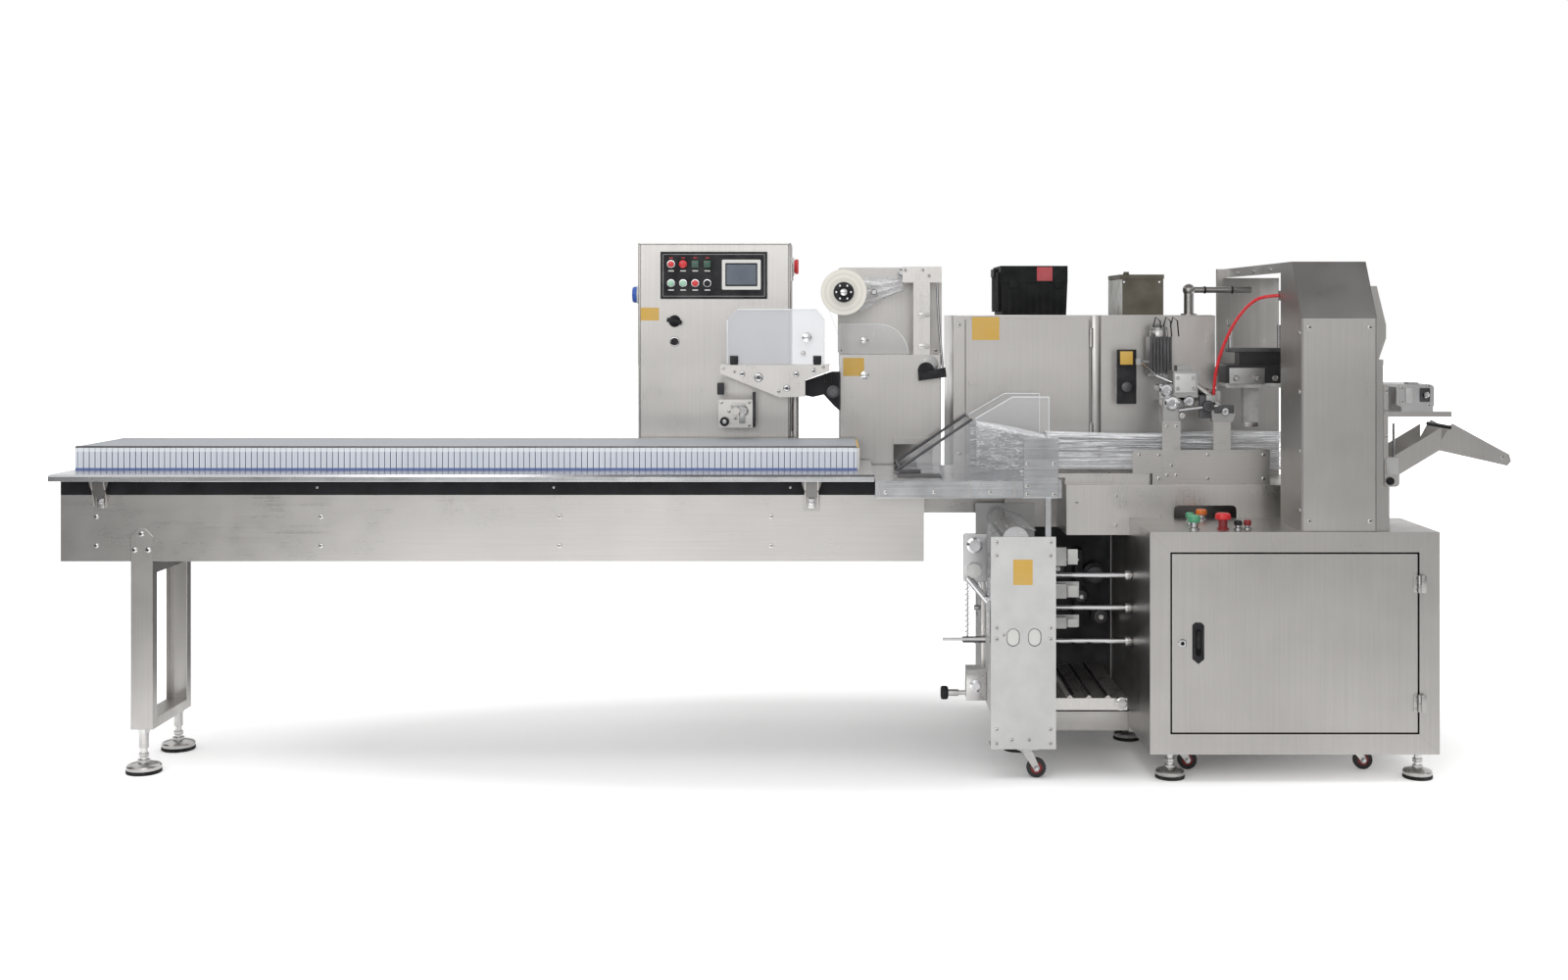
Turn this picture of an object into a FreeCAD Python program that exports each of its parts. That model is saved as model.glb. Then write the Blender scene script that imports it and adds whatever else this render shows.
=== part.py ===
"""Horizontal flow wrapper: infeed conveyor, forming box, film unwinds, centre seal, end seal and outfeed chute.

Millimetres, +Z up, operator side towards -Y. Pieces are drawn with X from the infeed end, Y from the front face of
the main cabinet towards the back and Z from the floor. At the end they are shifted so that the origin lies on the
floor in the middle of the machine.
"""
import FreeCAD
import Part
import math
import os

from FreeCAD import Vector

# ---- general ----
SHEET = 3.0
PLATE = 5.0
FIT = 0.3
RUN_GAP = 0.5
MACHINE_DEPTH = 1000.0

# ---- infeed bed ----
BED_START = 12.0
BED_LENGTH = 2518.0
BED_FRONT = 103.0
BED_WIDTH = 302.0
BED_BOTTOM = 618.0
BED_HEIGHT = 194.0
BED_FLANGE = 20.0
TIE_WIDTH = 40.0
TIE_HEIGHT = 110.0
TIE_STATIONS = (117.0, 772.0, 1467.0, 2084.0)
RAIL_HEIGHT = 44.0
RAIL_THICKNESS = 6.0

# ---- infeed table, slatted walls and cover ----
TABLE_LENGTH = 2384.0
TABLE_FRONT = 45.0
TABLE_WIDTH = 515.0
TABLE_LIP = 20.0
TABLE_SHEET = 4.0
TUNNEL_START = 10.0
TUNNEL_LENGTH = 2326.0
TUNNEL_FRONT = 205.0
TUNNEL_HEIGHT = 70.0
SLAT_PITCH = 17.23
SLAT_GAP = 2.5
SLAT_RELIEF = 2.0
SLAT_WALL = 6.0
COVER_SHEET = 4.0
BRACKET_STATIONS = (133.0, 2202.0)
BRACKET_HALF_TOP = 20.0
BRACKET_HALF_FOOT = 24.0
BRACKET_DROP = 64.0
BRACKET_FOOT_DROP = 85.0

# ---- infeed leg frame ----
LEG_START = 217.0
LEG_WIDTH = 65.0
LEG_FLANGE = 32.0
LEG_BOTTOM = 128.0
LEG_HEAD_RISE = 97.0
LEG_CHAMFER = 22.0
LEG_BAR_HEIGHT = 30.0
LEG_TIE_WIDTH = 22.0
LEG_TIE_DROP = 43.0

# ---- levelling feet ----
PAD_RADIUS = 48.0
PAD_RUBBER = 10.0
PAD_DOME = 18.0
PAD_HUB_RADIUS = 15.0
FOOT_ROD_RADIUS = 10.0
FOOT_NUT_ACROSS = 30.0
FOOT_NUT_HEIGHT = 12.0
SMALL_PAD_RADIUS = 40.0

# ---- main cabinet, front of the machine ----
CAB_START = 3170.0
CAB_WIDTH = 828.0
CAB_DEPTH = 350.0
CAB_BOTTOM = 81.0
CAB_TOP = 717.0
CAB_STILE = 58.0
CAB_FRAME_DEPTH = 25.0
DOOR_GAP = 5.0
DOOR_DEPTH = 22.0
HINGE_PIN_RADIUS = 4.0
HINGE_STANDOFF = 8.0
HINGE_HEIGHT = 50.0
HINGE_LEAF = 12.0
HINGE_LEAF_THICKNESS = 3.0
HINGE_INSET = 85.0
HANDLE_INSET = 58.0
HANDLE_WIDTH = 33.0
HANDLE_HEIGHT = 118.0
HANDLE_RISE = 6.0
LOCK_RADIUS = 12.0
LOCK_INSET = 29.0

# ---- base behind and beside the cabinet ----
BASE_BOTTOM = 62.0
BASE_TOP = 664.0
BASE_LENGTH = 820.0
BAY_START = 2810.0
BAY_BACK = 690.0
BAY_RAIL_FRONT = 370.0
BAY_RAIL_WIDTH = 30.0
BAY_RAIL_HEIGHT = 58.0

# ---- rear housing and the boxes on it ----
HOUSING_START = 2648.0
HOUSING_LENGTH = 832.0
HOUSING_FRONT = 560.0
HOUSING_STEP = 790.0
HOUSING_TOP = 1335.0
PANEL_START = 2687.0
PANEL_LENGTH = 391.0
PANEL_RISE = 4.0
COLUMN_RADIUS = 22.0
CASE_START = 2806.0
CASE_SIZE = (217.0, 260.0, 160.0)
CASE_SETBACK = 80.0
JUNCTION_START = 3191.0
JUNCTION_SIZE = (142.0, 240.0, 132.0)
CONDUIT_X = 3437.0
CONDUIT_Y = 760.0
CONDUIT_RADIUS = 16.0
CONDUIT_ARM_RADIUS = 10.0
CONDUIT_RISE = 84.0
CONDUIT_REACH = 205.0

# ---- carrier beam, control box and its controls ----
BEAM_START = 1600.0
BEAM_FRONT = 590.0
BEAM_WIDTH = 60.0
BEAM_BOTTOM = 705.0
BEAM_HEIGHT = 85.0
ARM_STATIONS = (1700.0, 2060.0)
ARM_WIDTH = 60.0
ARM_HEIGHT = 50.0
BOX_START = 1644.0
BOX_WIDTH = 487.0
BOX_FRONT = 580.0
BOX_DEPTH = 250.0
BOX_HEIGHT = 776.0
BOX_FILLET = 6.0
PANEL_INSET = 72.0
PANEL_WIDTH = 340.0
PANEL_HEIGHT = 150.0
PANEL_DROP = 28.0
PANEL_THICKNESS = 6.0
SCREEN_WIDTH = 130.0
SCREEN_HEIGHT = 102.0
SCREEN_RISE = 4.0
SCREEN_BORDER = 17.0
SCREEN_INSET = 20.0
BUTTON_RADIUS = 13.0
BUTTON_PITCH = 38.5
BUTTON_ROW_PITCH = 61.0
BUTTON_RISE = 12.0
SWITCH_RADIUS = 30.0
SWITCH_RISE = 18.0

# ---- guide unit with its clear cover ----
GUIDE_FRONT = 515.0
GUIDE_LEDGE = 1180.0
GUIDE_COVER_START = 1931.0
GUIDE_COVER_WIDTH = 308.0
GUIDE_COVER_HEIGHT = 175.0
GUIDE_COVER_DEPTH = 62.0
GUIDE_COVER_CORNER = 33.0
COVER_WALL = 4.0
COVER_PIN_RADIUS = 4.0

# ---- film stand with the upper reel ----
STAND_START = 2286.0
STAND_WIDTH = 324.0
STAND_FRONT = 577.0
STAND_DEPTH = 203.0
STAND_TOP = 1210.0
BACK_PLATE_Y = 700.0
BACK_PLATE_START = 2282.0
BACK_PLATE_WIDTH = 338.0
BACK_PLATE_HEIGHT = 281.0
REEL_X = 2299.0
REEL_Z = 1408.0
REEL_RADIUS = 72.0
REEL_CORE_RADIUS = 32.0
REEL_WIDTH = 210.0
SPINDLE_RADIUS = 11.0
RAIL_X = 2522.0
RAIL_WIDTH = 53.0
RAIL_DEPTH = 12.0
RAIL_SLOT = 10.0
ROLLER_X = 2503.0
ROLLER_Z = 1462.0
ROLLER_RADIUS = 10.0
ROLLER_PIN_RADIUS = 4.0

# ---- forming section ----
FORM_START = 2385.0
FORM_LENGTH = 537.0
FORM_FRONT = 30.0
FORM_TOP = 860.0
FORM_LIP = 50.0
FORMER_FRONT = 296.0
FORMER_BACK = 540.0
FORMER_PANEL = 4.0
FORMER_BAR_RADIUS = 4.0
FORMER_OUTLINE = ((2455.0, 860.0), (2695.0, 1023.0), (2808.0, 1089.0), (2920.0, 1089.0), (2920.0, 860.0))
FILM_FRONT = 380.0
FILM_WIDTH = 140.0
FILM_HEIGHT = 137.0
FILM_START = 2925.0
FILM_END = 3940.0
FILM_WALL = 2.0

# ---- lower film unit ----
LOWER_START = 2718.0
LOWER_WIDTH = 187.0
LOWER_FRONT = 29.0
LOWER_BOTTOM = 89.0
LOWER_TOP = 699.0
LOWER_REAR = 555.0
ROD_Y = 300.0
ROD_RADIUS = 8.0
ROD_LEVELS = (350.0, 451.0, 549.0)
ROD_START = 2692.0
TOP_ROLLER = (2790.0, 690.0)
TOP_ROLLER_RADIUS = 38.0
MID_ROLLER = (2735.0, 500.0)
MID_ROLLER_RADIUS = 15.0
MID_FLANGE_RADIUS = 40.0
LOWER_PIN_RADIUS = 7.0
TRAY_END = 3114.0
TRAY_TOP = 230.0
TRAY_HEIGHT = 34.0

# ---- casters ----
WHEEL_RADIUS = 28.0
WHEEL_WIDTH = 20.0
WHEEL_LIFT = 0.6
AXLE_RADIUS = 4.0
TRAIL = 27.0
FORK_LEG = 3.0
FORK_CROWN_RADIUS = 20.0
FORK_CROWN = 9.0
CASTER_PLATE = 4.0
CASTER_PLATE_SIDE = 60.0

# ---- centre seal ----
DECK_START = 2978.0
DECK_END = 3830.0
DECK_TOP = 817.0
NOTCH_START = 3308.0
NOTCH_LENGTH = 191.0
NOTCH_HEIGHT = 90.0
NOTCH_CORNER = 15.0
FILM_BED_TOP = 850.0
STEP_PLATE_TOP = 924.0
POST_TOP = 1012.0

# ---- end seal ----
SEAL_START = 3605.0
SEAL_WIDTH = 216.0
SEAL_FRONT = 8.0
SEAL_SIDE_DEPTH = 232.0
SEAL_KNEE = 1327.0
SEAL_TOP = 1493.0
SEAL_SLOPE_DEPTH = 106.0
SEAL_BEAM = 30.0

# ---- outfeed ----
OUT_FRAME_X = 3950.0
OUT_FRAME_THICKNESS = 14.0
OUT_FRONT = 350.0
OUT_WIDTH = 200.0
OUT_SHEET = 3.0
CHUTE_OUTLINE = ((4112.0, 924.0), (4329.0, 875.0), (4341.0, 889.0), (4335.0, 910.0), (4161.0, 1005.0), (4148.0, 990.0))

# ---- air hose, centre line ----
HOSE_RADIUS = 5.0
HOSE_ROUTE = (
    (3431.0, 365.0, 1065.0), (3433.0, 365.0, 1130.0), (3445.0, 358.0, 1200.0), (3468.0, 345.0, 1270.0),
    (3500.0, 325.0, 1335.0), (3538.0, 299.0, 1381.0), (3571.0, 270.0, 1394.0), (3605.0, 255.0, 1395.0),
)

# ---- sizes that follow from the ones above ----
BED_END = BED_START + BED_LENGTH
BED_BACK = BED_FRONT + BED_WIDTH
BED_TOP = BED_BOTTOM + BED_HEIGHT
RAIL_TOP = BED_TOP + RAIL_HEIGHT
TABLE_TOP = RAIL_TOP + TABLE_LIP
TABLE_BACK = TABLE_FRONT + TABLE_WIDTH
TUNNEL_END = TUNNEL_START + TUNNEL_LENGTH
TUNNEL_TOP = TABLE_TOP + TUNNEL_HEIGHT
LEG_END = LEG_START + LEG_WIDTH
LEG_X = LEG_START + LEG_WIDTH / 2
CAB_END = CAB_START + CAB_WIDTH
DOOR_LEFT = CAB_START + CAB_STILE + DOOR_GAP
DOOR_RIGHT = CAB_END - CAB_STILE - DOOR_GAP
DOOR_BOTTOM = CAB_BOTTOM + CAB_STILE + DOOR_GAP
DOOR_TOP = CAB_TOP - CAB_STILE - DOOR_GAP
DOOR_AXIS = (DOOR_RIGHT + DOOR_GAP / 2, -HINGE_STANDOFF)
BEAM_TOP = BEAM_BOTTOM + BEAM_HEIGHT
BOX_TOP = BEAM_TOP + BOX_HEIGHT
BOX_END = BOX_START + BOX_WIDTH
COVER_AXIS = (GUIDE_FRONT - COVER_PIN_RADIUS, GUIDE_LEDGE + FIT + COVER_PIN_RADIUS)
STAND_END = STAND_START + STAND_WIDTH
FORM_END = FORM_START + FORM_LENGTH
LOWER_END = LOWER_START + LOWER_WIDTH
SEAL_END = SEAL_START + SEAL_WIDTH
SEAL_BACK_OF_SIDES = SEAL_FRONT + SEAL_SIDE_DEPTH
OUT_BACK = OUT_FRONT + OUT_WIDTH
REEL_FRONT = BACK_PLATE_Y - 10.0 - REEL_WIDTH
WHEEL_CENTRE = WHEEL_RADIUS + WHEEL_LIFT

# Casters: name, swivel axis and the height of the face that they are screwed to.
CASTERS = (
    ("unit", 2825.0, 64.0, LOWER_BOTTOM),
    ("left", 3280.0, 155.0, CAB_BOTTOM),
    ("right", 3797.0, 155.0, CAB_BOTTOM),
)

# Levelling feet: x, y, height of the underside that they are screwed into, pad radius.
FEET = (
    (LEG_X, BED_FRONT + 15.0, LEG_BOTTOM, PAD_RADIUS),
    (LEG_X, BED_BACK - 15.0, LEG_BOTTOM, PAD_RADIUS),
    (CAB_START + 68.0, 60.0, CAB_BOTTOM, SMALL_PAD_RADIUS),
    (CAB_END - 44.0, 60.0, CAB_BOTTOM, SMALL_PAD_RADIUS),
    (CAB_START + 22.0, 520.0, BASE_BOTTOM, SMALL_PAD_RADIUS),
    (CAB_END - 60.0, 520.0, BASE_BOTTOM, SMALL_PAD_RADIUS),
    (CAB_END - 60.0, MACHINE_DEPTH - 60.0, BASE_BOTTOM, SMALL_PAD_RADIUS),
    (BAY_START + 60.0, MACHINE_DEPTH - 60.0, BASE_BOTTOM, SMALL_PAD_RADIUS),
    (BAY_START + 20.0, BAY_RAIL_FRONT + BAY_RAIL_WIDTH / 2, BASE_BOTTOM, SMALL_PAD_RADIUS),
)


# ---- shape helpers ----
def box(x0, x1, y0, y1, z0, z1):
    return Part.makeBox(x1 - x0, y1 - y0, z1 - z0, Vector(x0, y0, z0))


def prism(points, direction):
    wire = Part.makePolygon([*points, points[0]])
    return Part.Face(wire).extrude(direction)


def prism_xz(outline, y0, y1):
    return prism([Vector(x, y0, z) for x, z in outline], Vector(0, y1 - y0, 0))


def prism_yz(outline, x0, x1):
    return prism([Vector(x0, y, z) for y, z in outline], Vector(x1 - x0, 0, 0))


def prism_xy(outline, z0, z1):
    return prism([Vector(x, y, z0) for x, y in outline], Vector(0, 0, z1 - z0))


def rod_x(y, z, radius, x0, x1):
    return Part.makeCylinder(radius, x1 - x0, Vector(x0, y, z), Vector(1, 0, 0))


def rod_y(x, z, radius, y0, y1):
    return Part.makeCylinder(radius, y1 - y0, Vector(x, y0, z), Vector(0, 1, 0))


def rod_z(x, y, radius, z0, z1):
    return Part.makeCylinder(radius, z1 - z0, Vector(x, y, z0))


def union(first, *others):
    return first.fuse(list(others)).removeSplitter() if others else first


def edges_along(shape, axis):
    """Straight edges of a shape that run along one axis."""
    found = []
    for edge in shape.Edges:
        if edge.Curve.TypeId == "Part::GeomLine" and abs(edge.tangentAt(edge.FirstParameter).dot(axis)) > 0.999:
            found.append(edge)
    return found


def rounded(shape, radius, axis):
    return shape.makeFillet(radius, edges_along(shape, axis))


def turned(profile, x, y):
    """Solid of revolution about a vertical axis from (radius, height) points that start and end on the axis."""
    wire = Part.makePolygon([Vector(x + r, y, z) for r, z in [*profile, profile[0]]])
    return Part.Face(wire).revolve(Vector(x, y, 0), Vector(0, 0, 1), 360)


def hexagon(x, y, across, z0, z1):
    radius = across / 2 / math.cos(math.pi / 6)
    corners = [(x + radius * math.cos(math.pi * k / 3), y + radius * math.sin(math.pi * k / 3)) for k in range(6)]
    return prism_xy(corners, z0, z1)


def mirror_y(shape, middle):
    return shape.mirror(Vector(0, middle, 0), Vector(0, 1, 0))


# ---- infeed conveyor ----
def infeed_panels():
    """Two folded side panels, flanges inwards at top and bottom."""
    front = prism_yz(
        (
            (BED_FRONT, BED_BOTTOM), (BED_FRONT + BED_FLANGE, BED_BOTTOM),
            (BED_FRONT + BED_FLANGE, BED_BOTTOM + SHEET), (BED_FRONT + SHEET, BED_BOTTOM + SHEET),
            (BED_FRONT + SHEET, BED_TOP - SHEET), (BED_FRONT + BED_FLANGE, BED_TOP - SHEET),
            (BED_FRONT + BED_FLANGE, BED_TOP), (BED_FRONT, BED_TOP),
        ),
        BED_START, BED_END,
    )
    return [front, mirror_y(front, (BED_FRONT + BED_BACK) / 2)]


def infeed_ties():
    """Square spacer tubes that hold the side panels apart, two screws at each end."""
    middle = (BED_BOTTOM + BED_TOP) / 2 - 8
    ties = []
    for x in TIE_STATIONS:
        outer = box(
            x - TIE_WIDTH / 2, x + TIE_WIDTH / 2, BED_FRONT + SHEET, BED_BACK - SHEET,
            middle - TIE_HEIGHT / 2, middle + TIE_HEIGHT / 2,
        )
        ties.append(rounded(outer, 4, Vector(0, 1, 0)))
    return ties


def table_rails():
    front = box(BED_START, BED_END, BED_FRONT, BED_FRONT + RAIL_THICKNESS, BED_TOP, RAIL_TOP)
    return [front, mirror_y(front, (BED_FRONT + BED_BACK) / 2)]


def infeed_table():
    """Folded top sheet with lips at both edges and two ribs that stand on the rails."""
    low, under = RAIL_TOP, TABLE_TOP - TABLE_SHEET
    rib_a, rib_b = BED_FRONT, BED_BACK - RAIL_THICKNESS
    outline = [(TABLE_FRONT, low), (TABLE_FRONT + TABLE_SHEET, low), (TABLE_FRONT + TABLE_SHEET, under)]
    for rib in (rib_a, rib_b):
        outline += [(rib, under), (rib, low), (rib + RAIL_THICKNESS, low), (rib + RAIL_THICKNESS, under)]
    outline += [(TABLE_BACK - TABLE_SHEET, under), (TABLE_BACK - TABLE_SHEET, low), (TABLE_BACK, low)]
    outline += [(TABLE_BACK, TABLE_TOP), (TABLE_FRONT + 6, TABLE_TOP), (TABLE_FRONT, TABLE_TOP - 6)]
    return [prism_yz(outline, 0, TABLE_LENGTH)]


def table_bracket(x, front):
    """Pressed bracket: two tapering cheeks under the table overhang and a foot on the side panel."""
    top = TABLE_TOP - TABLE_SHEET
    reach = TABLE_FRONT + 15 if front else TABLE_BACK - 15
    face = BED_FRONT if front else BED_BACK
    out = -1 if front else 1
    pieces = []
    for side in (-1, 1):
        cheek_x = x + side * (BRACKET_HALF_TOP - SHEET / 2)
        cheek = ((reach, top), (face, top), (face, top - BRACKET_DROP - 30), (face + out * 8, top - BRACKET_DROP - 30))
        pieces.append(prism_yz(cheek, cheek_x - SHEET / 2, cheek_x + SHEET / 2))
    foot_y = sorted((face, face + out * SHEET))
    foot_top = top - BRACKET_DROP
    pieces.append(box(
        x - BRACKET_HALF_FOOT, x + BRACKET_HALF_FOOT, foot_y[0], foot_y[1], foot_top - BRACKET_FOOT_DROP / 2, foot_top
    ))
    return union(*pieces)


def table_brackets():
    return [table_bracket(x, front) for x in BRACKET_STATIONS for front in (True, False)]


def slat_walls():
    """Long side walls of upright slats, moulded on one backing strip each."""
    outline = [(TUNNEL_START, TUNNEL_FRONT + SLAT_WALL)]
    count = int(TUNNEL_LENGTH // SLAT_PITCH)
    margin = (TUNNEL_LENGTH - count * SLAT_PITCH + SLAT_GAP) / 2
    recess = TUNNEL_FRONT + SLAT_RELIEF
    outline.append((TUNNEL_START, recess))
    for k in range(count):
        left = TUNNEL_START + margin + k * SLAT_PITCH
        right = left + SLAT_PITCH - SLAT_GAP
        outline += [(left, recess), (left, TUNNEL_FRONT), (right, TUNNEL_FRONT), (right, recess)]
    outline += [(TUNNEL_END, recess), (TUNNEL_END, TUNNEL_FRONT + SLAT_WALL)]
    front = prism_xy(outline, TABLE_TOP, TUNNEL_TOP - COVER_SHEET)
    return [front, mirror_y(front, (TUNNEL_FRONT + TABLE_BACK) / 2)]


def infeed_cover():
    plate = box(TUNNEL_START, TUNNEL_END, TUNNEL_FRONT, TABLE_BACK, TUNNEL_TOP - COVER_SHEET, TUNNEL_TOP)
    return [plate.makeFillet(1.5, [e for e in plate.Edges if e.BoundBox.ZMin > TUNNEL_TOP - 0.1])]


def infeed_leg_frame():
    """Channel legs bolted outside the bed, tied near the top and joined by a bar at the bottom."""
    head = BED_BOTTOM + LEG_HEAD_RISE
    web = prism_xz(
        (
            (LEG_START, LEG_BOTTOM), (LEG_END, LEG_BOTTOM), (LEG_END, head - LEG_CHAMFER),
            (LEG_END - LEG_CHAMFER, head), (LEG_START + LEG_CHAMFER, head), (LEG_START, head - LEG_CHAMFER),
        ),
        BED_FRONT - SHEET, BED_FRONT,
    )
    flange_top = BED_BOTTOM - SHEET
    flanges = [
        box(x, x + SHEET, BED_FRONT, BED_FRONT + LEG_FLANGE, LEG_BOTTOM, flange_top)
        for x in (LEG_START, LEG_END - SHEET)
    ]
    leg = union(web, *flanges)
    other = mirror_y(leg, (BED_FRONT + BED_BACK) / 2)
    bar = box(LEG_START, LEG_END, BED_FRONT, BED_BACK, LEG_BOTTOM, LEG_BOTTOM + LEG_BAR_HEIGHT)
    tie_top = BED_BOTTOM - LEG_TIE_DROP / 3
    tie = box(LEG_X - LEG_TIE_WIDTH / 2, LEG_X + LEG_TIE_WIDTH / 2, BED_FRONT, BED_BACK, tie_top - LEG_TIE_DROP * 0.7,
              tie_top)
    return [union(leg, other, bar, tie)]


def levelling_foot(x, y, top, pad_radius):
    """Rubber pad, pressed dome, threaded rod and lock nut."""
    dome_top = PAD_RUBBER + PAD_DOME
    pad = turned(
        (
            (0, 0), (pad_radius, 0), (pad_radius, PAD_RUBBER), (pad_radius - 3, PAD_RUBBER + 6),
            (PAD_HUB_RADIUS + 4, dome_top - 4), (PAD_HUB_RADIUS, dome_top), (0, dome_top),
        ),
        x, y,
    )
    rod = rod_z(x, y, FOOT_ROD_RADIUS, dome_top - 2, top)
    nut = hexagon(x, y, FOOT_NUT_ACROSS, top - FOOT_NUT_HEIGHT, top)
    return union(pad, rod, nut)


def levelling_feet():
    return [levelling_foot(*foot) for foot in FEET]


# ---- beam, control box and guide unit ----
def carrier_beam():
    beam = box(BEAM_START, BAY_START, BEAM_FRONT, BEAM_FRONT + BEAM_WIDTH, BEAM_BOTTOM, BEAM_TOP)
    arms = [
        box(x, x + ARM_WIDTH, BED_BACK, BEAM_FRONT, BEAM_TOP - ARM_HEIGHT, BEAM_TOP) for x in ARM_STATIONS
    ]
    return [union(beam, *arms)]


def control_box():
    body = box(BOX_START, BOX_END, BOX_FRONT, BOX_FRONT + BOX_DEPTH, BEAM_TOP, BOX_TOP)
    return [rounded(body, BOX_FILLET, Vector(0, 0, 1))]


def panel_box():
    """Left, right, bottom and top of the black control panel."""
    left = BOX_START + PANEL_INSET
    top = BOX_TOP - PANEL_DROP
    return left, left + PANEL_WIDTH, top - PANEL_HEIGHT, top


def control_panel():
    left, right, low, top = panel_box()
    face = BOX_FRONT - PANEL_THICKNESS
    plate = box(left, right, face, BOX_FRONT, low, top)
    s_right = right - SCREEN_INSET
    s_left = s_right - SCREEN_WIDTH
    s_mid = (low + top) / 2
    s_low, s_top = s_mid - SCREEN_HEIGHT / 2, s_mid + SCREEN_HEIGHT / 2
    bezel = box(s_left, s_right, face - SCREEN_RISE, face, s_low, s_top)
    glass = box(
        s_left + SCREEN_BORDER, s_right - SCREEN_BORDER, face - SCREEN_RISE, face - SCREEN_RISE / 2,
        s_low + SCREEN_BORDER, s_top - SCREEN_BORDER,
    )
    return [union(plate, bezel).cut(glass)]


def push_button(x, z, face, radius, rise):
    collar = rod_y(x, z, radius, face - rise / 3, face)
    cap = rod_y(x, z, radius * 0.78, face - rise, face - rise / 3)
    return union(collar, cap)


def box_controls():
    """Eight panel buttons, door knob and lock, a socket on the left side and a main switch on the right side."""
    left, right, low, top = panel_box()
    face = BOX_FRONT - PANEL_THICKNESS
    first_x, first_z = left + 34, (low + top) / 2 - BUTTON_ROW_PITCH / 2 + 5
    solids = []
    for row in range(2):
        for column in range(4):
            x = first_x + column * BUTTON_PITCH
            z = first_z + row * BUTTON_ROW_PITCH
            solids.append(push_button(x, z, face, BUTTON_RADIUS, BUTTON_RISE))
    knob_x, knob_z = BOX_START + 117, BOX_TOP - 249
    knob = union(
        rod_y(knob_x, knob_z, 14, BOX_FRONT - 14, BOX_FRONT),
        box(knob_x - 24, knob_x + 24, BOX_FRONT - 24, BOX_FRONT - 14, knob_z - 6, knob_z + 6),
    )
    lock = union(
        rod_y(knob_x, knob_z - 65, 15, BOX_FRONT - 5, BOX_FRONT),
        rod_y(knob_x, knob_z - 65, 10, BOX_FRONT - 9, BOX_FRONT - 5),
    )
    side_y = BOX_FRONT + 60
    socket = union(
        rod_x(side_y, BOX_TOP - 164, SWITCH_RADIUS, BOX_START - SWITCH_RISE, BOX_START),
        rod_x(side_y, BOX_TOP - 164, SWITCH_RADIUS - 8, BOX_START - SWITCH_RISE - 5, BOX_START - SWITCH_RISE),
    )
    switch = union(
        rod_x(side_y, BOX_TOP - 74, SWITCH_RADIUS, BOX_END, BOX_END + SWITCH_RISE / 2),
        box(BOX_END + SWITCH_RISE / 2, BOX_END + SWITCH_RISE + 6, side_y - 8, side_y + 8, BOX_TOP - 98, BOX_TOP - 50),
    )
    return solids + [knob, lock, socket, switch]


def guide_unit():
    """Bracket plates with rollers between them, the ledge under the clear cover, a post and the drive."""
    outline = (
        (1910, 1152), (2098, 1077), (2178, 1079), (2178, 1131), (2255, 1160), (2255, GUIDE_LEDGE), (1910, GUIDE_LEDGE),
    )
    front = prism_xz(outline, GUIDE_FRONT, GUIDE_FRONT + PLATE)
    back = prism_xz(outline, BOX_FRONT - PLATE, BOX_FRONT)
    ledge = box(1925, 2245, GUIDE_FRONT, BOX_FRONT, GUIDE_LEDGE - 4, GUIDE_LEDGE)
    rollers = [
        rod_y(x, z, r, GUIDE_FRONT - 6, BOX_FRONT - PLATE)
        for x, z, r in ((2031, 1140, 12), (1980, 1150, 8), (2120, 1105, 10), (2150, 1150, 8))
    ]
    post_x, post_y = BOX_END + 14, BOX_FRONT + 20
    post = rod_z(post_x, post_y, 11, BEAM_TOP, 1110)
    arm = box(post_x - 11, post_x + 11, BOX_FRONT, post_y, 1088, 1110)
    unit = union(front, back, ledge, post, arm, *rollers)
    lower = union(
        rounded(box(1904, 2013, GUIDE_FRONT + 5, GUIDE_FRONT + 10, 981, 1098 - 28), 6, Vector(0, 1, 0)),
        box(1925, 1990, GUIDE_FRONT + 10, BOX_FRONT, 995, 1060),
        rod_y(1960, 1035, 12, GUIDE_FRONT - 20, GUIDE_FRONT + 5),
        rod_y(1923, 1000, 10, GUIDE_FRONT - 2, GUIDE_FRONT + 5),
    )
    return [unit, lower]


def guide_drive():
    """Black drive housing between the guide unit and the film stand."""
    outline = (
        (2178, 1082), (2202, 1077), (2236, 1085), (2268, 1050), (STAND_START, 1034), (STAND_START, 1157),
        (2262, 1157), (2178, 1128),
    )
    body = prism_xz(outline, GUIDE_FRONT + 15, BOX_FRONT - PLATE - FIT)
    return [body]


def guide_cover():
    """Clear cover: chamfered front panel with a rim behind it, hinged along its lower front edge."""
    x0, x1 = GUIDE_COVER_START, GUIDE_COVER_START + GUIDE_COVER_WIDTH
    z0 = COVER_AXIS[1] - 3.5
    z1 = z0 + GUIDE_COVER_HEIGHT
    y0 = COVER_AXIS[0] - 2
    c = GUIDE_COVER_CORNER

    def outline(inset):
        return (
            (x0 + inset, z0), (x1 - inset, z0), (x1 - inset, z1 - c), (x1 - c * 0.8, z1 - inset),
            (x0 + c, z1 - inset), (x0 + inset, z1 - c),
        )

    outer = prism_xz(outline(0), y0, y0 + GUIDE_COVER_DEPTH)
    inner = prism_xz(outline(COVER_WALL), y0 + COVER_WALL, y0 + GUIDE_COVER_DEPTH)
    barrels = [
        rod_x(COVER_AXIS[0], COVER_AXIS[1], COVER_PIN_RADIUS, x, x + 24) for x in (x0 + 12, x1 - 36)
    ]
    return [union(outer.cut(inner), *barrels)]


# ---- film stand ----
def stand_box():
    body = rounded(
        box(STAND_START, STAND_END, STAND_FRONT, STAND_FRONT + STAND_DEPTH, BEAM_TOP, STAND_TOP), 4, Vector(0, 0, 1)
    )
    deflector = prism_yz(
        ((STAND_FRONT, 836), (STAND_FRONT, 946), (HOUSING_FRONT + 4, 946), (HOUSING_FRONT + 4, 926)),
        STAND_END - 152, STAND_END - 28,
    )
    return [union(body, deflector)]


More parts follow.
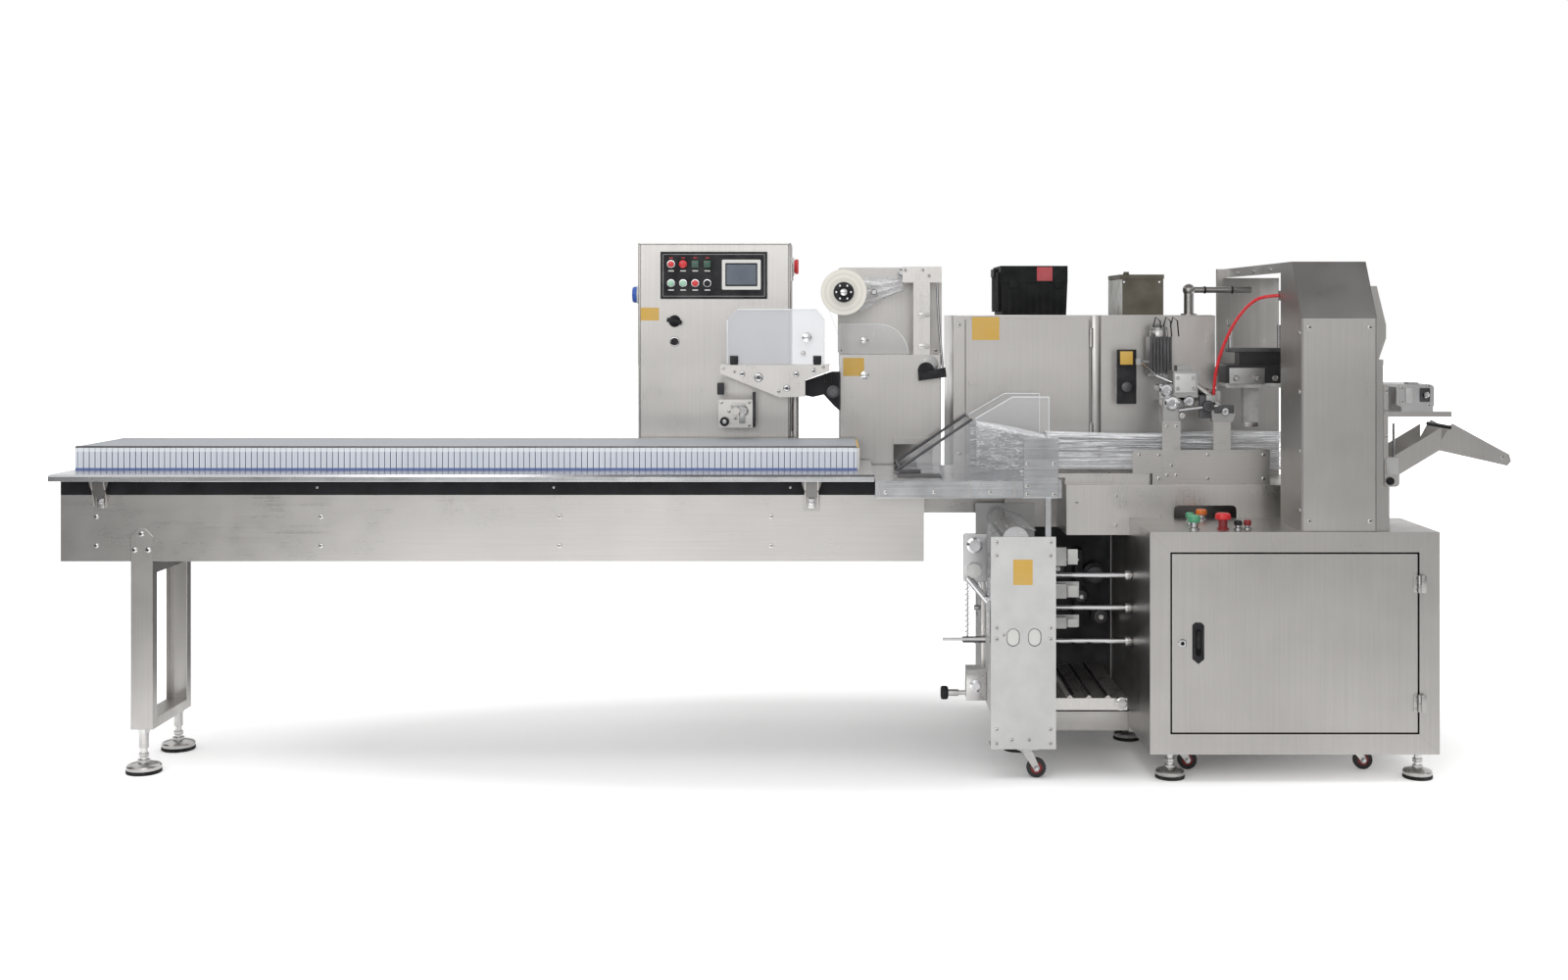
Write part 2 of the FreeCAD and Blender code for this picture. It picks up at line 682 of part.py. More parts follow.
def stand_plate():
    """Backing plate with a foot flange, the fixed reel spindle and a deflecting pin."""
    y = BACK_PLATE_Y
    plate = rounded(
        box(BACK_PLATE_START, BACK_PLATE_START + BACK_PLATE_WIDTH, y, y + PLATE, STAND_TOP,
            STAND_TOP + BACK_PLATE_HEIGHT),
        10, Vector(0, 1, 0),
    )
    foot = box(STAND_START + 4, STAND_END, y + PLATE, y + PLATE + 30, STAND_TOP, STAND_TOP + 4)
    spindle = rod_y(REEL_X, REEL_Z, SPINDLE_RADIUS, REEL_FRONT - 12, y)
    collar = rod_y(REEL_X, REEL_Z, SPINDLE_RADIUS + 9, y - 9.5, y)
    pin = rod_y(2400, 1410, 9, y - 60, y)
    return [union(plate, foot, spindle, collar, pin)]


def film_reel():
    """Film wound on a core, with the black chuck standing a little proud of the roll."""
    roll = rod_y(REEL_X, REEL_Z, REEL_RADIUS, REEL_FRONT, REEL_FRONT + REEL_WIDTH)
    chuck = rod_y(REEL_X, REEL_Z, REEL_CORE_RADIUS, REEL_FRONT - 8, REEL_FRONT)
    bore = rod_y(REEL_X, REEL_Z, SPINDLE_RADIUS + FIT, REEL_FRONT - 9, REEL_FRONT + REEL_WIDTH + 1)
    return [union(roll, chuck).cut(bore)]


def stand_rail():
    """Slotted upright for the dancer, its head bracket and the pin of the guide roller."""
    y0 = STAND_FRONT + 3
    rail_top = STAND_TOP + 260
    rail = box(RAIL_X, RAIL_X + RAIL_WIDTH, y0, y0 + RAIL_DEPTH, STAND_TOP, rail_top)
    slot_x = RAIL_X + RAIL_WIDTH / 2
    slot = box(slot_x - RAIL_SLOT / 2, slot_x + RAIL_SLOT / 2, y0, y0 + RAIL_DEPTH / 2, STAND_TOP + 40, rail_top - 70)
    head = box(ROLLER_X - 16, RAIL_X + 90, y0, y0 + PLATE, rail_top - 30, rail_top + 21)
    strap = box(RAIL_X, RAIL_X + 90, y0 + PLATE, BACK_PLATE_Y, rail_top + 15, rail_top + 21)
    pin = rod_y(ROLLER_X, ROLLER_Z, ROLLER_PIN_RADIUS, y0 + PLATE, BACK_PLATE_Y)
    return [union(rail.cut(slot), head, strap, pin)]


def stand_roller():
    y0, y1 = STAND_FRONT + 3 + PLATE + RUN_GAP, BACK_PLATE_Y - RUN_GAP
    body = rod_y(ROLLER_X, ROLLER_Z, ROLLER_RADIUS, y0, y1)
    return [body.cut(rod_y(ROLLER_X, ROLLER_Z, ROLLER_PIN_RADIUS + FIT, y0 - 1, y1 + 1))]


def stand_guard():
    """Clear guard plate with one rounded shoulder."""
    y = STAND_FRONT + 8
    left, right, top = STAND_START, 2508.0, STAND_TOP + 100
    low = STAND_TOP
    start, end = Vector(2400, y, top), Vector(right, y, low)
    mid = Vector(2470, y, top - 30)
    edges = [
        Part.makeLine(Vector(left, y, low), Vector(left, y, top)),
        Part.makeLine(Vector(left, y, top), start),
        Part.Arc(start, mid, end).toShape(),
        Part.makeLine(end, Vector(left, y, low)),
    ]
    return [Part.Face(Part.Wire(edges)).extrude(Vector(0, 4, 0))]


def stand_lever():
    """Clamp lever with its boss, and a small knob."""
    boss = rod_y(2562, 1160, 26, STAND_FRONT - 8, STAND_FRONT)
    grip = prism_xz(((2538, 1128), (2626, 1140), (2622, 1170), (2536, 1152)), STAND_FRONT - 32, STAND_FRONT - 8)
    knob = union(
        rod_y(2367, 1145, 13, STAND_FRONT - 5, STAND_FRONT), rod_y(2367, 1145, 7, STAND_FRONT - 11, STAND_FRONT - 5)
    )
    return [union(boss, grip), knob]


# ---- forming section ----
def forming_table():
    """Folded table with a deep front lip and an upright end plate."""
    back = HOUSING_FRONT
    profile = (
        (FORM_FRONT, FORM_TOP - FORM_LIP), (FORM_FRONT + TABLE_SHEET, FORM_TOP - FORM_LIP),
        (FORM_FRONT + TABLE_SHEET, FORM_TOP - TABLE_SHEET), (back - TABLE_SHEET, FORM_TOP - TABLE_SHEET),
        (back - TABLE_SHEET, FORM_TOP - 24), (back, FORM_TOP - 24), (back, FORM_TOP), (FORM_FRONT, FORM_TOP),
    )
    table = prism_yz(profile, FORM_START, FORM_END)
    upright = box(FORM_END - 111, FORM_END - 10, FORM_FRONT - 4, FORM_FRONT, FORM_TOP - 48, FORM_TOP + 124)
    post = box(FORM_END - 46, FORM_END - 30, FORM_FRONT + TABLE_SHEET, FORM_FRONT + 20, LOWER_TOP - 50,
               FORM_TOP - TABLE_SHEET)
    return [union(table, upright, post)]


def former_box():
    """Two clear side panels with sloping leading edges."""
    return [
        prism_xz(FORMER_OUTLINE, y, y + FORMER_PANEL) for y in (FORMER_FRONT, FORMER_BACK)
    ]


def former_bars():
    """Round bars that the film folds over, one on each sloping edge."""
    (xa, za), (xb, zb) = FORMER_OUTLINE[0], FORMER_OUTLINE[1]
    length = math.hypot(xb - xa, zb - za)
    ux, uz = (xb - xa) / length, (zb - za) / length
    rise = FORMER_BAR_RADIUS
    bars = []
    for y in (FORMER_FRONT, FORMER_BACK):
        foot = Vector(xa + 8 * ux - rise * uz, y + FORMER_PANEL / 2, za + 8 * uz + rise * ux)
        bars.append(Part.makeCylinder(FORMER_BAR_RADIUS, length - 16, foot, Vector(ux, 0, uz)))
    return bars


def film_tube():
    """Film closed to a tube, open at both ends."""
    low = FILM_BED_TOP + RUN_GAP
    y0, y1 = FILM_FRONT, FILM_FRONT + FILM_WIDTH
    outer = rounded(box(FILM_START, FILM_END, y0, y1, low, low + FILM_HEIGHT), 20, Vector(1, 0, 0))
    inner = rounded(
        box(FILM_START, FILM_END, y0 + FILM_WALL, y1 - FILM_WALL, low + FILM_WALL, low + FILM_HEIGHT - FILM_WALL),
        20 - FILM_WALL, Vector(1, 0, 0),
    )
    return [outer.cut(inner)]


# ---- lower film unit ----
def oval_hole(x, z, width, height, y0, y1):
    straight = height - width
    middle = box(x - width / 2, x + width / 2, y0, y1, z - straight / 2, z + straight / 2)
    ends = [rod_y(x, z + k * straight / 2, width / 2, y0, y1) for k in (-1, 1)]
    return union(middle, *ends)


def lower_unit_frame():
    """Front and rear plates, the side plate that runs on the guide rods, the low tie with its bracket and knob."""
    y0, y1 = LOWER_FRONT, LOWER_FRONT + PLATE
    front = box(LOWER_START, LOWER_END, y0, y1, LOWER_BOTTOM, LOWER_TOP)
    for x in (LOWER_START + 64, LOWER_START + 126):
        front = front.cut(oval_hole(x, 410, 38, 52, y0 - 1, y1 + 1))
    foot = box(LOWER_START, LOWER_END, y1, y1 + 65, LOWER_BOTTOM, LOWER_BOTTOM + 6)
    mount = box(
        CASTERS[0][1] - CASTER_PLATE_SIDE / 2, CASTERS[0][1] + CASTER_PLATE_SIDE / 2,
        CASTERS[0][2] - CASTER_PLATE_SIDE / 2, CASTERS[0][2] + CASTER_PLATE_SIDE / 2,
        LOWER_BOTTOM - CASTER_PLATE, LOWER_BOTTOM,
    )
    rear = box(LOWER_START, LOWER_END, LOWER_REAR, HOUSING_FRONT, 160, 740)
    side = box(LOWER_END - 6, LOWER_END, y1, LOWER_REAR, 300, 600)
    for z in ROD_LEVELS:
        side = side.cut(rod_x(ROD_Y, z, ROD_RADIUS + FIT, LOWER_END - 7, LOWER_END + 1))
    low_side = box(LOWER_END - 6, LOWER_END, y1, LOWER_REAR, 190, 240)
    blocks = [
        box(LOWER_END, LOWER_END + 102, ROD_Y - 20, ROD_Y - 15, z0, z1)
        for z0, z1 in ((596, 600), (485, 532), (396, 432))
    ]
    tie = box(LOWER_START, LOWER_START + 5, y1, LOWER_REAR, 190, 390)
    tie = tie.cut(rod_x(ROD_Y, ROD_LEVELS[0], ROD_RADIUS + FIT, LOWER_START - 1, LOWER_START + 6))
    bracket = box(LOWER_START - 58, LOWER_START, 160, 240, 200, 290)
    shaft = rod_x(200, 215, 7, LOWER_START - 133, LOWER_START - 58)
    knob = rod_x(200, 215, 16, LOWER_START - 133, LOWER_START - 113)
    pin = rod_x(200, 374, 5, LOWER_START - 128, LOWER_START)
    pins = [
        rod_y(x, z, LOWER_PIN_RADIUS, y1, LOWER_REAR) for x, z in (TOP_ROLLER, MID_ROLLER)
    ]
    return [union(front, foot, mount, rear, side, low_side, tie, bracket, shaft, knob, pin, *blocks, *pins)]


def guide_rods():
    """Three round bars, screwed to the side of the cabinet, that carry the lower film unit."""
    return [rod_x(ROD_Y, z, ROD_RADIUS, ROD_START, CAB_START) for z in ROD_LEVELS]


def film_tray():
    """Shelf of folded sheet beside the lower unit, with pressed ridges and a round end boss."""
    y0, y1 = 55.0, LOWER_REAR - 5
    sheet = box(LOWER_END, TRAY_END, y0, y1, TRAY_TOP - 4, TRAY_TOP)
    front = box(LOWER_END, TRAY_END, y0, y0 + 8, TRAY_TOP - TRAY_HEIGHT, TRAY_TOP)
    end = box(TRAY_END - 8, TRAY_END, y0, y1, TRAY_TOP - TRAY_HEIGHT, TRAY_TOP)
    ridges = [
        prism_xz(((x - 9, TRAY_TOP), (x + 9, TRAY_TOP), (x, TRAY_TOP + 7)), y0 + 8, y1) for x in (2950, 3005, 3060)
    ]
    boss = rod_y(TRAY_END - 20, TRAY_TOP - 17, 17, y0 - 8, y0)
    return [union(sheet, front, end, boss, *ridges)]


def lower_roller(centre, radius, flange=None):
    x, z = centre
    y0, y1 = LOWER_FRONT + PLATE + RUN_GAP, LOWER_REAR - RUN_GAP
    body = rod_y(x, z, radius, y0, y1)
    if flange:
        body = union(body, rod_y(x, z, flange, y1 - 46, y1 - 34))
    return body.cut(rod_y(x, z, LOWER_PIN_RADIUS + FIT, y0 - 1, y1 + 1))


# ---- casters ----
def caster_fork(x, y, face):
    """Crown under the swivel plate and two legs that trail to the axle."""
    top = face - CASTER_PLATE - RUN_GAP
    crown = rod_z(x, y, FORK_CROWN_RADIUS, top - FORK_CROWN, top)
    inner = WHEEL_WIDTH / 2 + 1
    axle_x = x + TRAIL
    low = top - FORK_CROWN
    outline = (
        (x - 14, low), (x + 16, low), (axle_x + 9, WHEEL_CENTRE), (axle_x + 4, WHEEL_CENTRE - 9),
        (axle_x - 5, WHEEL_CENTRE - 9), (axle_x - 10, WHEEL_CENTRE),
    )
    legs = [
        prism_xz(outline, y0, y0 + FORK_LEG) for y0 in (y - inner - FORK_LEG, y + inner)
    ]
    axle = rod_y(axle_x, WHEEL_CENTRE, AXLE_RADIUS, y - inner - FORK_LEG - 3, y + inner + FORK_LEG + 3)
    return union(crown, *legs, axle)


def caster_wheel(x, y):
    half = WHEEL_WIDTH / 2
    axle_x = x + TRAIL
    tyre = rod_y(axle_x, WHEEL_CENTRE, WHEEL_RADIUS, y - half, y + half)
    tyre = tyre.makeFillet(4, [e for e in tyre.Edges if e.Curve.TypeId == "Part::GeomCircle"])
    for side in (-1, 1):
        y0, y1 = sorted((y + side * half, y + side * (half - 3)))
        tyre = tyre.cut(rod_y(axle_x, WHEEL_CENTRE, 17, y0, y1).cut(rod_y(axle_x, WHEEL_CENTRE, 9, y0, y1)))
    return tyre.cut(rod_y(axle_x, WHEEL_CENTRE, AXLE_RADIUS + FIT, y - half - 1, y + half + 1))


# ---- main cabinet ----
def cabinet_sides():
    return [
        box(x, x + SHEET, CAB_FRAME_DEPTH, CAB_DEPTH, CAB_BOTTOM, CAB_TOP) for x in (CAB_START, CAB_END - SHEET)
    ]


def cabinet_decks():
    """Top plate and floor plate, the floor with the two caster plates under it."""
    x0, x1 = CAB_START + SHEET, CAB_END - SHEET
    top = box(x0, x1, CAB_FRAME_DEPTH, CAB_DEPTH, CAB_TOP - SHEET, CAB_TOP)
    floor = box(x0, x1, CAB_FRAME_DEPTH, CAB_DEPTH, CAB_BOTTOM, CAB_BOTTOM + SHEET)
    side = CASTER_PLATE_SIDE / 2
    mounts = [
        box(x - side, x + side, y - side, y + side, CAB_BOTTOM - CASTER_PLATE, CAB_BOTTOM)
        for _, x, y, face in CASTERS if face == CAB_BOTTOM
    ]
    return [top, union(floor, *mounts)]


def hinge_heights():
    return DOOR_BOTTOM + HINGE_INSET, DOOR_TOP - HINGE_INSET


def hinge_half(z, leaf_x0, leaf_x1, upper):
    """One leaf with its half of the barrel."""
    low, high = (z + 0.25, z + HINGE_HEIGHT / 2) if upper else (z - HINGE_HEIGHT / 2, z - 0.25)
    leaf = box(leaf_x0, leaf_x1, -HINGE_LEAF_THICKNESS, 0, z - HINGE_HEIGHT / 2, z + HINGE_HEIGHT / 2)
    barrel = rod_z(DOOR_AXIS[0], DOOR_AXIS[1], HINGE_PIN_RADIUS, low, high)
    near = leaf_x0 if leaf_x0 > DOOR_AXIS[0] else leaf_x1
    x0, x1 = sorted((DOOR_AXIS[0], near + (4 if near > DOOR_AXIS[0] else -4)))
    web = box(x0, x1, DOOR_AXIS[1] - 1, DOOR_AXIS[1] + 1, low, high)
    drop = box(min(near, x0 if near < DOOR_AXIS[0] else near), max(near, x1 if near > DOOR_AXIS[0] else near),
               DOOR_AXIS[1] - 1, 0, low, high)
    return union(leaf, barrel, web, drop)


def cabinet_frame():
    """Mitred front frame, 25 mm deep, with the fixed hinge leaves."""
    outer = box(CAB_START, CAB_END, 0, CAB_FRAME_DEPTH, CAB_BOTTOM, CAB_TOP)
    hole = box(
        CAB_START + CAB_STILE, CAB_END - CAB_STILE, -1, CAB_FRAME_DEPTH + 1, CAB_BOTTOM + CAB_STILE, CAB_TOP - CAB_STILE
    )
    leaf_x = DOOR_RIGHT + DOOR_GAP
    leaves = [hinge_half(z, leaf_x, leaf_x + HINGE_LEAF, False) for z in hinge_heights()]
    return [union(outer.cut(hole), *leaves)]


def cabinet_door():
    """Door pan: front sheet with folded rims."""
    outer = box(DOOR_LEFT, DOOR_RIGHT, 0, DOOR_DEPTH, DOOR_BOTTOM, DOOR_TOP)
    inner = box(
        DOOR_LEFT + SHEET, DOOR_RIGHT - SHEET, SHEET, DOOR_DEPTH + 1, DOOR_BOTTOM + SHEET, DOOR_TOP - SHEET
    )
    return [outer.cut(inner)]


def door_fittings():
    """Recessed pull, cam lock and the moving hinge leaves."""
    x0 = DOOR_LEFT + HANDLE_INSET
    x1 = x0 + HANDLE_WIDTH
    middle = (DOOR_BOTTOM + DOOR_TOP) / 2
    z0, z1 = middle - HANDLE_HEIGHT / 2, middle + HANDLE_HEIGHT / 2
    pull = prism_xz(
        ((x0, z0 + 14), ((x0 + x1) / 2, z0), (x1, z0 + 14), (x1, z1 - 8), (x1 - 8, z1), (x0 + 8, z1), (x0, z1 - 8)),
        -HANDLE_RISE, 0,
    )
    cup = oval_hole((x0 + x1) / 2, middle + 2, HANDLE_WIDTH - 14, HANDLE_HEIGHT - 34, -HANDLE_RISE - 1, -2)
    lock = union(
        rod_y(DOOR_LEFT + LOCK_INSET, middle, LOCK_RADIUS, -4, 0),
        rod_y(DOOR_LEFT + LOCK_INSET, middle, LOCK_RADIUS - 5, -6, -4),
    )
    leaf_x = DOOR_RIGHT
    leaves = [hinge_half(z, leaf_x - HINGE_LEAF, leaf_x, True) for z in hinge_heights()]
    return [pull.cut(cup), lock, *leaves]


def top_button(x, y, stem_radius, stem_height, head_radius, head_height):
    base = rod_z(x, y, stem_radius + 4, CAB_TOP, CAB_TOP + 5)
    stem = rod_z(x, y, stem_radius, CAB_TOP + 5, CAB_TOP + stem_height)
    head = rod_z(x, y, head_radius, CAB_TOP + stem_height, CAB_TOP + stem_height + head_height)
    return union(base, stem, head)


def top_buttons():
    """Push buttons, stop button and key switch on the cabinet top."""
    return [
        top_button(3309, 65, 12, 20, 18, 21),
        top_button(3330, 224, 9, 14, 13, 16),
        top_button(3378, 290, 12, 16, 17, 17),
        top_button(3393, 65, 13, 28, 23, 19),
        top_button(3436, 62, 9, 12, 12, 14),
        top_button(3466, 75, 8, 10, 11, 16),
    ]


# ---- base and rear housing ----
def main_base():
    return [box(CAB_START, CAB_START + BASE_LENGTH, CAB_DEPTH, MACHINE_DEPTH, BASE_BOTTOM, BASE_TOP)]


def bay_frame():
    """Back of the film bay and the low rails around its floor."""
    back = box(BAY_START, CAB_START, BAY_BACK, MACHINE_DEPTH, BASE_BOTTOM, BASE_TOP)
    rail_top = BASE_BOTTOM + BAY_RAIL_HEIGHT
    rail_back = BAY_RAIL_FRONT + BAY_RAIL_WIDTH
    rail = box(BAY_START, CAB_START, BAY_RAIL_FRONT, rail_back, BASE_BOTTOM, rail_top)
    side = box(BAY_START, BAY_START + 40, rail_back, BAY_BACK, BASE_BOTTOM, rail_top)
    return [union(back, rail, side)]


def rear_housing():
    """Closed housing on its plinth, with the raised front panel, a rounded column and a latch."""
    x0, x1 = HOUSING_START, HOUSING_START + HOUSING_LENGTH
    end = CAB_START + BASE_LENGTH
    outline = (
        (BAY_START, BASE_TOP), (end, BASE_TOP), (end, HOUSING_STEP), (x1, HOUSING_STEP), (x1, HOUSING_TOP),
        (x0, HOUSING_TOP), (x0, HOUSING_STEP), (BAY_START, HOUSING_STEP),
    )
    body = prism_xz(outline, HOUSING_FRONT, MACHINE_DEPTH)
    panel_low, panel_top = FORM_TOP + 2, HOUSING_TOP - 13
    panel_end = PANEL_START + PANEL_LENGTH
    panel = box(PANEL_START, panel_end, HOUSING_FRONT - PANEL_RISE, HOUSING_FRONT, panel_low, panel_top)
    column = rod_z(panel_end + COLUMN_RADIUS, HOUSING_FRONT + 14, COLUMN_RADIUS, panel_low, HOUSING_TOP)
    latch = rod_y(PANEL_START + 21, HOUSING_TOP - 207, 14, HOUSING_FRONT - PANEL_RISE - 10, HOUSING_FRONT - PANEL_RISE)
    return [union(body, panel, column, latch)]


def tool_case():
    """Moulded case with a tapered body, a lid and ribbed ends."""
    x0, y0, z0 = CASE_START, HOUSING_FRONT + CASE_SETBACK, HOUSING_TOP
    w, d, h = CASE_SIZE
    lid_z = z0 + h * 0.68
    wires = [
        Part.makePolygon([Vector(x0 + i, y0 + i, z), Vector(x0 + w - i, y0 + i, z), Vector(x0 + w - i, y0 + d - i, z),
                          Vector(x0 + i, y0 + d - i, z), Vector(x0 + i, y0 + i, z)])
        for i, z in ((5, z0), (1, lid_z))
    ]
    body = Part.makeLoft(wires, True, True)
    lid = rounded(box(x0, x0 + w, y0, y0 + d, lid_z, z0 + h), 6, Vector(0, 0, 1))
    ribs = [
        box(x0 - 6, x0 + 6, y0 + 40 + k * 60, y0 + 60 + k * 60, z0 + 12, lid_z + 20) for k in range(4)
    ]
    grip = box(x0 - 14, x0, y0 + 90, y0 + 190, z0 + h - 34, z0 + h - 8)
    return [union(body, lid, grip, *ribs)]


def junction_box():
    x0, y0, z0 = JUNCTION_START, HOUSING_FRONT + CASE_SETBACK, HOUSING_TOP
    w, d, h = JUNCTION_SIZE
    body = box(x0 + 2, x0 + w - 2, y0 + 2, y0 + d - 2, z0, z0 + h - 14)
    lid = box(x0, x0 + w, y0, y0 + d, z0 + h - 14, z0 + h)
    gland = rod_z(x0 + 30, y0 + 60, 9, z0 + h, z0 + h + 10)
    return [union(body, lid, gland)]


def conduit():
    """Cable conduit: upright, elbow body and a thinner arm towards the end seal."""
    z = HOUSING_TOP + CONDUIT_RISE
    upright = rod_z(CONDUIT_X, CONDUIT_Y, CONDUIT_RADIUS, HOUSING_TOP, z + 8)
    elbow = Part.makeSphere(CONDUIT_RADIUS + 4, Vector(CONDUIT_X, CONDUIT_Y, z))
    arm = rod_x(CONDUIT_Y, z, CONDUIT_ARM_RADIUS, CONDUIT_X, CONDUIT_X + CONDUIT_REACH)
    flange = rod_z(CONDUIT_X, CONDUIT_Y, CONDUIT_RADIUS + 10, HOUSING_TOP, HOUSING_TOP + 6)
    return [union(upright, elbow, arm, flange)]


# ---- centre seal ----
def sealing_deck():
    """Hood behind the cabinet: front panel with a notch, top plate, end plates and the bed under the film."""
    y0, y1 = CAB_DEPTH, HOUSING_FRONT
    front = box(DECK_START, DECK_END, y0, y0 + TABLE_SHEET, BASE_TOP, DECK_TOP)
    notch = box(
        NOTCH_START, NOTCH_START + NOTCH_LENGTH, y0 - 1, y0 + TABLE_SHEET + 1, BASE_TOP - 1, BASE_TOP + NOTCH_HEIGHT
    )
    tops = [e for e in edges_along(notch, Vector(0, 1, 0)) if e.BoundBox.ZMin > BASE_TOP]
    front = front.cut(notch.makeFillet(NOTCH_CORNER, tops))
    top = box(DECK_START, DECK_END, y0 + TABLE_SHEET, y1, DECK_TOP - TABLE_SHEET, DECK_TOP)
    ends = [
        box(x, x + TABLE_SHEET, y0 + TABLE_SHEET, y1, BASE_TOP, DECK_TOP - TABLE_SHEET)
        for x in (DECK_START, DECK_END - TABLE_SHEET)
    ]
    bed = box(FORM_END, DECK_START, FILM_FRONT, FILM_FRONT + FILM_WIDTH, FILM_BED_TOP - 14, FILM_BED_TOP)
    bed_foot = box(DECK_START, 3243, FILM_FRONT, FILM_FRONT + FILM_WIDTH, DECK_TOP, FILM_BED_TOP)
    return [union(front, top, *ends, bed, bed_foot)]


def seal_plates():
    """Step plate along the film and the two posts of the seal head."""
    y = CAB_DEPTH + 6
    step = prism_xz(
        (
            (3243, DECK_TOP), (3602, DECK_TOP), (3602, STEP_PLATE_TOP), (3190, STEP_PLATE_TOP),
            (3182, STEP_PLATE_TOP - 8), (3182, DECK_TOP + 35), (3243, DECK_TOP + 35),
        ),
        y, y + SHEET,
    )
    near = box(3272, 3328, y - 4, y, DECK_TOP, POST_TOP)
    far = box(3430, 3483, y + SHEET, y + SHEET + 4, DECK_TOP, POST_TOP - 2)
    return [union(step, near, far)]


def seal_head():
    """Carriage of the centre seal on the housing, with its block, links, rollers, clamp and finned heater."""
    face = HOUSING_FRONT
    arm = box(3290, 3400, 440, face, 1070, 1150)
    block = rounded(box(3304, 3378, 340, 440, 1085, 1165), 4, Vector(0, 1, 0))
    cap = box(3318, 3364, 352, 400, 1165, 1182)
    link = box(3275, 3322, 352, 366, POST_TOP, 1092)
    rollers = [rod_y(3322, 1062, 19, 368, 440), rod_y(3352, 1074, 12, 346, 440)]
    cross = rod_x(392, 1100, 10, 3378, 3452)
    clamp = prism_xz(((3425, 1010), (3488, 1010), (3496, 1034), (3452, 1064), (3420, 1064)), 350, 379)
    riser = box(3436, 3456, 379, 402, 1030, 1104)
    hose_port = rod_z(HOSE_ROUTE[0][0], HOSE_ROUTE[0][1], 8, 1058, HOSE_ROUTE[0][2])
    switch = box(3165, 3217, 520, face, 1059, 1224)
    lever = rod_x(500, 1190, 6, 3217, 3290)
    lever_foot = box(3217, 3232, 494, 521, 1180, 1200)
    fins = []
    fin_count, fin_pitch, fin = 7, 10.6, 5.0
    for k in range(fin_count):
        left = 3254 + k * fin_pitch
        fins.append(box(left, left + fin, 462, 478, 1150, 1268))
    heater = box(3254, 3254 + (fin_count - 1) * fin_pitch + fin, 478, 530, 1150, 1268)
    dome = rod_z(3289, 500, 27, 1268, 1306)
    dome = dome.makeFillet(14, [e for e in dome.Edges if e.Curve.TypeId == "Part::GeomCircle" and e.BoundBox.ZMin > 1300])
    seat = box(3254, 3328, 462, 530, 1146, 1150)
    return [
        union(arm, block, cap, link, *rollers, cross, clamp, riser, hose_port, heater, *fins, dome, seat, lever,
              lever_foot, switch)
    ]


# ---- end seal ----
def seal_profile():
    return (
        (SEAL_FRONT, CAB_TOP), (SEAL_FRONT, SEAL_KNEE), (SEAL_FRONT + SEAL_SLOPE_DEPTH, SEAL_TOP),
        (SEAL_BACK_OF_SIDES, SEAL_TOP), (SEAL_BACK_OF_SIDES, CAB_TOP),
    )


def seal_cover():
    """Front cover folded over the sloping shoulder."""
    slope = math.atan2(SEAL_TOP - SEAL_KNEE, SEAL_SLOPE_DEPTH)
    knee_in = SHEET * math.tan((math.pi / 2 - slope) / 2)
    top_in = SHEET * math.tan(slope / 2)
    shoulder_y = SEAL_FRONT + SEAL_SLOPE_DEPTH
    outline = (
        (SEAL_FRONT, CAB_TOP), (SEAL_FRONT + SHEET, CAB_TOP), (SEAL_FRONT + SHEET, SEAL_KNEE - knee_in),
        (shoulder_y + top_in, SEAL_TOP - SHEET), (SEAL_BACK_OF_SIDES, SEAL_TOP - SHEET),
        (SEAL_BACK_OF_SIDES, SEAL_TOP), (shoulder_y, SEAL_TOP), (SEAL_FRONT, SEAL_KNEE),
    )
    return [prism_yz(outline, SEAL_START + SHEET, SEAL_END - SHEET)]


def seal_sides():
    """Side plates of the end seal; the right one carries the outfeed guard."""
    left = prism_yz(seal_profile(), SEAL_START, SEAL_START + SHEET)
    port = box(SEAL_START, SEAL_START + 35, SEAL_BACK_OF_SIDES, SEAL_BACK_OF_SIDES + 30, 1380, 1410)
    right = prism_yz(seal_profile(), SEAL_END - SHEET, SEAL_END)
    edge = box(SEAL_END, SEAL_END + 19, SEAL_FRONT + 4, SEAL_BACK_OF_SIDES, CAB_TOP, 1209)
    low_edge = box(SEAL_END + 19, SEAL_END + 37, SEAL_FRONT + 4, SEAL_FRONT + 50, CAB_TOP, 844)
    guard = prism_xz(
        (
            (SEAL_END, 1209), (SEAL_END + 24, 1209), (SEAL_END + 45, 1270), (SEAL_END + 45, 1308),
            (SEAL_END + 18, 1421), (SEAL_END, 1421),
        ),
        SEAL_FRONT + 60, SEAL_BACK_OF_SIDES,
    )
    return [union(left, port), union(right, edge, low_edge, guard)]


def seal_top():
    """Roof channel from the shoulder to the back of the machine."""
    low = SEAL_TOP - SEAL_BEAM
    outline = (
        (SEAL_START, low), (SEAL_START + SHEET, low), (SEAL_START + SHEET, SEAL_TOP - SHEET),
        (SEAL_END - SHEET, SEAL_TOP - SHEET), (SEAL_END - SHEET, low), (SEAL_END, low), (SEAL_END, SEAL_TOP),
        (SEAL_START, SEAL_TOP),
    )
    return [prism_xz(outline, SEAL_BACK_OF_SIDES, MACHINE_DEPTH)]


def seal_rear_wall():
    """Rear wall and its corner post."""
    low = SEAL_TOP - SEAL_BEAM
    wall = box(SEAL_START, SEAL_END - 26, MACHINE_DEPTH - 4, MACHINE_DEPTH, HOUSING_STEP, low)
    post = box(SEAL_START - 25, SEAL_START, MACHINE_DEPTH - 20, MACHINE_DEPTH, HOUSING_STEP, SEAL_TOP)
    return [union(wall, post)]


def jaw_head():
    """Upper jaw carriage on an arm from the rear wall."""
    bracket = rounded(box(3477, 3654, 400, 500, 1112, 1182), 5, Vector(0, 1, 0))
    block = box(3523, 3669, 420, 480, 1182, 1231)
    column = box(3540, 3586, 430, 470, 992, 1112)
    arm = box(3608, 3648, 500, MACHINE_DEPTH - 4, 1120, 1170)
    return [union(bracket, block, column, arm)]


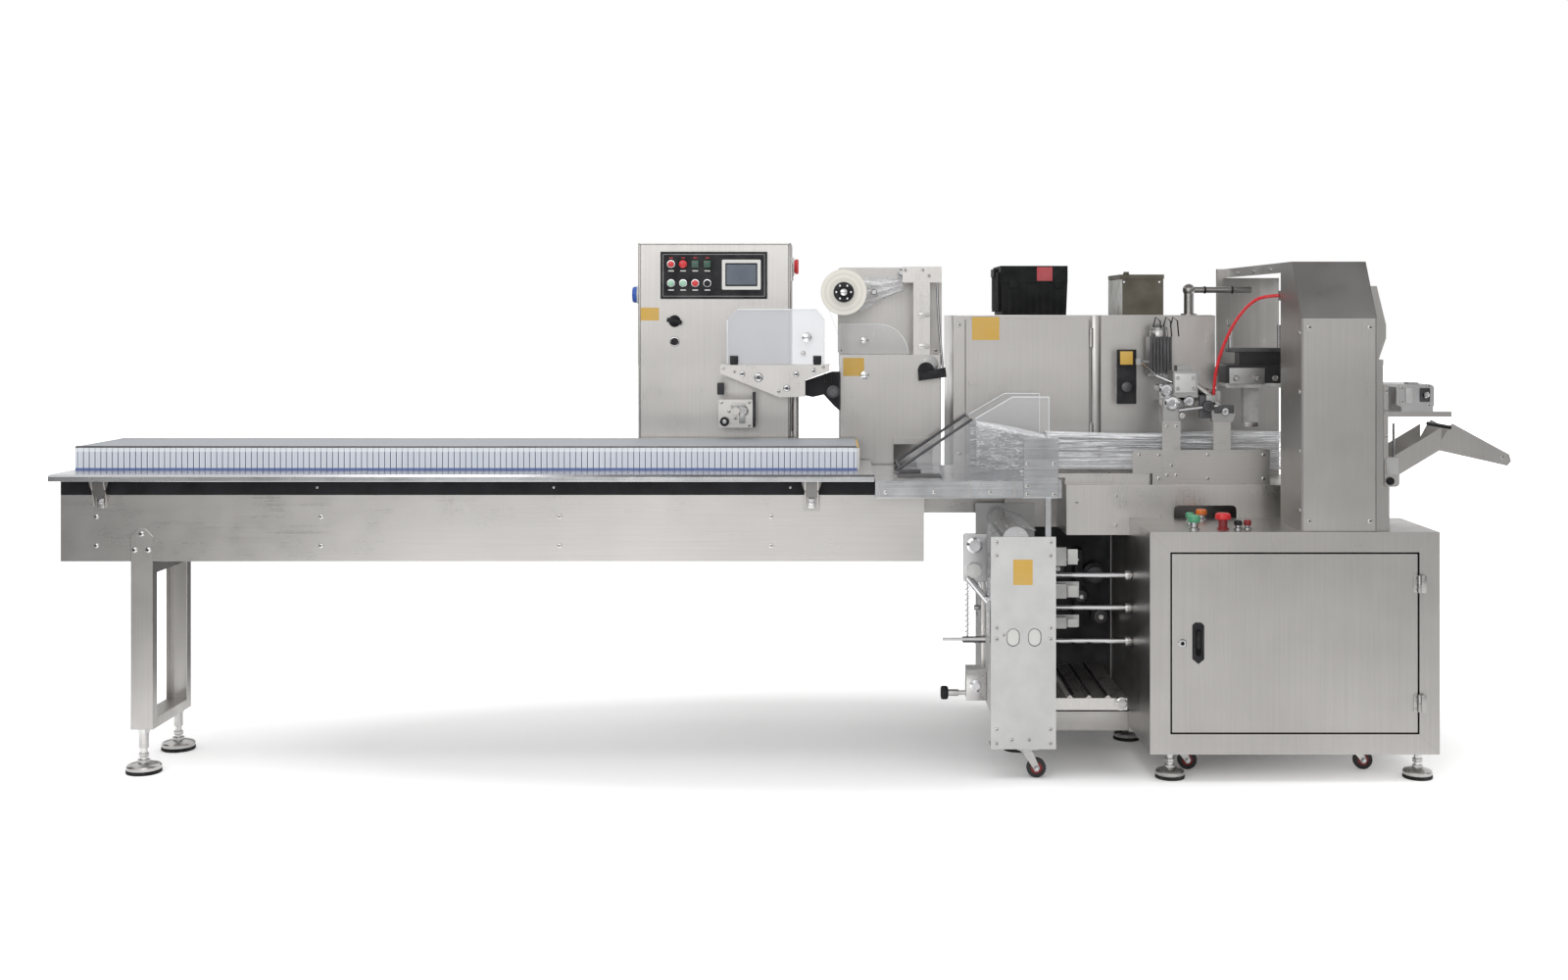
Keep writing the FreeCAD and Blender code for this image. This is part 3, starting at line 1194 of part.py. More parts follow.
# ---- outfeed ----
def outfeed_frame():
    """Windowed frame plate, two bars, and the rising trough that carries the chute."""
    x0, x1 = OUT_FRAME_X, OUT_FRAME_X + OUT_FRAME_THICKNESS
    y0, y1 = OUT_FRONT + TABLE_SHEET, OUT_BACK
    plate = box(x0, x1, y0, y1, BASE_TOP, 1125)
    window = box(x0 - 1, x1 + 1, FILM_FRONT - 8, FILM_FRONT + FILM_WIDTH + 8, 842, 1004)
    bars = [
        box(x1, 4158, y, y + 12, 1025, 1041) for y in (y0, y1 - 12)
    ]
    side = ((x1, 828), (x1, 894), (4127, 992), (4127, 926))
    floor = ((x1, 828), (x1, 831), (4108, 918), (4108, 915))
    trough = [prism_xz(side, y0, y0 + OUT_SHEET), prism_xz(side, y1 - OUT_SHEET, y1)]
    trough.append(prism_xz(floor, y0 + OUT_SHEET, y1 - OUT_SHEET))
    lug = rounded(box(3952, 3997, y0 - 4, y0, 811, 902), 12, Vector(0, 1, 0))
    return [union(plate.cut(window), *bars, *trough, lug)]


def outfeed_head():
    """Hold-down block over the outfeed, on the two bars."""
    outline = (
        (4003, 1041), (4102, 1041), (4102, 1056), (4105, 1062), (4105, 1116), (4097, 1124), (3996, 1124),
        (3988, 1116), (3988, 1062), (4003, 1056),
    )
    body = prism_xz(outline, OUT_FRONT + TABLE_SHEET, OUT_BACK)
    tab = box(4030, 4062, OUT_FRONT + 20, OUT_FRONT + 60, 1124, 1130)
    return [union(body, tab)]


def chute():
    """Tapered trough that sits inside the rising one: two side plates and a floor between them."""
    y0, y1 = OUT_FRONT + TABLE_SHEET + OUT_SHEET, OUT_BACK - OUT_SHEET
    sides = [prism_xz(CHUTE_OUTLINE, y, y + OUT_SHEET) for y in (y0, y1 - OUT_SHEET)]
    (xa, za), (xb, zb) = CHUTE_OUTLINE[0], CHUTE_OUTLINE[1]
    floor = prism_xz(((xa, za), (xb, zb), (xb, zb + OUT_SHEET), (xa, za + OUT_SHEET)), y0 + OUT_SHEET, y1 - OUT_SHEET)
    return [union(*sides, floor)]


# ---- air hose ----
def hose_path(route):
    """Straight runs joined by tangent arcs, with each arc as large as its two runs allow."""
    points = [Vector(*p) for p in route]
    edges = []
    start = points[0]
    for before, corner, after in zip(points, points[1:], points[2:]):
        a, b = before - corner, after - corner
        turn = math.pi - a.getAngle(b)
        trim = 0.45 * min(a.Length, b.Length)
        print(f"hose arc radius {trim / math.tan(turn / 2):.0f} mm")
        first = corner + a.normalize() * trim
        last = corner + b.normalize() * trim
        bisector = (a + b).normalize()
        apex = (trim / math.cos((math.pi - turn) / 2)) - trim * math.tan((math.pi - turn) / 2)
        middle = corner + bisector * apex
        edges.append(Part.makeLine(start, first))
        edges.append(Part.Arc(first, middle, last).toShape())
        start = last
    edges.append(Part.makeLine(start, points[-1]))
    return Part.Wire(edges)


def air_hose():
    path = hose_path(HOSE_ROUTE)
    first, second = Vector(*HOSE_ROUTE[0]), Vector(*HOSE_ROUTE[1])
    ring = Part.Wire(Part.makeCircle(HOSE_RADIUS, first, second - first))
    tube = path.makePipeShell([ring], True, False)
    print(f"hose length {path.Length:.0f} mm, volume ratio {tube.Volume / (path.Length * math.pi * HOSE_RADIUS ** 2):.3f}")
    return [tube]


NODES = {
    "infeed_bed": lambda: infeed_panels() + infeed_ties(), "table_rails": table_rails,
    "infeed_table": infeed_table, "table_brackets": table_brackets, "slat_walls": slat_walls,
    "infeed_cover": infeed_cover, "infeed_leg_frame": infeed_leg_frame, "levelling_feet": levelling_feet,
    "carrier_beam": carrier_beam, "control_box": control_box, "control_panel": control_panel,
    "box_controls": box_controls, "guide_unit": guide_unit, "guide_drive": guide_drive, "guide_cover": guide_cover,
    "stand_box": stand_box, "stand_plate": stand_plate, "film_reel": film_reel, "stand_rail": stand_rail,
    "stand_roller": stand_roller, "stand_guard": stand_guard, "stand_lever": stand_lever,
    "forming_table": forming_table, "former_box": former_box, "former_bars": former_bars, "film_tube": film_tube,
    "lower_unit_frame": lower_unit_frame, "guide_rods": guide_rods, "film_tray": film_tray,
    "lower_roller_top": lambda: [lower_roller(TOP_ROLLER, TOP_ROLLER_RADIUS)],
    "lower_roller_mid": lambda: [lower_roller(MID_ROLLER, MID_ROLLER_RADIUS, MID_FLANGE_RADIUS)],
    "cabinet_shell": lambda: cabinet_sides() + cabinet_decks(), "cabinet_frame": cabinet_frame,
    "cabinet_door": cabinet_door, "door_fittings": door_fittings, "top_buttons": top_buttons,
    "main_base": main_base, "bay_frame": bay_frame, "rear_housing": rear_housing, "tool_case": tool_case,
    "junction_box": junction_box, "conduit": conduit, "sealing_deck": sealing_deck, "seal_plates": seal_plates,
    "seal_head": seal_head, "seal_cover": seal_cover, "seal_sides": seal_sides, "seal_roof": lambda: seal_top() + seal_rear_wall(),
    "jaw_head": jaw_head, "outfeed_frame": outfeed_frame,
    "outfeed_head": outfeed_head, "chute": chute, "air_hose": air_hose,
}
for caster, caster_x, caster_y, caster_face in CASTERS:
    NODES[f"caster_fork_{caster}"] = lambda x=caster_x, y=caster_y, f=caster_face: [caster_fork(x, y, f)]
    NODES[f"caster_wheel_{caster}"] = lambda x=caster_x, y=caster_y: [caster_wheel(x, y)]

# The origin: the middle of the machine's length and depth, on the floor.
CENTRE = Vector(
    CHUTE_OUTLINE[2][0] / 2,
    (MACHINE_DEPTH + DOOR_AXIS[1] - HINGE_PIN_RADIUS) / 2,
    0,
)


def main():
    os.makedirs("parts", exist_ok=True)
    for name, make in NODES.items():
        solids = [s for piece in make() for s in piece.Solids]
        shape = solids[0] if len(solids) == 1 else Part.makeCompound(solids)
        shape.translate(-CENTRE)
        if not shape.isValid():
            raise ValueError(f"{name} is not a valid shape")
        shape.exportStep(f"parts/{name}.step")


if __name__ == "__main__":
    main()
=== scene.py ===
"""Looks of a horizontal flow wrapper: materials, small parts, films, hose, stage and camera.

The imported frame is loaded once, at the top. Each operator dresses one group of the machine,
and the panel in the 3D
view's sidebar shows the sizes that they share. Lengths in the code are metres unless a name ends in _mm.
"""

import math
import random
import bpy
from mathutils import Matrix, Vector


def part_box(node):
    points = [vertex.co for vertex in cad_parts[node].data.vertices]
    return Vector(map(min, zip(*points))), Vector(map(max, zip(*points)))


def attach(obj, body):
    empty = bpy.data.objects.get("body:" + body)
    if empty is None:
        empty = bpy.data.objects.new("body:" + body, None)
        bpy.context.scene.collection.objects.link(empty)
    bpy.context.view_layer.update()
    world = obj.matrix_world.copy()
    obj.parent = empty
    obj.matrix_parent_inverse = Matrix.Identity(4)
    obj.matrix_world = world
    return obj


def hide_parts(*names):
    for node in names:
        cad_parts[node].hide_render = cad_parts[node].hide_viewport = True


bl_info = {
    "name": "Flow wrapper looks",
    "version": (1, 0, 0),
    "blender": (4, 5, 0),
    "location": "View3D > Sidebar > Flow wrapper",
    "description": "Finishes the packed horizontal flow wrapper with looks, fasteners and films",
    "category": "Object",
}

import bmesh
import bpy
from mathutils import Matrix, Vector

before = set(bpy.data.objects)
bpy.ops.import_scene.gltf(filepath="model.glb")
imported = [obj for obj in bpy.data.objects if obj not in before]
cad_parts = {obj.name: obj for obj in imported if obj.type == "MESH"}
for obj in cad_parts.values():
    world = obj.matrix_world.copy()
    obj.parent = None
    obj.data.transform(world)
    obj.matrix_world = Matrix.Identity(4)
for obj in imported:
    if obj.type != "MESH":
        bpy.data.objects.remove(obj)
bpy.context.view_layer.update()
MM = 0.001
BASE = "base"
FRONT = (0, -1, 0)
BACK = (0, 1, 0)
UP = (0, 0, 1)
RIGHT = (1, 0, 0)
LEFT = (-1, 0, 0)
MATERIALS = {}


# ---- places on the frame ----
def low(node):
    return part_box(node)[0]


def high(node):
    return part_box(node)[1]


def places(corner, offsets):
    """Points at dx and dz in mm from a corner, at its depth."""
    return [Vector((corner.x + dx * MM, corner.y, corner.z + dz * MM)) for dx, dz in offsets]


# ---- shader helpers ----
def add_node(tree, kind, **values):
    """A shader or geometry node; values name its inputs (spaces as _) and are numbers, colours or sockets."""
    made = tree.nodes.new(kind)
    for key, value in values.items():
        if key.startswith("set_"):
            setattr(made, key[4:], value)
            continue
        wanted = key.replace("_", " ").lower()
        found = [s for s in made.inputs if s.name.lower() == wanted and s.enabled]
        socket = found[0] if found else made.inputs[int(key[1:])]
        if isinstance(value, bpy.types.NodeSocket):
            tree.links.new(value, socket)
        else:
            socket.default_value = value
    return made


class Look:
    """A material under construction, with object coordinates at hand."""

    def __init__(self, name, **principled):
        self.material = bpy.data.materials.new(name)
        self.material.use_nodes = True
        self.tree = self.material.node_tree
        self.tree.nodes.clear()
        self.out = self.tree.nodes.new("ShaderNodeOutputMaterial")
        self.bsdf = add_node(self.tree, "ShaderNodeBsdfPrincipled", **principled)
        self.tree.links.new(self.bsdf.outputs[0], self.out.inputs["Surface"])
        self.coords = self.tree.nodes.new("ShaderNodeTexCoord").outputs["Object"]

    def noise(self, scale, stretch=(1, 1, 1), detail=3.0, rough=0.5):
        place = add_node(self.tree, "ShaderNodeMapping", Vector=self.coords, Scale=stretch)
        made = add_node(self.tree, "ShaderNodeTexNoise", Vector=place.outputs[0], Scale=scale,
            Detail=detail, Roughness=rough)
        return made.outputs["Fac"]

    def axis(self, index):
        return add_node(self.tree, "ShaderNodeSeparateXYZ", Vector=self.coords).outputs[index]

    def math(self, operation, a, b=0.0, c=0.0):
        made = self.tree.nodes.new("ShaderNodeMath")
        made.operation = operation
        for socket, value in zip(made.inputs, (a, b, c)):
            if isinstance(value, bpy.types.NodeSocket):
                self.tree.links.new(value, socket)
            else:
                socket.default_value = value
        return made.outputs[0]

    def span(self, value, from_low, from_high, to_low, to_high):
        made = add_node(self.tree, "ShaderNodeMapRange", Value=value)
        for key, number in (("From Min", from_low), ("From Max", from_high), ("To Min", to_low),
                ("To Max", to_high)):
            made.inputs[key].default_value = number
        return made.outputs[0]

    def mix(self, factor, a, b):
        made = self.tree.nodes.new("ShaderNodeMix")
        made.data_type = "RGBA"
        for index, value in ((0, factor), (6, a), (7, b)):
            if isinstance(value, bpy.types.NodeSocket):
                self.tree.links.new(value, made.inputs[index])
            else:
                made.inputs[index].default_value = (*value, 1.0) if index else value
        return made.outputs[2]

    def bump(self, height, strength, distance):
        made = add_node(self.tree, "ShaderNodeBump", Height=height, Strength=strength, Distance=distance)
        self.tree.links.new(made.outputs[0], self.bsdf.inputs["Normal"])

    def set(self, name, value):
        self.tree.links.new(value, self.bsdf.inputs[name])

    def done(self):
        return self.material


def scaled(color, factor):
    return tuple(min(1.0, c * factor) for c in color)


def brushed(name, color, rough=0.34, stretch=(3, 260, 260), cloud=0.10, scratch=0.35):
    """Brushed sheet metal: fine lines along one axis, clouds of tone and smudges in the gloss."""
    look = Look(name, Metallic=1.0)
    clouds = look.noise(1.6, (1, 1, 1.4), 4.0)
    smudge = look.noise(9.0, (1, 1, 1), 5.0, 0.6)
    lines = look.noise(1.0, stretch, 2.0, 0.7)
    tone = look.mix(look.span(clouds, 0.3, 0.7, 0.0, 1.0), scaled(color, 1 - cloud),
        scaled(color, 1 + cloud))
    fine = look.mix(look.span(lines, 0.3, 0.7, 0.0, 0.22), (1, 1, 1), (0.72, 0.72, 0.72))
    product = look.tree.nodes.new("ShaderNodeMix")
    product.data_type = "RGBA"
    product.blend_type = "MULTIPLY"
    product.inputs[0].default_value = 1.0
    look.tree.links.new(tone, product.inputs[6])
    look.tree.links.new(fine, product.inputs[7])
    look.set("Base Color", product.outputs[2])
    spread = look.math("ADD", look.span(smudge, 0.3, 0.7, -0.05, 0.06),
        look.span(lines, 0.3, 0.7, -0.04, 0.05))
    look.set("Roughness", look.math("ADD", spread, rough))
    look.bump(lines, scratch, 0.0002)
    return look.done()


def cast(name, color, rough=0.45, grain=420.0, metallic=1.0, cloud=0.12, strength=0.3):
    """Machined, plated or cast metal, and painted metal with metallic 0."""
    look = Look(name, Metallic=metallic)
    if max(color) < 0.2:
        look.bsdf.inputs["Specular IOR Level"].default_value = 0.1
    clouds = look.noise(14.0, detail=4.0)
    fine = look.noise(grain, detail=2.0)
    look.set("Base Color", look.mix(look.span(clouds, 0.3, 0.7, 0, 1), scaled(color, 1 - cloud),
        scaled(color, 1 + cloud)))
    look.set("Roughness", look.span(look.noise(30.0, detail=4.0), 0.3, 0.7, rough - 0.07, rough + 0.08))
    look.bump(fine, strength, 0.0001)
    return look.done()


def plastic(name, color, rough=0.4, grain=900.0, dust=0.06, strength=0.2):
    look = Look(name)
    if max(color) < 0.05:
        look.bsdf.inputs["Specular IOR Level"].default_value = 0.1
    clouds = look.noise(22.0, detail=4.0)
    pale = tuple(c + (0.5 - c) * dust for c in color)
    look.set("Base Color", look.mix(look.span(clouds, 0.35, 0.75, 0, 1), color, pale))
    look.set("Roughness", look.span(look.noise(40.0), 0.3, 0.7, rough - 0.06, rough + 0.08))
    look.bump(look.noise(grain, detail=2.0), strength, 0.0001)
    return look.done()


def clear(name, color, body=0.16, rim=0.75, rough=0.06, wrinkle=0.0, streak=(1, 1, 1), scale=10.0):
    """Clear sheet or film: mostly see-through, whiter at grazing angles, with optional creases."""
    look = Look(name, Roughness=rough)
    look.bsdf.inputs["IOR"].default_value = 1.45
    look.set("Base Color", look.mix(look.noise(5.0), color, scaled(color, 0.93)))
    facing = add_node(look.tree, "ShaderNodeLayerWeight", Blend=0.35).outputs["Facing"]
    opacity = look.span(facing, 0.0, 1.0, body, rim)
    if wrinkle:
        folds = look.noise(scale, streak, 5.0, 0.62)
        crease = look.span(look.math("ABSOLUTE", look.math("SUBTRACT", folds, 0.5)), 0.0, 0.028, wrinkle,
            0.0)
        veil = look.span(look.noise(scale * 0.45, streak, 3.0), 0.45, 0.72, 0.0, wrinkle * 0.30)
        opacity = look.math("ADD", opacity, look.math("ADD", crease, veil))
        look.bump(folds, 0.55, 0.004)
    else:
        look.bump(look.noise(60.0, detail=3.0), 0.05, 0.0005)
    look.set("Alpha", look.math("MINIMUM", opacity, 0.97))
    return look.done()


def slats(name, start, pitch, base_z, top_z):
    """Pale slats with a dark blue line in every gap, a blue foot line and a light head strip."""
    look = Look(name, Roughness=0.42)
    phase = look.math("FRACT", look.math("DIVIDE", look.math("SUBTRACT", look.axis(0), start), pitch))
    gap = look.math("GREATER_THAN", phase, 0.84)
    edge = look.math("LESS_THAN", phase, 0.08)
    foot = look.math("LESS_THAN", look.axis(2), base_z + 0.006)
    body = look.mix(look.noise(7.0, (1, 1, 0.4)), (0.56, 0.60, 0.67), (0.68, 0.71, 0.77))
    body = look.mix(edge, body, (0.86, 0.89, 0.94))
    body = look.mix(gap, body, (0.09, 0.11, 0.20))
    body = look.mix(foot, body, (0.12, 0.17, 0.38))
    head = look.math("GREATER_THAN", look.axis(2), top_z - 0.012)
    body = look.mix(look.math("MULTIPLY", head, 0.75), body, (0.80, 0.83, 0.87))
    look.set("Base Color", body)
    look.bump(look.noise(300.0), 0.15, 0.0002)
    return look.done()


def two_tone(name, below, above, level, metallic, rough_below, rough_above, thread=0.0):
    """Rubber below a level, plated steel above it, with an optional fine thread."""
    look = Look(name)
    upper = look.math("GREATER_THAN", look.axis(2), level)
    clouds = look.span(look.noise(30.0, detail=4.0), 0.3, 0.7, 0, 1)
    dark = look.mix(clouds, scaled(below, 0.8), scaled(below, 1.3))
    bright = look.mix(clouds, scaled(above, 0.85), scaled(above, 1.1))
    look.set("Base Color", look.mix(upper, dark, bright))
    look.set("Metallic", look.math("MULTIPLY", upper, metallic))
    look.set("Roughness", look.span(upper, 0, 1, rough_below, rough_above))
    if thread:
        wave = look.math("SINE", look.math("MULTIPLY", look.axis(2), 2 * math.pi / thread))
        look.bump(wave, 0.5, 0.0005)
    else:
        look.bump(look.noise(400.0), 0.25, 0.0002)
    return look.done()


def reel_look(name, center, core_radius):
    """Wound film: cream edge with fine rings, slightly glossy outside."""
    look = Look(name, Roughness=0.35)
    dx = look.math("SUBTRACT", look.axis(0), center[0])
    dz = look.math("SUBTRACT", look.axis(2), center[1])
    radius = look.math("SQRT", look.math("ADD", look.math("MULTIPLY", dx, dx),
        look.math("MULTIPLY", dz, dz)))
    rings = look.math("SINE", look.math("MULTIPLY", radius, 2600.0))
    wide = look.math("SINE", look.math("MULTIPLY", radius, 410.0))
    tone = look.span(look.math("ADD", rings, look.math("MULTIPLY", wide, 1.5)), -2.5, 2.5, 0.0, 1.0)
    body = look.mix(tone, (0.60, 0.58, 0.52), (0.74, 0.72, 0.66))
    inner = look.math("LESS_THAN", radius, core_radius)
    look.set("Base Color", look.mix(inner, body, (0.03, 0.03, 0.032)))
    look.bump(rings, 0.2, 0.0002)
    return look.done()


# ---- mesh helpers ----
class Kit:
    """Closed shells gathered into one mesh; materials are given by their short names."""

    def __init__(self):
        self.bm = bmesh.new()
        self.materials = []

    def _dress(self, faces, material):
        if material not in self.materials:
            self.materials.append(material)
        index = self.materials.index(material)
        for face in faces:
            face.material_index = index

    def box(self, a, b, material, bevel=0.001, turn=None, segments=2):
        """A block between two corners, its edges rounded, turned about its own middle if turn is a matrix."""
        lo = Vector([min(p, q) for p, q in zip(a, b)])
        hi = Vector([max(p, q) for p, q in zip(a, b)])
        middle = (lo + hi) / 2
        made = bmesh.ops.create_cube(self.bm, size=1.0)["verts"]
        for vert in made:
            vert.co = Vector([c * s for c, s in zip(vert.co, hi - lo)])
        faces = list({f for v in made for f in v.link_faces})
        width = min(bevel, 0.45 * min(hi - lo))
        if width > 0:
            edges = list({e for v in made for e in v.link_edges})
            cut = bmesh.ops.bevel(self.bm, geom=edges, offset=width, segments=segments, affect="EDGES",
                profile=0.6)
            faces = list({f for v in cut["verts"] for f in v.link_faces} | {f for f in faces if f.is_valid})
        verts = list({v for f in faces for v in f.verts})
        for vert in verts:
            vert.co = (turn @ vert.co if turn else vert.co) + middle
        self._dress(faces, material)

    def lathe(self, profile, origin, material, segments=32, axis=FRONT):
        """A solid turned from (radius, height) points in mm; its ends are closed flat."""
        turn = Vector((0, 0, 1)).rotation_difference(Vector(axis)).to_matrix()
        rings = []
        for radius, height in profile:
            ring = []
            for k in range(segments):
                angle = 2 * math.pi * k / segments
                point = Vector((radius * math.cos(angle), radius * math.sin(angle), height)) * MM
                ring.append(self.bm.verts.new(turn @ point + Vector(origin)))
            rings.append(ring)
        faces = []
        for lower, upper in zip(rings, rings[1:]):
            for k in range(segments):
                n = (k + 1) % segments
                faces.append(self.bm.faces.new((lower[k], lower[n], upper[n], upper[k])))
        faces.append(self.bm.faces.new(list(reversed(rings[0]))))
        faces.append(self.bm.faces.new(rings[-1]))
        self._dress(faces, material)

    def tube(self, points, radius, material, segments=14):
        """A round bar through points."""
        points = [Vector(p) for p in points]
        rings = []
        side = Vector((0, 0, 1)) if abs((points[1] - points[0]).normalized().z) < 0.9 else Vector((1, 0, 0))
        for k, point in enumerate(points):
            ahead = (points[min(k + 1, len(points) - 1)] - points[max(k - 1, 0)]).normalized()
            across = ahead.cross(side).normalized()
            side = across.cross(ahead).normalized()
            ring = [
                self.bm.verts.new(point + radius * (math.cos(t) * across + math.sin(t) * side))
                for t in (2 * math.pi * j / segments for j in range(segments))
            ]
            rings.append(ring)
        faces = []
        for lower, upper in zip(rings, rings[1:]):
            for k in range(segments):
                n = (k + 1) % segments
                faces.append(self.bm.faces.new((lower[k], lower[n], upper[n], upper[k])))
        faces.append(self.bm.faces.new(list(reversed(rings[0]))))
        faces.append(self.bm.faces.new(rings[-1]))
        self._dress(faces, material)

    def plate(self, outline, origin, thickness, material, bevel=0.0005):
        """A flat plate from an outline in x and z; its thickness points to the front."""
        verts = [self.bm.verts.new(Vector(origin) + Vector((u, 0, v))) for u, v in outline]
        face = self.bm.faces.new(verts)
        made = bmesh.ops.extrude_face_region(self.bm, geom=[face])["geom"]
        moved = [g for g in made if isinstance(g, bmesh.types.BMVert)]
        for vert in moved:
            vert.co += Vector(FRONT) * thickness
        faces = list({f for v in verts + moved for f in v.link_faces})
        if bevel:
            top = [f for f in faces if all(v in moved for v in f.verts)]
            rim = list({e for f in top for e in f.edges})
            cut = bmesh.ops.bevel(self.bm, geom=rim, offset=bevel, segments=2, affect="EDGES")
            faces = list({f for v in cut["verts"] for f in v.link_faces} | {f for f in faces if f.is_valid})
        self._dress(faces, material)

    def piece(self, name, body=BASE, replaces=(), smooth=35.0):
        bmesh.ops.recalc_face_normals(self.bm, faces=self.bm.faces[:])
        mesh = bpy.data.meshes.new(name)
        self.bm.to_mesh(mesh)
        self.bm.free()
        for material in self.materials:
            mesh.materials.append(MATERIALS[material])
        mesh.polygons.foreach_set("use_smooth", [True] * len(mesh.polygons))
        mesh.set_sharp_from_angle(angle=math.radians(smooth))
        made = bpy.data.objects.new(name, mesh)
        bpy.context.scene.collection.objects.link(made)
        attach(made, body)
        if replaces:
            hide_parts(*replaces)
        return made


def oval(width, height, steps=10):
    """Outline of an upright slot shape, centred on the origin."""
    radius, straight = width / 2, (height - width) / 2
    points = []
    for side, start in ((1, 0.0), (-1, math.pi)):
        for k in range(steps + 1):
            angle = start + math.pi * k / steps
            points.append((radius * math.cos(angle), side * straight + radius * math.sin(angle)))
    return points


def rounded_outline(width, height, radius, steps=5):
    points = []
    for cx, cy, start in ((1, 1, 0.0), (-1, 1, 0.5), (-1, -1, 1.0), (1, -1, 1.5)):
        for k in range(steps + 1):
            angle = math.pi * (start + 0.5 * k / steps)
            points.append((cx * (width / 2 - radius) + radius * math.cos(angle),
                           cy * (height / 2 - radius) + radius * math.sin(angle)))
    return points


def film_sheet(name, rows, material, body=BASE, subdivisions=2, thickness=0.0004, ripple=0.0, seed=3):
    """A thin closed sheet through rows of points, with a little ripple, given thickness."""
    bm = bmesh.new()
    grid = [[bm.verts.new(Vector(p)) for p in row] for row in rows]
    for lower, upper in zip(grid, grid[1:]):
        for k in range(len(lower) - 1):
            bm.faces.new((lower[k], lower[k + 1], upper[k + 1], upper[k]))
    for _ in range(subdivisions):
        bmesh.ops.subdivide_edges(bm, edges=bm.edges[:], cuts=1, use_grid_fill=True)
        bmesh.ops.smooth_vert(bm, verts=[v for v in bm.verts if not v.is_boundary], factor=0.5,
                              use_axis_x=True, use_axis_y=True, use_axis_z=True)
    bm.normal_update()
    rng = random.Random(seed)
    waves = [(rng.uniform(20, 60), rng.uniform(20, 60), rng.uniform(0, 6)) for _ in range(4)]
    for vert in bm.verts:
        push = sum(math.sin(a * vert.co.y + b * vert.co.z + c) for a, b, c in waves) / 4
        vert.co += vert.normal * push * ripple
    skin = bmesh.ops.extrude_face_region(bm, geom=bm.faces[:])
    bm.normal_update()
    for vert in (g for g in skin["geom"] if isinstance(g, bmesh.types.BMVert)):
        vert.co += vert.normal * thickness
    bmesh.ops.recalc_face_normals(bm, faces=bm.faces[:])
    mesh = bpy.data.meshes.new(name)
    bm.to_mesh(mesh)
    bm.free()
    mesh.materials.append(MATERIALS[material])
    mesh.polygons.foreach_set("use_smooth", [True] * len(mesh.polygons))
    made = bpy.data.objects.new(name, mesh)
    bpy.context.scene.collection.objects.link(made)
    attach(made, body)
    return made


# ---- fasteners, by Geometry Nodes ----
def fastener_group():
    """Geometry Nodes group: a washer-faced socket screw on every point, turned to the point's facing vector."""
    group = bpy.data.node_groups.new("fasteners", "GeometryNodeTree")
    face = group.interface
    face.new_socket("Geometry", in_out="INPUT", socket_type="NodeSocketGeometry")
    for name, kind, default in (
        ("Radius", "NodeSocketFloat", 0.006), ("Height", "NodeSocketFloat", 0.004),
        ("Seed", "NodeSocketInt", 7),
        ("Metal", "NodeSocketMaterial", None), ("Recess", "NodeSocketMaterial", None),
    ):
        socket = face.new_socket(name, in_out="INPUT", socket_type=kind)
        if default is not None:
            socket.default_value = default
    face.new_socket("Geometry", in_out="OUTPUT", socket_type="NodeSocketGeometry")
    given = group.nodes.new("NodeGroupInput").outputs
    out = group.nodes.new("NodeGroupOutput")

    def times(a, b):
        made = group.nodes.new("ShaderNodeMath")
        made.operation = "MULTIPLY"
        for socket, value in zip(made.inputs, (a, b)):
            if isinstance(value, bpy.types.NodeSocket):
                group.links.new(value, socket)
            else:
                socket.default_value = value
        return made.outputs[0]

    def shell(bottom, top, height, rise, material, sides):
        """A frustum from radius bottom to top, lifted by rise, as factors of the group's radius and height."""
        cone = add_node(group, "GeometryNodeMeshCone", Vertices=sides)
        group.links.new(times(given["Radius"], top), cone.inputs["Radius Top"])
        group.links.new(times(given["Radius"], bottom), cone.inputs["Radius Bottom"])
        group.links.new(times(given["Height"], height), cone.inputs["Depth"])
        lift = group.nodes.new("ShaderNodeCombineXYZ")
        group.links.new(times(given["Height"], rise), lift.inputs["Z"])
        move = add_node(group, "GeometryNodeTransform", Geometry=cone.outputs["Mesh"],
            Translation=lift.outputs[0])
        return add_node(group, "GeometryNodeSetMaterial", Geometry=move.outputs[0],
            Material=material).outputs[0]

    join = group.nodes.new("GeometryNodeJoinGeometry")
    for part in (
        shell(1.25, 1.2, 0.22, 0.0, given["Metal"], 24),
        shell(1.0, 1.0, 0.55, 0.22, given["Metal"], 20),
        shell(1.0, 0.72, 0.23, 0.77, given["Metal"], 20),
        # The near-black hexagon on the head is painted shade in the screw's socket.
        shell(0.42, 0.42, 0.06, 0.97, given["Recess"], 6),
    ):
        group.links.new(part, join.inputs[0])
    facing = add_node(group, "GeometryNodeInputNamedAttribute", set_data_type="FLOAT_VECTOR", Name="facing")
    align = group.nodes.new("FunctionNodeAlignRotationToVector")
    align.axis = "Z"
    group.links.new(facing.outputs["Attribute"], align.inputs["Vector"])
    spin = group.nodes.new("FunctionNodeRandomValue")
    group.links.new(given["Seed"], spin.inputs["Seed"])
    angle = group.nodes.new("ShaderNodeCombineXYZ")
    group.links.new(times(spin.outputs[1], 6.28), angle.inputs["Z"])
    rotate = group.nodes.new("FunctionNodeRotateRotation")
    rotate.rotation_space = "LOCAL"
    group.links.new(align.outputs[0], rotate.inputs[0])
    group.links.new(angle.outputs[0], rotate.inputs[1])
    place = group.nodes.new("GeometryNodeInstanceOnPoints")
    group.links.new(given["Geometry"], place.inputs["Points"])
    group.links.new(join.outputs[0], place.inputs["Instance"])
    group.links.new(rotate.outputs[0], place.inputs["Rotation"])
    real = add_node(group, "GeometryNodeRealizeInstances", Geometry=place.outputs[0])
    group.links.new(real.outputs[0], out.inputs[0])
    return group


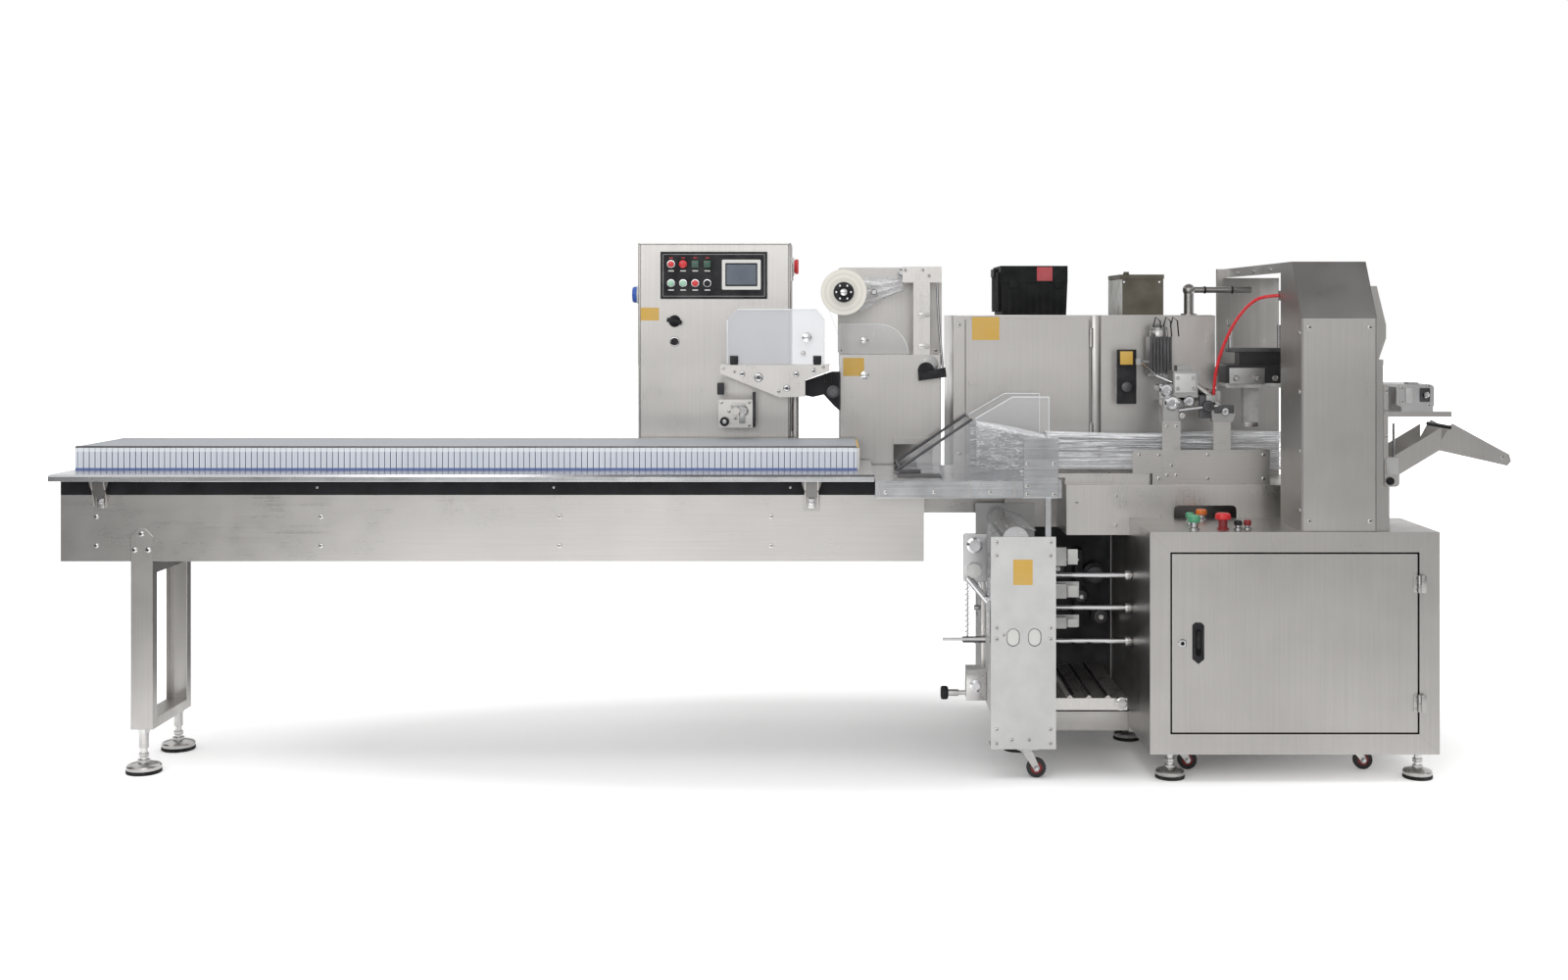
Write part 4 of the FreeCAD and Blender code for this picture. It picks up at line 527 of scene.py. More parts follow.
def fasteners(name, points, facing, radius, height, metal, recess, body=BASE, seed=7):
    """One joined mesh of screws at points, all looking along facing, or each along its own vector."""
    group = bpy.data.node_groups.get("fasteners") or fastener_group()
    mesh = bpy.data.meshes.new(name + "_points")
    mesh.from_pydata([tuple(p) for p in points], [], [])
    vectors = mesh.attributes.new("facing", "FLOAT_VECTOR", "POINT")
    each = facing if isinstance(facing, list) else [facing] * len(points)
    vectors.data.foreach_set("vector", [c for v in each for c in v])
    holder = bpy.data.objects.new(name + "_points", mesh)
    bpy.context.scene.collection.objects.link(holder)
    modifier = holder.modifiers.new("fasteners", "NODES")
    modifier.node_group = group
    settings = {"Radius": radius, "Height": height, "Seed": seed, "Metal": metal, "Recess": recess}
    for item in group.interface.items_tree:
        if item.in_out == "INPUT" and item.name in settings:
            modifier[item.identifier] = settings[item.name]
    bpy.context.view_layer.update()
    graph = bpy.context.evaluated_depsgraph_get()
    made_mesh = bpy.data.meshes.new_from_object(holder.evaluated_get(graph), depsgraph=graph)
    bpy.data.objects.remove(holder)
    made_mesh.name = name
    made_mesh.polygons.foreach_set("use_smooth", [True] * len(made_mesh.polygons))
    made_mesh.set_sharp_from_angle(angle=math.radians(35))
    made = bpy.data.objects.new(name, made_mesh)
    bpy.context.scene.collection.objects.link(made)
    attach(made, body)
    return made


# ---- the materials of the machine ----
STEEL = (0.500, 0.484, 0.467)
WALL_LENGTH_MM = 2326.0
SLAT_PITCH_MM = 17.23
SLAT_GAP_MM = 2.5
HEAD_X_MM = 3165


def make_materials():
    """All materials by short name."""
    wall = low("slat_walls")
    reel = (low("film_reel") + high("film_reel")) / 2
    slat_count = int(WALL_LENGTH_MM // SLAT_PITCH_MM)
    margin = (WALL_LENGTH_MM - slat_count * SLAT_PITCH_MM + SLAT_GAP_MM) / 2 * MM
    made = {
        "steel_x": brushed("steel_x", STEEL, 0.32, (3, 260, 260), 0.08, 0.2),
        "steel_z": brushed("steel_z", STEEL, 0.34, (260, 260, 3)),
        "steel_dark": brushed("steel_dark", scaled(STEEL, 0.85), 0.38, (260, 260, 3), 0.12),
        "steel_light": brushed("steel_light", scaled(STEEL, 1.22), 0.30, (260, 260, 3), 0.06, 0.2),
        "bright": brushed("bright", (0.58, 0.585, 0.60), 0.22, (3, 200, 200), 0.06, 0.25),
        "panel_light": cast("panel_light", (0.56, 0.56, 0.555), 0.5, 500.0, 0.55, 0.06, 0.2),
        "black_paint": cast("black_paint", (0.018, 0.018, 0.02), 0.42, 300.0, 0.0, 0.3, 0.2),
        # Near black for seams and joints, and painted shade in the gap round the cabinet door, in screw
        # sockets, keyholes, the handle recess and vent slots.
        "dark_joint_and_painted_shade": cast("dark_joint_and_painted_shade", (0.006, 0.006, 0.007), 0.7, 200.0, 0.0, 0.2, 0.1),
        "cover_sheet": clear("cover_sheet", (0.32, 0.34, 0.37), 0.95, 0.97, 0.5),
        "acrylic": clear("acrylic", (0.86, 0.87, 0.91), 0.40, 0.85, 0.10),
        "acrylic_thin": clear("acrylic_thin", (0.92, 0.93, 0.95), 0.10, 0.7, 0.05),
        "acrylic_edge": plastic("acrylic_edge", (0.80, 0.83, 0.85), 0.2, 200.0, 0.0, 0.05),
        "film": clear("film", (0.92, 0.93, 0.95), 0.05, 0.55, 0.09, 0.66, (0.22, 6, 8), 8.0),
        "web": clear("web", (0.90, 0.91, 0.93), 0.12, 0.6, 0.08, 0.50, (1.6, 2.0, 7), 9.0),
        "slats": slats("slats", wall.x + margin, SLAT_PITCH_MM * MM, wall.z, high("slat_walls").z),
        "reel": reel_look("reel", (reel.x, reel.z), 0.032),
        "plated": cast("plated", (0.50, 0.49, 0.48), 0.28, 300.0, 1.0, 0.15, 0.3),
        "chrome": cast("chrome", (0.56, 0.56, 0.57), 0.14, 200.0, 1.0, 0.05, 0.05),
        "rod": brushed("rod", (0.70, 0.70, 0.71), 0.16, (2, 300, 300), 0.04, 0.1),
        "aluminium": cast("aluminium", (0.50, 0.50, 0.50), 0.42, 600.0, 1.0, 0.08, 0.35),
        "cast_dark": cast("cast_dark", (0.10, 0.10, 0.105), 0.45, 350.0, 0.7, 0.35, 0.5),
        "block_grey": cast("block_grey", (0.38, 0.38, 0.375), 0.4, 500.0, 0.9, 0.12, 0.35),
        "black_plastic": plastic("black_plastic", (0.014, 0.014, 0.016), 0.38),
        "case_plastic": plastic("case_plastic", (0.008, 0.0085, 0.009), 0.55, 500.0, 0.02, 0.5),
        "rubber": plastic("rubber", (0.012, 0.012, 0.012), 0.7, 700.0, 0.08, 0.4),
        "red": plastic("red", (0.55, 0.02, 0.025), 0.25, 300.0, 0.02, 0.05),
        "dark_red": plastic("dark_red", (0.22, 0.012, 0.015), 0.35, 300.0, 0.03, 0.05),
        "green": plastic("green", (0.07, 0.30, 0.16), 0.25, 300.0, 0.05, 0.05),
        "pale_green": plastic("pale_green", (0.30, 0.52, 0.38), 0.28, 300.0, 0.04, 0.05),
        "dark_green": plastic("dark_green", (0.02, 0.07, 0.045), 0.3, 300.0, 0.05, 0.05),
        "amber": plastic("amber", (0.60, 0.14, 0.02), 0.22, 300.0, 0.02, 0.05),
        "white": plastic("white", (0.62, 0.62, 0.60), 0.4, 300.0, 0.03, 0.05),
        "blue": plastic("blue", (0.02, 0.09, 0.42), 0.3, 300.0, 0.02, 0.05),
        "yellow": plastic("yellow", (0.57, 0.35, 0.06), 0.5, 250.0, 0.10, 0.1),
        "sticker_red": plastic("sticker_red", (0.36, 0.035, 0.045), 0.55, 250.0, 0.08, 0.1),
        "hose": plastic("hose", (0.55, 0.012, 0.018), 0.25, 200.0, 0.02, 0.05),
        "junction": cast("junction", (0.115, 0.105, 0.085), 0.36, 300.0, 0.5, 0.22, 0.3),
        "galvanised": cast("galvanised", (0.44, 0.44, 0.42), 0.4, 90.0, 0.9, 0.25, 0.3),
        "screen": cast("screen", (0.13, 0.15, 0.18), 0.16, 60.0, 0.0, 0.12, 0.02),
        "bracket_steel": brushed("bracket_steel", scaled(STEEL, 0.45), 0.36, (260, 260, 3), 0.1, 0.2),
        # Near black for painted shade: the back of the film bay, the bar behind its drives and the dark strips
        # beside the guide unit's lower plate.
        "painted_shade_dark": cast("painted_shade_dark", (0.045, 0.045, 0.048), 0.5, 260.0, 0.5, 0.3, 0.3),
        "jaw": two_tone("jaw", (0.40, 0.40, 0.39), (0.016, 0.016, 0.018), high("jaw_head").z - 0.105, 0.0,
                        0.36, 0.42),
        "foot": two_tone("foot", (0.014, 0.014, 0.014), (0.60, 0.60, 0.59),
        low("levelling_feet").z + 0.010, 1.0,
                         0.7, 0.22),
        "wheel": two_tone("wheel", (0.015, 0.014, 0.014), (0.015, 0.014, 0.014), 9.0, 0.0, 0.55, 0.5),
    }
    MATERIALS.update(made)


NODE_LOOKS = {
    "steel_x": ("infeed_bed", "carrier_beam", "bay_frame", "seal_plates"),
    "jaw": ("jaw_head",),
    "steel_z": (
        "infeed_leg_frame", "control_box", "stand_box", "stand_plate", "cabinet_shell", "cabinet_frame",
        "cabinet_door", "main_base", "rear_housing", "seal_cover", "seal_roof", "outfeed_frame", "chute",
    ),
    "steel_dark": ("seal_sides", "table_brackets", "conduit"),
    "steel_light": ("guide_unit", "stand_rail", "sealing_deck", "film_tray"),
    "bright": ("infeed_table", "forming_table"),
    "panel_light": ("lower_unit_frame",),
    "black_paint": ("table_rails", "guide_drive"),
    "cover_sheet": ("infeed_cover",),
    "acrylic": ("guide_cover",),
    "acrylic_thin": ("stand_guard", "former_box"),
    "slats": ("slat_walls",),
    "reel": ("film_reel",),
    "rod": ("guide_rods", "lower_roller_top", "lower_roller_mid", "stand_roller"),
    "aluminium": ("outfeed_head",),
    "cast_dark": ("former_bars",),
    "block_grey": ("seal_head",),
    "black_plastic": ("control_panel", "stand_lever", "door_fittings"),
    "case_plastic": ("tool_case",),
    "junction": ("junction_box",),
    "foot": ("levelling_feet",),
    "plated": ("caster_fork_unit", "caster_fork_left", "caster_fork_right"),
    "wheel": ("caster_wheel_unit", "caster_wheel_left", "caster_wheel_right"),
    "film": ("film_tube",),
    "hose": ("air_hose",),
    "chrome": ("box_controls", "top_buttons"),
}
SOFT_EDGES = (
    "control_box", "cabinet_frame", "cabinet_door", "seal_cover", "stand_box", "rear_housing", "main_base",
    "infeed_leg_frame", "infeed_table", "forming_table", "outfeed_head", "jaw_head", "sealing_deck",
    "lower_unit_frame", "guide_cover", "former_box", "stand_guard", "junction_box",
)


class WrapperSettings(bpy.types.PropertyGroup):
    """Sizes shared by the operators."""

    edge_width: bpy.props.FloatProperty(
        name="Edge width", description="Width of the rounded edges on sheet metal", default=0.0012,
        min=0.0002,
        subtype="DISTANCE", unit="LENGTH",
    )
    screw_radius: bpy.props.FloatProperty(
        name="Screw radius", description="Head radius of the panel screws", default=0.0062, min=0.001,
        subtype="DISTANCE", unit="LENGTH",
    )
    screw_height: bpy.props.FloatProperty(
        name="Screw height", description="Height of the panel screw heads", default=0.0042, min=0.001,
        subtype="DISTANCE", unit="LENGTH",
    )
    film_ripple: bpy.props.FloatProperty(
        name="Film ripple", description="Depth of the wrinkles in the film tube", default=0.006, min=0.0,
        subtype="DISTANCE", unit="LENGTH",
    )
    seed: bpy.props.IntProperty(name="Seed", description="Seed for screw angles and film wrinkles",
        default=11)


def settings():
    return bpy.context.scene.flow_wrapper


def screws(name, points, facing=FRONT, scale=1.0, body=BASE, metal="plated"):
    sizes = settings()
    return fasteners(name, points, facing, sizes.screw_radius * scale, sizes.screw_height * scale,
                     MATERIALS[metal], MATERIALS["dark_joint_and_painted_shade"], body, sizes.seed)


# ---- operators ----
class OBJECT_OT_wrapper_materials(bpy.types.Operator):
    """Give every CAD node its material and soft edges"""

    bl_idname = "object.wrapper_materials"
    bl_label = "Materials"

    def execute(self, context):
        make_materials()
        dressed = set()
        for look, nodes in NODE_LOOKS.items():
            for node in nodes:
                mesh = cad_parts[node].data
                mesh.materials.clear()
                mesh.materials.append(MATERIALS[look])
                dressed.add(node)
        missing = sorted(set(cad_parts) - dressed)
        if missing:
            raise RuntimeError(f"no material for {missing}")
        for node in SOFT_EDGES:
            soften(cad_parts[node], settings().edge_width)
        return {"FINISHED"}


def soften(obj, width):
    """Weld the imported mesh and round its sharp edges."""
    weld = obj.modifiers.new("weld", "WELD")
    weld.merge_threshold = 0.00002
    bevel = obj.modifiers.new("bevel", "BEVEL")
    bevel.width = width
    bevel.segments = 2
    bevel.limit_method = "ANGLE"
    bevel.angle_limit = math.radians(50)
    bevel.use_clamp_overlap = True
    bevel.harden_normals = False


class OBJECT_OT_wrapper_infeed(bpy.types.Operator):
    """Dress the infeed conveyor: screws, brackets, end block and lid strip"""

    bl_idname = "object.wrapper_infeed"
    bl_label = "Infeed"

    def execute(self, context):
        bed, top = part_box("infeed_bed")
        points, ways = [], []
        for tie in (105.0, 760.0, 1455.0, 2072.0):
            for rise in (46.0, 131.0):
                x = bed.x + tie * MM
                points += [(x, bed.y, bed.z + rise * MM), (x, top.y, bed.z + rise * MM)]
                ways += [FRONT, BACK]
        screws("bed_screws", points, ways)
        legs, leg_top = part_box("infeed_leg_frame")
        middle = (legs.x + leg_top.x) / 2
        points, ways = [], []
        for dx, dz in ((0, -16), (-20, -63), (20, -63)):
            for y, way in ((legs.y, FRONT), (leg_top.y, BACK)):
                points.append((middle + dx * MM, y, leg_top.z + dz * MM))
                ways.append(way)
        screws("leg_screws", points, ways, 1.2)
        rail, rail_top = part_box("table_rails")
        points, ways = [], []
        for k in range(3):
            x = rail.x + (748 + k * 690) * MM
            for y, way in ((rail.y, FRONT), (rail_top.y, BACK)):
                points.append((x, y, (rail.z + rail_top.z) / 2))
                ways.append(way)
        screws("rail_screws", points, ways, 0.45)
        self.brackets()
        self.cover_trim()
        return {"FINISHED"}

    def brackets(self):
        """Clamp plates and studs on the table brackets."""
        kit = Kit()
        box_low, box_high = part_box("table_brackets")
        for x in (box_low.x + 24 * MM, box_high.x - 24 * MM):
            for y, out in ((low("infeed_bed").y, -1), (high("infeed_bed").y, 1)):
                z = high("infeed_bed").z - 20 * MM
                kit.box((x - 0.010, y, z - 0.018), (x + 0.010, y + out * 0.012, z + 0.012), "plated", 0.002)
                kit.lathe(((7, 0), (7, 6), (4, 6.5), (4, 12)), (x, y + out * 0.012, z), "chrome", 16,
                    axis=(0, out, 0))
                top = box_high.z
                edge = [(-0.034, 0), (0.034, 0), (0.026, -0.030), (0.013, -0.064), (-0.013, -0.064),
                    (-0.026, -0.030)]
                kit.plate(edge[::out], (x, y + out * 0.024, top - 0.001), -0.003 * out, "bracket_steel",
                    0.0006)
        kit.piece("bracket_clamps")

    def cover_trim(self):
        """Darker strip along the lid, end caps on the slat walls and the moulded block at the outfeed end."""
        a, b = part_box("infeed_cover")
        wall_low, wall_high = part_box("slat_walls")
        kit = Kit()
        kit.box((a.x + 0.004, b.y - 0.042, b.z - 0.0005), (b.x - 0.004, b.y - 0.006, b.z + 0.0008),
            "steel_dark", 0.0003)
        kit.box((a.x + 0.002, a.y + 0.001, b.z - 0.0005), (b.x - 0.002, a.y + 0.012, b.z + 0.0012),
            "steel_dark", 0.0004)
        kit.box((a.x + 0.002, a.y - 0.0006, b.z - 0.0035), (b.x - 0.002, a.y + 0.0015, b.z + 0.0004),
            "cast_dark", 0.0004)
        for y in (wall_low.y + 0.0062, wall_high.y - 0.0182):
            kit.box((b.x - 0.02, y, wall_low.z), (b.x + 0.008, y + 0.012, wall_high.z - 0.002), "white",
                0.002)
        kit.box((b.x - 0.003, wall_low.y + 0.02, b.z - 0.010), (b.x + 0.006, wall_high.y - 0.02,
            b.z - 0.002), "yellow", 0.001)
        kit.piece("cover_trim")
        self.chain()

    def chain(self):
        """Carrying chain with pushers inside the tunnel."""
        a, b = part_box("infeed_cover")
        z = high("infeed_table").z
        middle = (a.y + b.y) / 2
        kit = Kit()
        kit.box((a.x + 0.02, middle - 0.045, z), (b.x - 0.02, middle - 0.020, z + 0.003), "cast_dark",
            0.0008)
        kit.box((a.x + 0.02, middle + 0.020, z), (b.x - 0.02, middle + 0.045, z + 0.003), "cast_dark",
            0.0008)
        for k in range(18):
            x = a.x + (70 + k * 127) * MM
            kit.box((x, middle - 0.012, z), (x + 0.012, middle + 0.012, z + 0.040), "white", 0.003)
        kit.piece("pusher_chain")


class OBJECT_OT_wrapper_controls(bpy.types.Operator):
    """Build the control panel's buttons, screen, knob, lock, socket and main switch"""

    bl_idname = "object.wrapper_controls"
    bl_label = "Controls"

    def execute(self, context):
        a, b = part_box("control_panel")
        face = b.y - 0.006
        front = low("control_box").y
        kit = Kit()
        first_x, first_z = a.x + 0.034, (a.z + b.z) / 2 - 0.0255
        layout = (("pale_green", "pale_green", "red", "black_plastic"),
            ("red", "mushroom", "dark_green", "dark_green"))
        for row, kinds in enumerate(layout):
            for column, kind in enumerate(kinds):
                at = Vector((first_x + column * 0.0385, face, first_z + row * 0.061))
                self.button(kit, at, kind)
                kit.box(at + Vector((-0.009, -0.0008, -0.0235)), at + Vector((0.009, 0.0003, -0.0195)),
                    "white", 0.0003)
                if row:
                    kit.box(at + Vector((-0.006, -0.0008, 0.0185)), at + Vector((0.006, 0.0003, 0.0212)),
                        "red", 0.0003)
        s_right, s_mid = b.x - 0.020, (a.z + b.z) / 2
        self.screen(kit, s_right - 0.062, s_mid + 0.002, a.y)
        for x0, x1, z0, z1 in ((a.x, b.x, b.z - 0.009, b.z - 0.008), (a.x, b.x, a.z + 0.008, a.z + 0.009),
                               (a.x + 0.008, a.x + 0.009, a.z, b.z), (b.x - 0.009, b.x - 0.008, a.z, b.z)):
            kit.box((max(x0, a.x + 0.008), face - 0.0006, max(z0, a.z + 0.008)),
                (min(x1, b.x - 0.008), face + 0.0004, min(z1, b.z - 0.008)), "block_grey", 0.0)
        knob = Vector((low("control_box").x + 0.117, front, high("control_box").z - 0.249))
        kit.lathe(((19, 0), (19, 4), (15, 6), (14, 14)), knob, "black_plastic")
        turn = Matrix.Rotation(math.radians(12), 3, "Y")
        kit.box(knob + Vector((-0.024, -0.024, -0.007)), knob + Vector((0.024, -0.012, 0.007)),
            "black_plastic", 0.004, turn, 3)
        lock = knob - Vector((0, 0, 0.065))
        kit.lathe(((15.5, 0), (15.5, 3), (14, 5), (10, 5.5), (10, 9), (4, 9)), lock, "chrome")
        kit.lathe(((12.5, 4), (12.5, 9.8), (6, 10.4), (5, 9.6)), lock, "black_plastic")
        # Painted shade: a near-black slot for the lock's keyway.
        kit.box(lock + Vector((-0.0012, -0.0095, -0.005)), lock + Vector((0.0012, -0.0085, 0.005)),
            "dark_joint_and_painted_shade", 0.0002)
        side = Vector((low("control_box").x, front + 0.060, high("control_box").z - 0.164))
        kit.lathe(((30, 0), (30, 6), (28, 8)), side, "white", axis=LEFT)
        kit.lathe(((26, 8), (26, 18), (23, 23), (16, 23), (15, 12)), side, "blue", axis=LEFT)
        switch = Vector((high("control_box").x, front + 0.060, high("control_box").z - 0.074))
        kit.lathe(((30, 0), (30, 9), (27, 10)), switch, "white", axis=RIGHT)
        kit.lathe(((20, 9), (19, 14)), switch, "red", axis=RIGHT)
        kit.box(switch + Vector((0.012, -0.008, -0.024)), switch + Vector((0.024, 0.008, 0.024)), "red",
            0.004)
        kit.piece("control_fittings", replaces=("box_controls",))
        self.box_trim()
        return {"FINISHED"}

    def button(self, kit, at, kind):
        bezel = "black_plastic" if kind in ("dark_green", "mushroom") else "chrome"
        kit.lathe(((13.5, 0), (13.5, 2), (12.5, 4.2), (10.5, 4.4)), at, bezel)
        if kind == "mushroom":
            kit.lathe(((7, 4), (7, 7), (12.5, 8.5), (12.5, 10.5), (9, 11.8), (3, 12)), at, "red")
        elif kind == "dark_green":
            kit.box(at + Vector((-0.0115, -0.010, -0.0115)), at + Vector((0.0115, -0.004, 0.0115)),
                "dark_green", 0.003)
        else:
            kit.lathe(((10.2, 3), (10.2, 8.5), (9.5, 10), (4, 11.2)), at, kind)

    def screen(self, kit, x, z, face):
        kit.plate(rounded_outline(0.134, 0.106, 0.006), (x, face + 0.003, z), 0.0025, "black_plastic",
            0.0008)
        kit.plate(rounded_outline(0.124, 0.096, 0.004), (x, face + 0.0008, z), 0.0010, "white", 0.0003)
        kit.plate(rounded_outline(0.102, 0.074, 0.002), (x, face - 0.0002, z), 0.0004, "black_plastic", 0.0)
        kit.plate(rounded_outline(0.094, 0.064, 0.002), (x, face - 0.0006, z), 0.0003, "screen", 0.0)

    def box_trim(self):
        """Door seam, top flange, hinges and the bare yellow plates on the control box."""
        a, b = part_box("control_box")
        kit = Kit()
        kit.box((a.x + 0.004, a.y - 0.0004, b.z - 0.006), (b.x - 0.004, a.y + 0.001, b.z - 0.0045),
            "dark_joint_and_painted_shade", 0.0)
        kit.box((a.x + 0.007, a.y - 0.0004, a.z + 0.02), (a.x + 0.0085, a.y + 0.001, b.z - 0.006),
            "dark_joint_and_painted_shade", 0.0)
        kit.box((b.x - 0.0085, a.y - 0.0004, a.z + 0.02), (b.x - 0.007, a.y + 0.001, b.z - 0.006),
            "dark_joint_and_painted_shade", 0.0)
        for z in (a.z + 0.12, b.z - 0.12):
            kit.lathe(((6, 0), (6, 55)), (b.x + 0.002, a.y + 0.012, z), "plated", 16, axis=UP)
        kit.box((a.x + 0.12, b.y, a.z + 0.10), (b.x - 0.12, b.y + 0.002, a.z + 0.22), "steel_dark", 0.0008)
        # Painted shade: near-black slits in the vent plate on the back.
        for k in range(9):
            kit.box((a.x + 0.14, b.y + 0.0015, a.z + 0.115 + k * 0.011),
                (b.x - 0.14, b.y + 0.0032, a.z + 0.119 + k * 0.011), "dark_joint_and_painted_shade", 0.0)
        kit.piece("control_box_trim")
        plates = Kit()
        self.label(plates, a.x + 0.008, a.z + 0.529, 0.059, 0.041, a.y)
        stand = low("stand_box")
        self.label(plates, stand.x + 0.012, stand.z + 0.352, 0.067, 0.058, stand.y + 0.013)
        house = low("rear_housing")
        panel_y = house.y + 0.010
        self.label(plates, house.x + 0.059, house.z + 0.593, 0.087, 0.073, panel_y)
        unit = low("lower_unit_frame")
        self.label(plates, unit.x + 0.197, unit.z + 0.476, 0.056, 0.073, unit.y)
        plates.piece("blank_plates")

    def label(self, kit, x, z, width, height, y):
        """A bare yellow plate with rounded corners and no lettering."""
        middle = (x + width / 2, y + 0.0002, z + height / 2)
        kit.plate(rounded_outline(width, height, 0.002), middle, 0.0006, "yellow", 0.0)


class OBJECT_OT_wrapper_guides(bpy.types.Operator):
    """Dress the guide unit, its clear cover and the film stand"""

    bl_idname = "object.wrapper_guides"
    bl_label = "Guides and film stand"

    def execute(self, context):
        self.cover()
        self.unit()
        self.stand()
        self.web()
        return {"FINISHED"}

    def cover(self):
        a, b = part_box("guide_cover")
        kit = Kit()
        for x in (a.x + 0.016, b.x - 0.030):
            kit.box((x - 0.006, a.y - 0.0015, a.z + 0.006), (x + 0.020, a.y + 0.0005, a.z + 0.028),
                "black_plastic", 0.001)
            kit.lathe(((4.2, 0), (4.2, 24)), (x - 0.005, a.y + 0.002, a.z + 0.0035), "black_plastic", 14,
                axis=RIGHT)
        knob = Vector((b.x - 0.055, a.y, a.z + 0.086))
        kit.lathe(((15, 0), (15, 4), (9, 6), (8, 12), (12, 16), (11, 22), (4, 24)), knob, "chrome", 28)
        kit.lathe(((7, 0), (7, 4), (3, 6)), knob - Vector((0.012, 0, 0.050)), "plated", 20)
        edge = "acrylic_edge"
        kit.box((a.x + 0.033, a.y + 0.0005, b.z - 0.0035), (b.x - 0.027, a.y + 0.0025, b.z - 0.0008), edge,
            0.0006)
        kit.box((a.x + 0.0005, a.y + 0.0005, a.z + 0.003), (a.x + 0.003, a.y + 0.0025, b.z - 0.034), edge,
            0.0006)
        kit.box((b.x - 0.003, a.y + 0.0005, a.z + 0.003), (b.x - 0.0005, a.y + 0.0025, b.z - 0.034), edge,
            0.0006)
        kit.piece("guide_cover_fittings", "guide_cover_body")

    def unit(self):
        b = high("guide_unit")
        face = low("control_box").y - 0.065
        kit = Kit()
        for dx, dz, r in ((127, 160, 14), (76, 171, 9), (216, 126, 11), (246, 170, 9), (300, 180, 7)):
            x, z = b.x - 0.351 + dx * MM, b.z - 0.200 + dz * MM
            kit.lathe(((r, 0), (r, 5), (r * 0.8, 7.5), (r * 0.45, 8), (r * 0.40, 6)), (x, face, z),
                "chrome", 28)
            kit.lathe(((r * 0.55, 0), (r * 0.55, 9), (r * 0.2, 9.5)), (x, face, z), "cast_dark", 6)
        low_plate = Vector((b.x - 0.351, face + 0.005, b.z - 0.199))
        for dx, dz, r in ((78, 54, 17), (20, 20, 14)):
            kit.lathe(((r, 0), (r, 6), (r * 0.75, 10), (r * 0.4, 10)),
                low_plate + Vector((dx * MM, 0, dz * MM)), "plated", 26)
        kit.box(low_plate + Vector((0.040, -0.008, 0.062)), low_plate + Vector((0.085, 0, 0.076)),
            "block_grey", 0.002)
        kit.box(low_plate + Vector((0.066, -0.012, 0.015)), low_plate + Vector((0.084, 0, 0.045)),
            "block_grey", 0.002)
        kit.lathe(((14.5, 5), (14.5, 12), (11, 14), (5, 14.2)), low_plate + Vector((0.020, 0, 0.020)),
            "black_plastic", 28)
        kit.lathe(((6.5, 13.5), (6.5, 15.5), (2, 16)), low_plate + Vector((0.020, 0, 0.020)), "chrome", 20)
        # Painted shade: a dark strip down the right edge of the lower plate and a dark block above its top left
        # corner stand in for shadow there.
        kit.box(low_plate + Vector((0.108, -0.001, 0.002)), low_plate + Vector((0.116, 0.030, 0.112)),
            "painted_shade_dark", 0.001)
        kit.box(low_plate + Vector((-0.004, 0.001, 0.104)), low_plate + Vector((0.018, 0.012, 0.142)),
            "painted_shade_dark", 0.003)
        kit.piece("guide_unit_parts")
        points = places(low_plate, ((10, 80), (98, 80), (98, 8), (54, 30), (34, 52)))
        points += [Vector((b.x - x * MM, face, b.z - z * MM)) for x, z in ((20, 8), (50, 14), (335, 12),
            (300, 22), (160, 84))]
        screws("guide_screws", points, scale=0.75)
        drive = low("guide_drive")
        kit = Kit()
        kit.lathe(((20, 0), (20, 6), (14, 8), (13, 14)), (drive.x + 0.088, drive.y, drive.z + 0.060),
            "cast_dark", 28)
        for k in range(5):
            kit.box((drive.x + (60 + k * 7) * MM, drive.y - 0.004, drive.z + 0.088),
                (drive.x + (63 + k * 7) * MM, drive.y + 0.001, drive.z + 0.118), "black_plastic", 0.001)
        kit.piece("guide_drive_parts")

    def stand(self):
        a = low("stand_box")
        front = a.y + 0.013
        kit = Kit()
        kit.lathe(((13, 0), (13, 5), (8, 6.5), (7.5, 11), (3, 12)),
            (a.x + 0.081, front - 0.0002, a.z + 0.355), "chrome")
        kit.lathe(((26, 0), (26, 4), (20, 6), (8, 6)), (a.x + 0.289, front, a.z + 0.390), "block_grey")
        rail_low, rail_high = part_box("stand_rail")
        x = rail_low.x + 0.0735
        for dz in (20, 120):
            kit.box((x - 0.022, rail_low.y - 0.010, rail_low.z + dz * MM),
                (x + 0.012, rail_low.y, rail_low.z + (dz + 14) * MM), "plated", 0.002)
        kit.tube([(x + 0.036, rail_low.y + 0.02, rail_high.z - 0.01),
            (x + 0.042, rail_low.y + 0.02, rail_low.z + 0.12), (x + 0.056, rail_low.y + 0.012,
            rail_low.z - 0.045)], 0.004, "chrome")
        for px, pz in ((0.118, 0.200), (0.205, 0.262)):
            kit.lathe(((10, 0), (10, 105), (7, 108)), (low("stand_plate").x + px,
                high("stand_plate").y - 0.038, low("stand_plate").z + pz), "chrome", 22)
        guard_low, guard_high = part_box("stand_guard")
        self.guard_edge(kit, guard_low, guard_high)
        hub = (low("film_reel") + high("film_reel")) / 2
        kit.lathe(((10.5, 0), (10.5, 10), (6, 12)), (hub.x, low("stand_plate").y + 0.001, hub.z), "chrome",
            24)
        kit.piece("stand_parts")
        hub_y = low("film_reel").y
        chuck = Kit()
        chuck.lathe(((30, -0.5), (30, 6), (24, 8.5), (16.5, 8.5), (16.5, 4), (12.5, 4)),
            (hub.x, hub_y + 0.0005, hub.z), "black_plastic", 40)
        for k in range(6):
            angle = math.pi * k / 3
            at = Vector((hub.x + 0.023 * math.cos(angle), hub_y - 0.0075, hub.z + 0.023 * math.sin(angle)))
            chuck.lathe(((3, 0), (3, 2), (1, 2.5)), at, "chrome", 12)
        chuck.piece("reel_chuck", "reel")
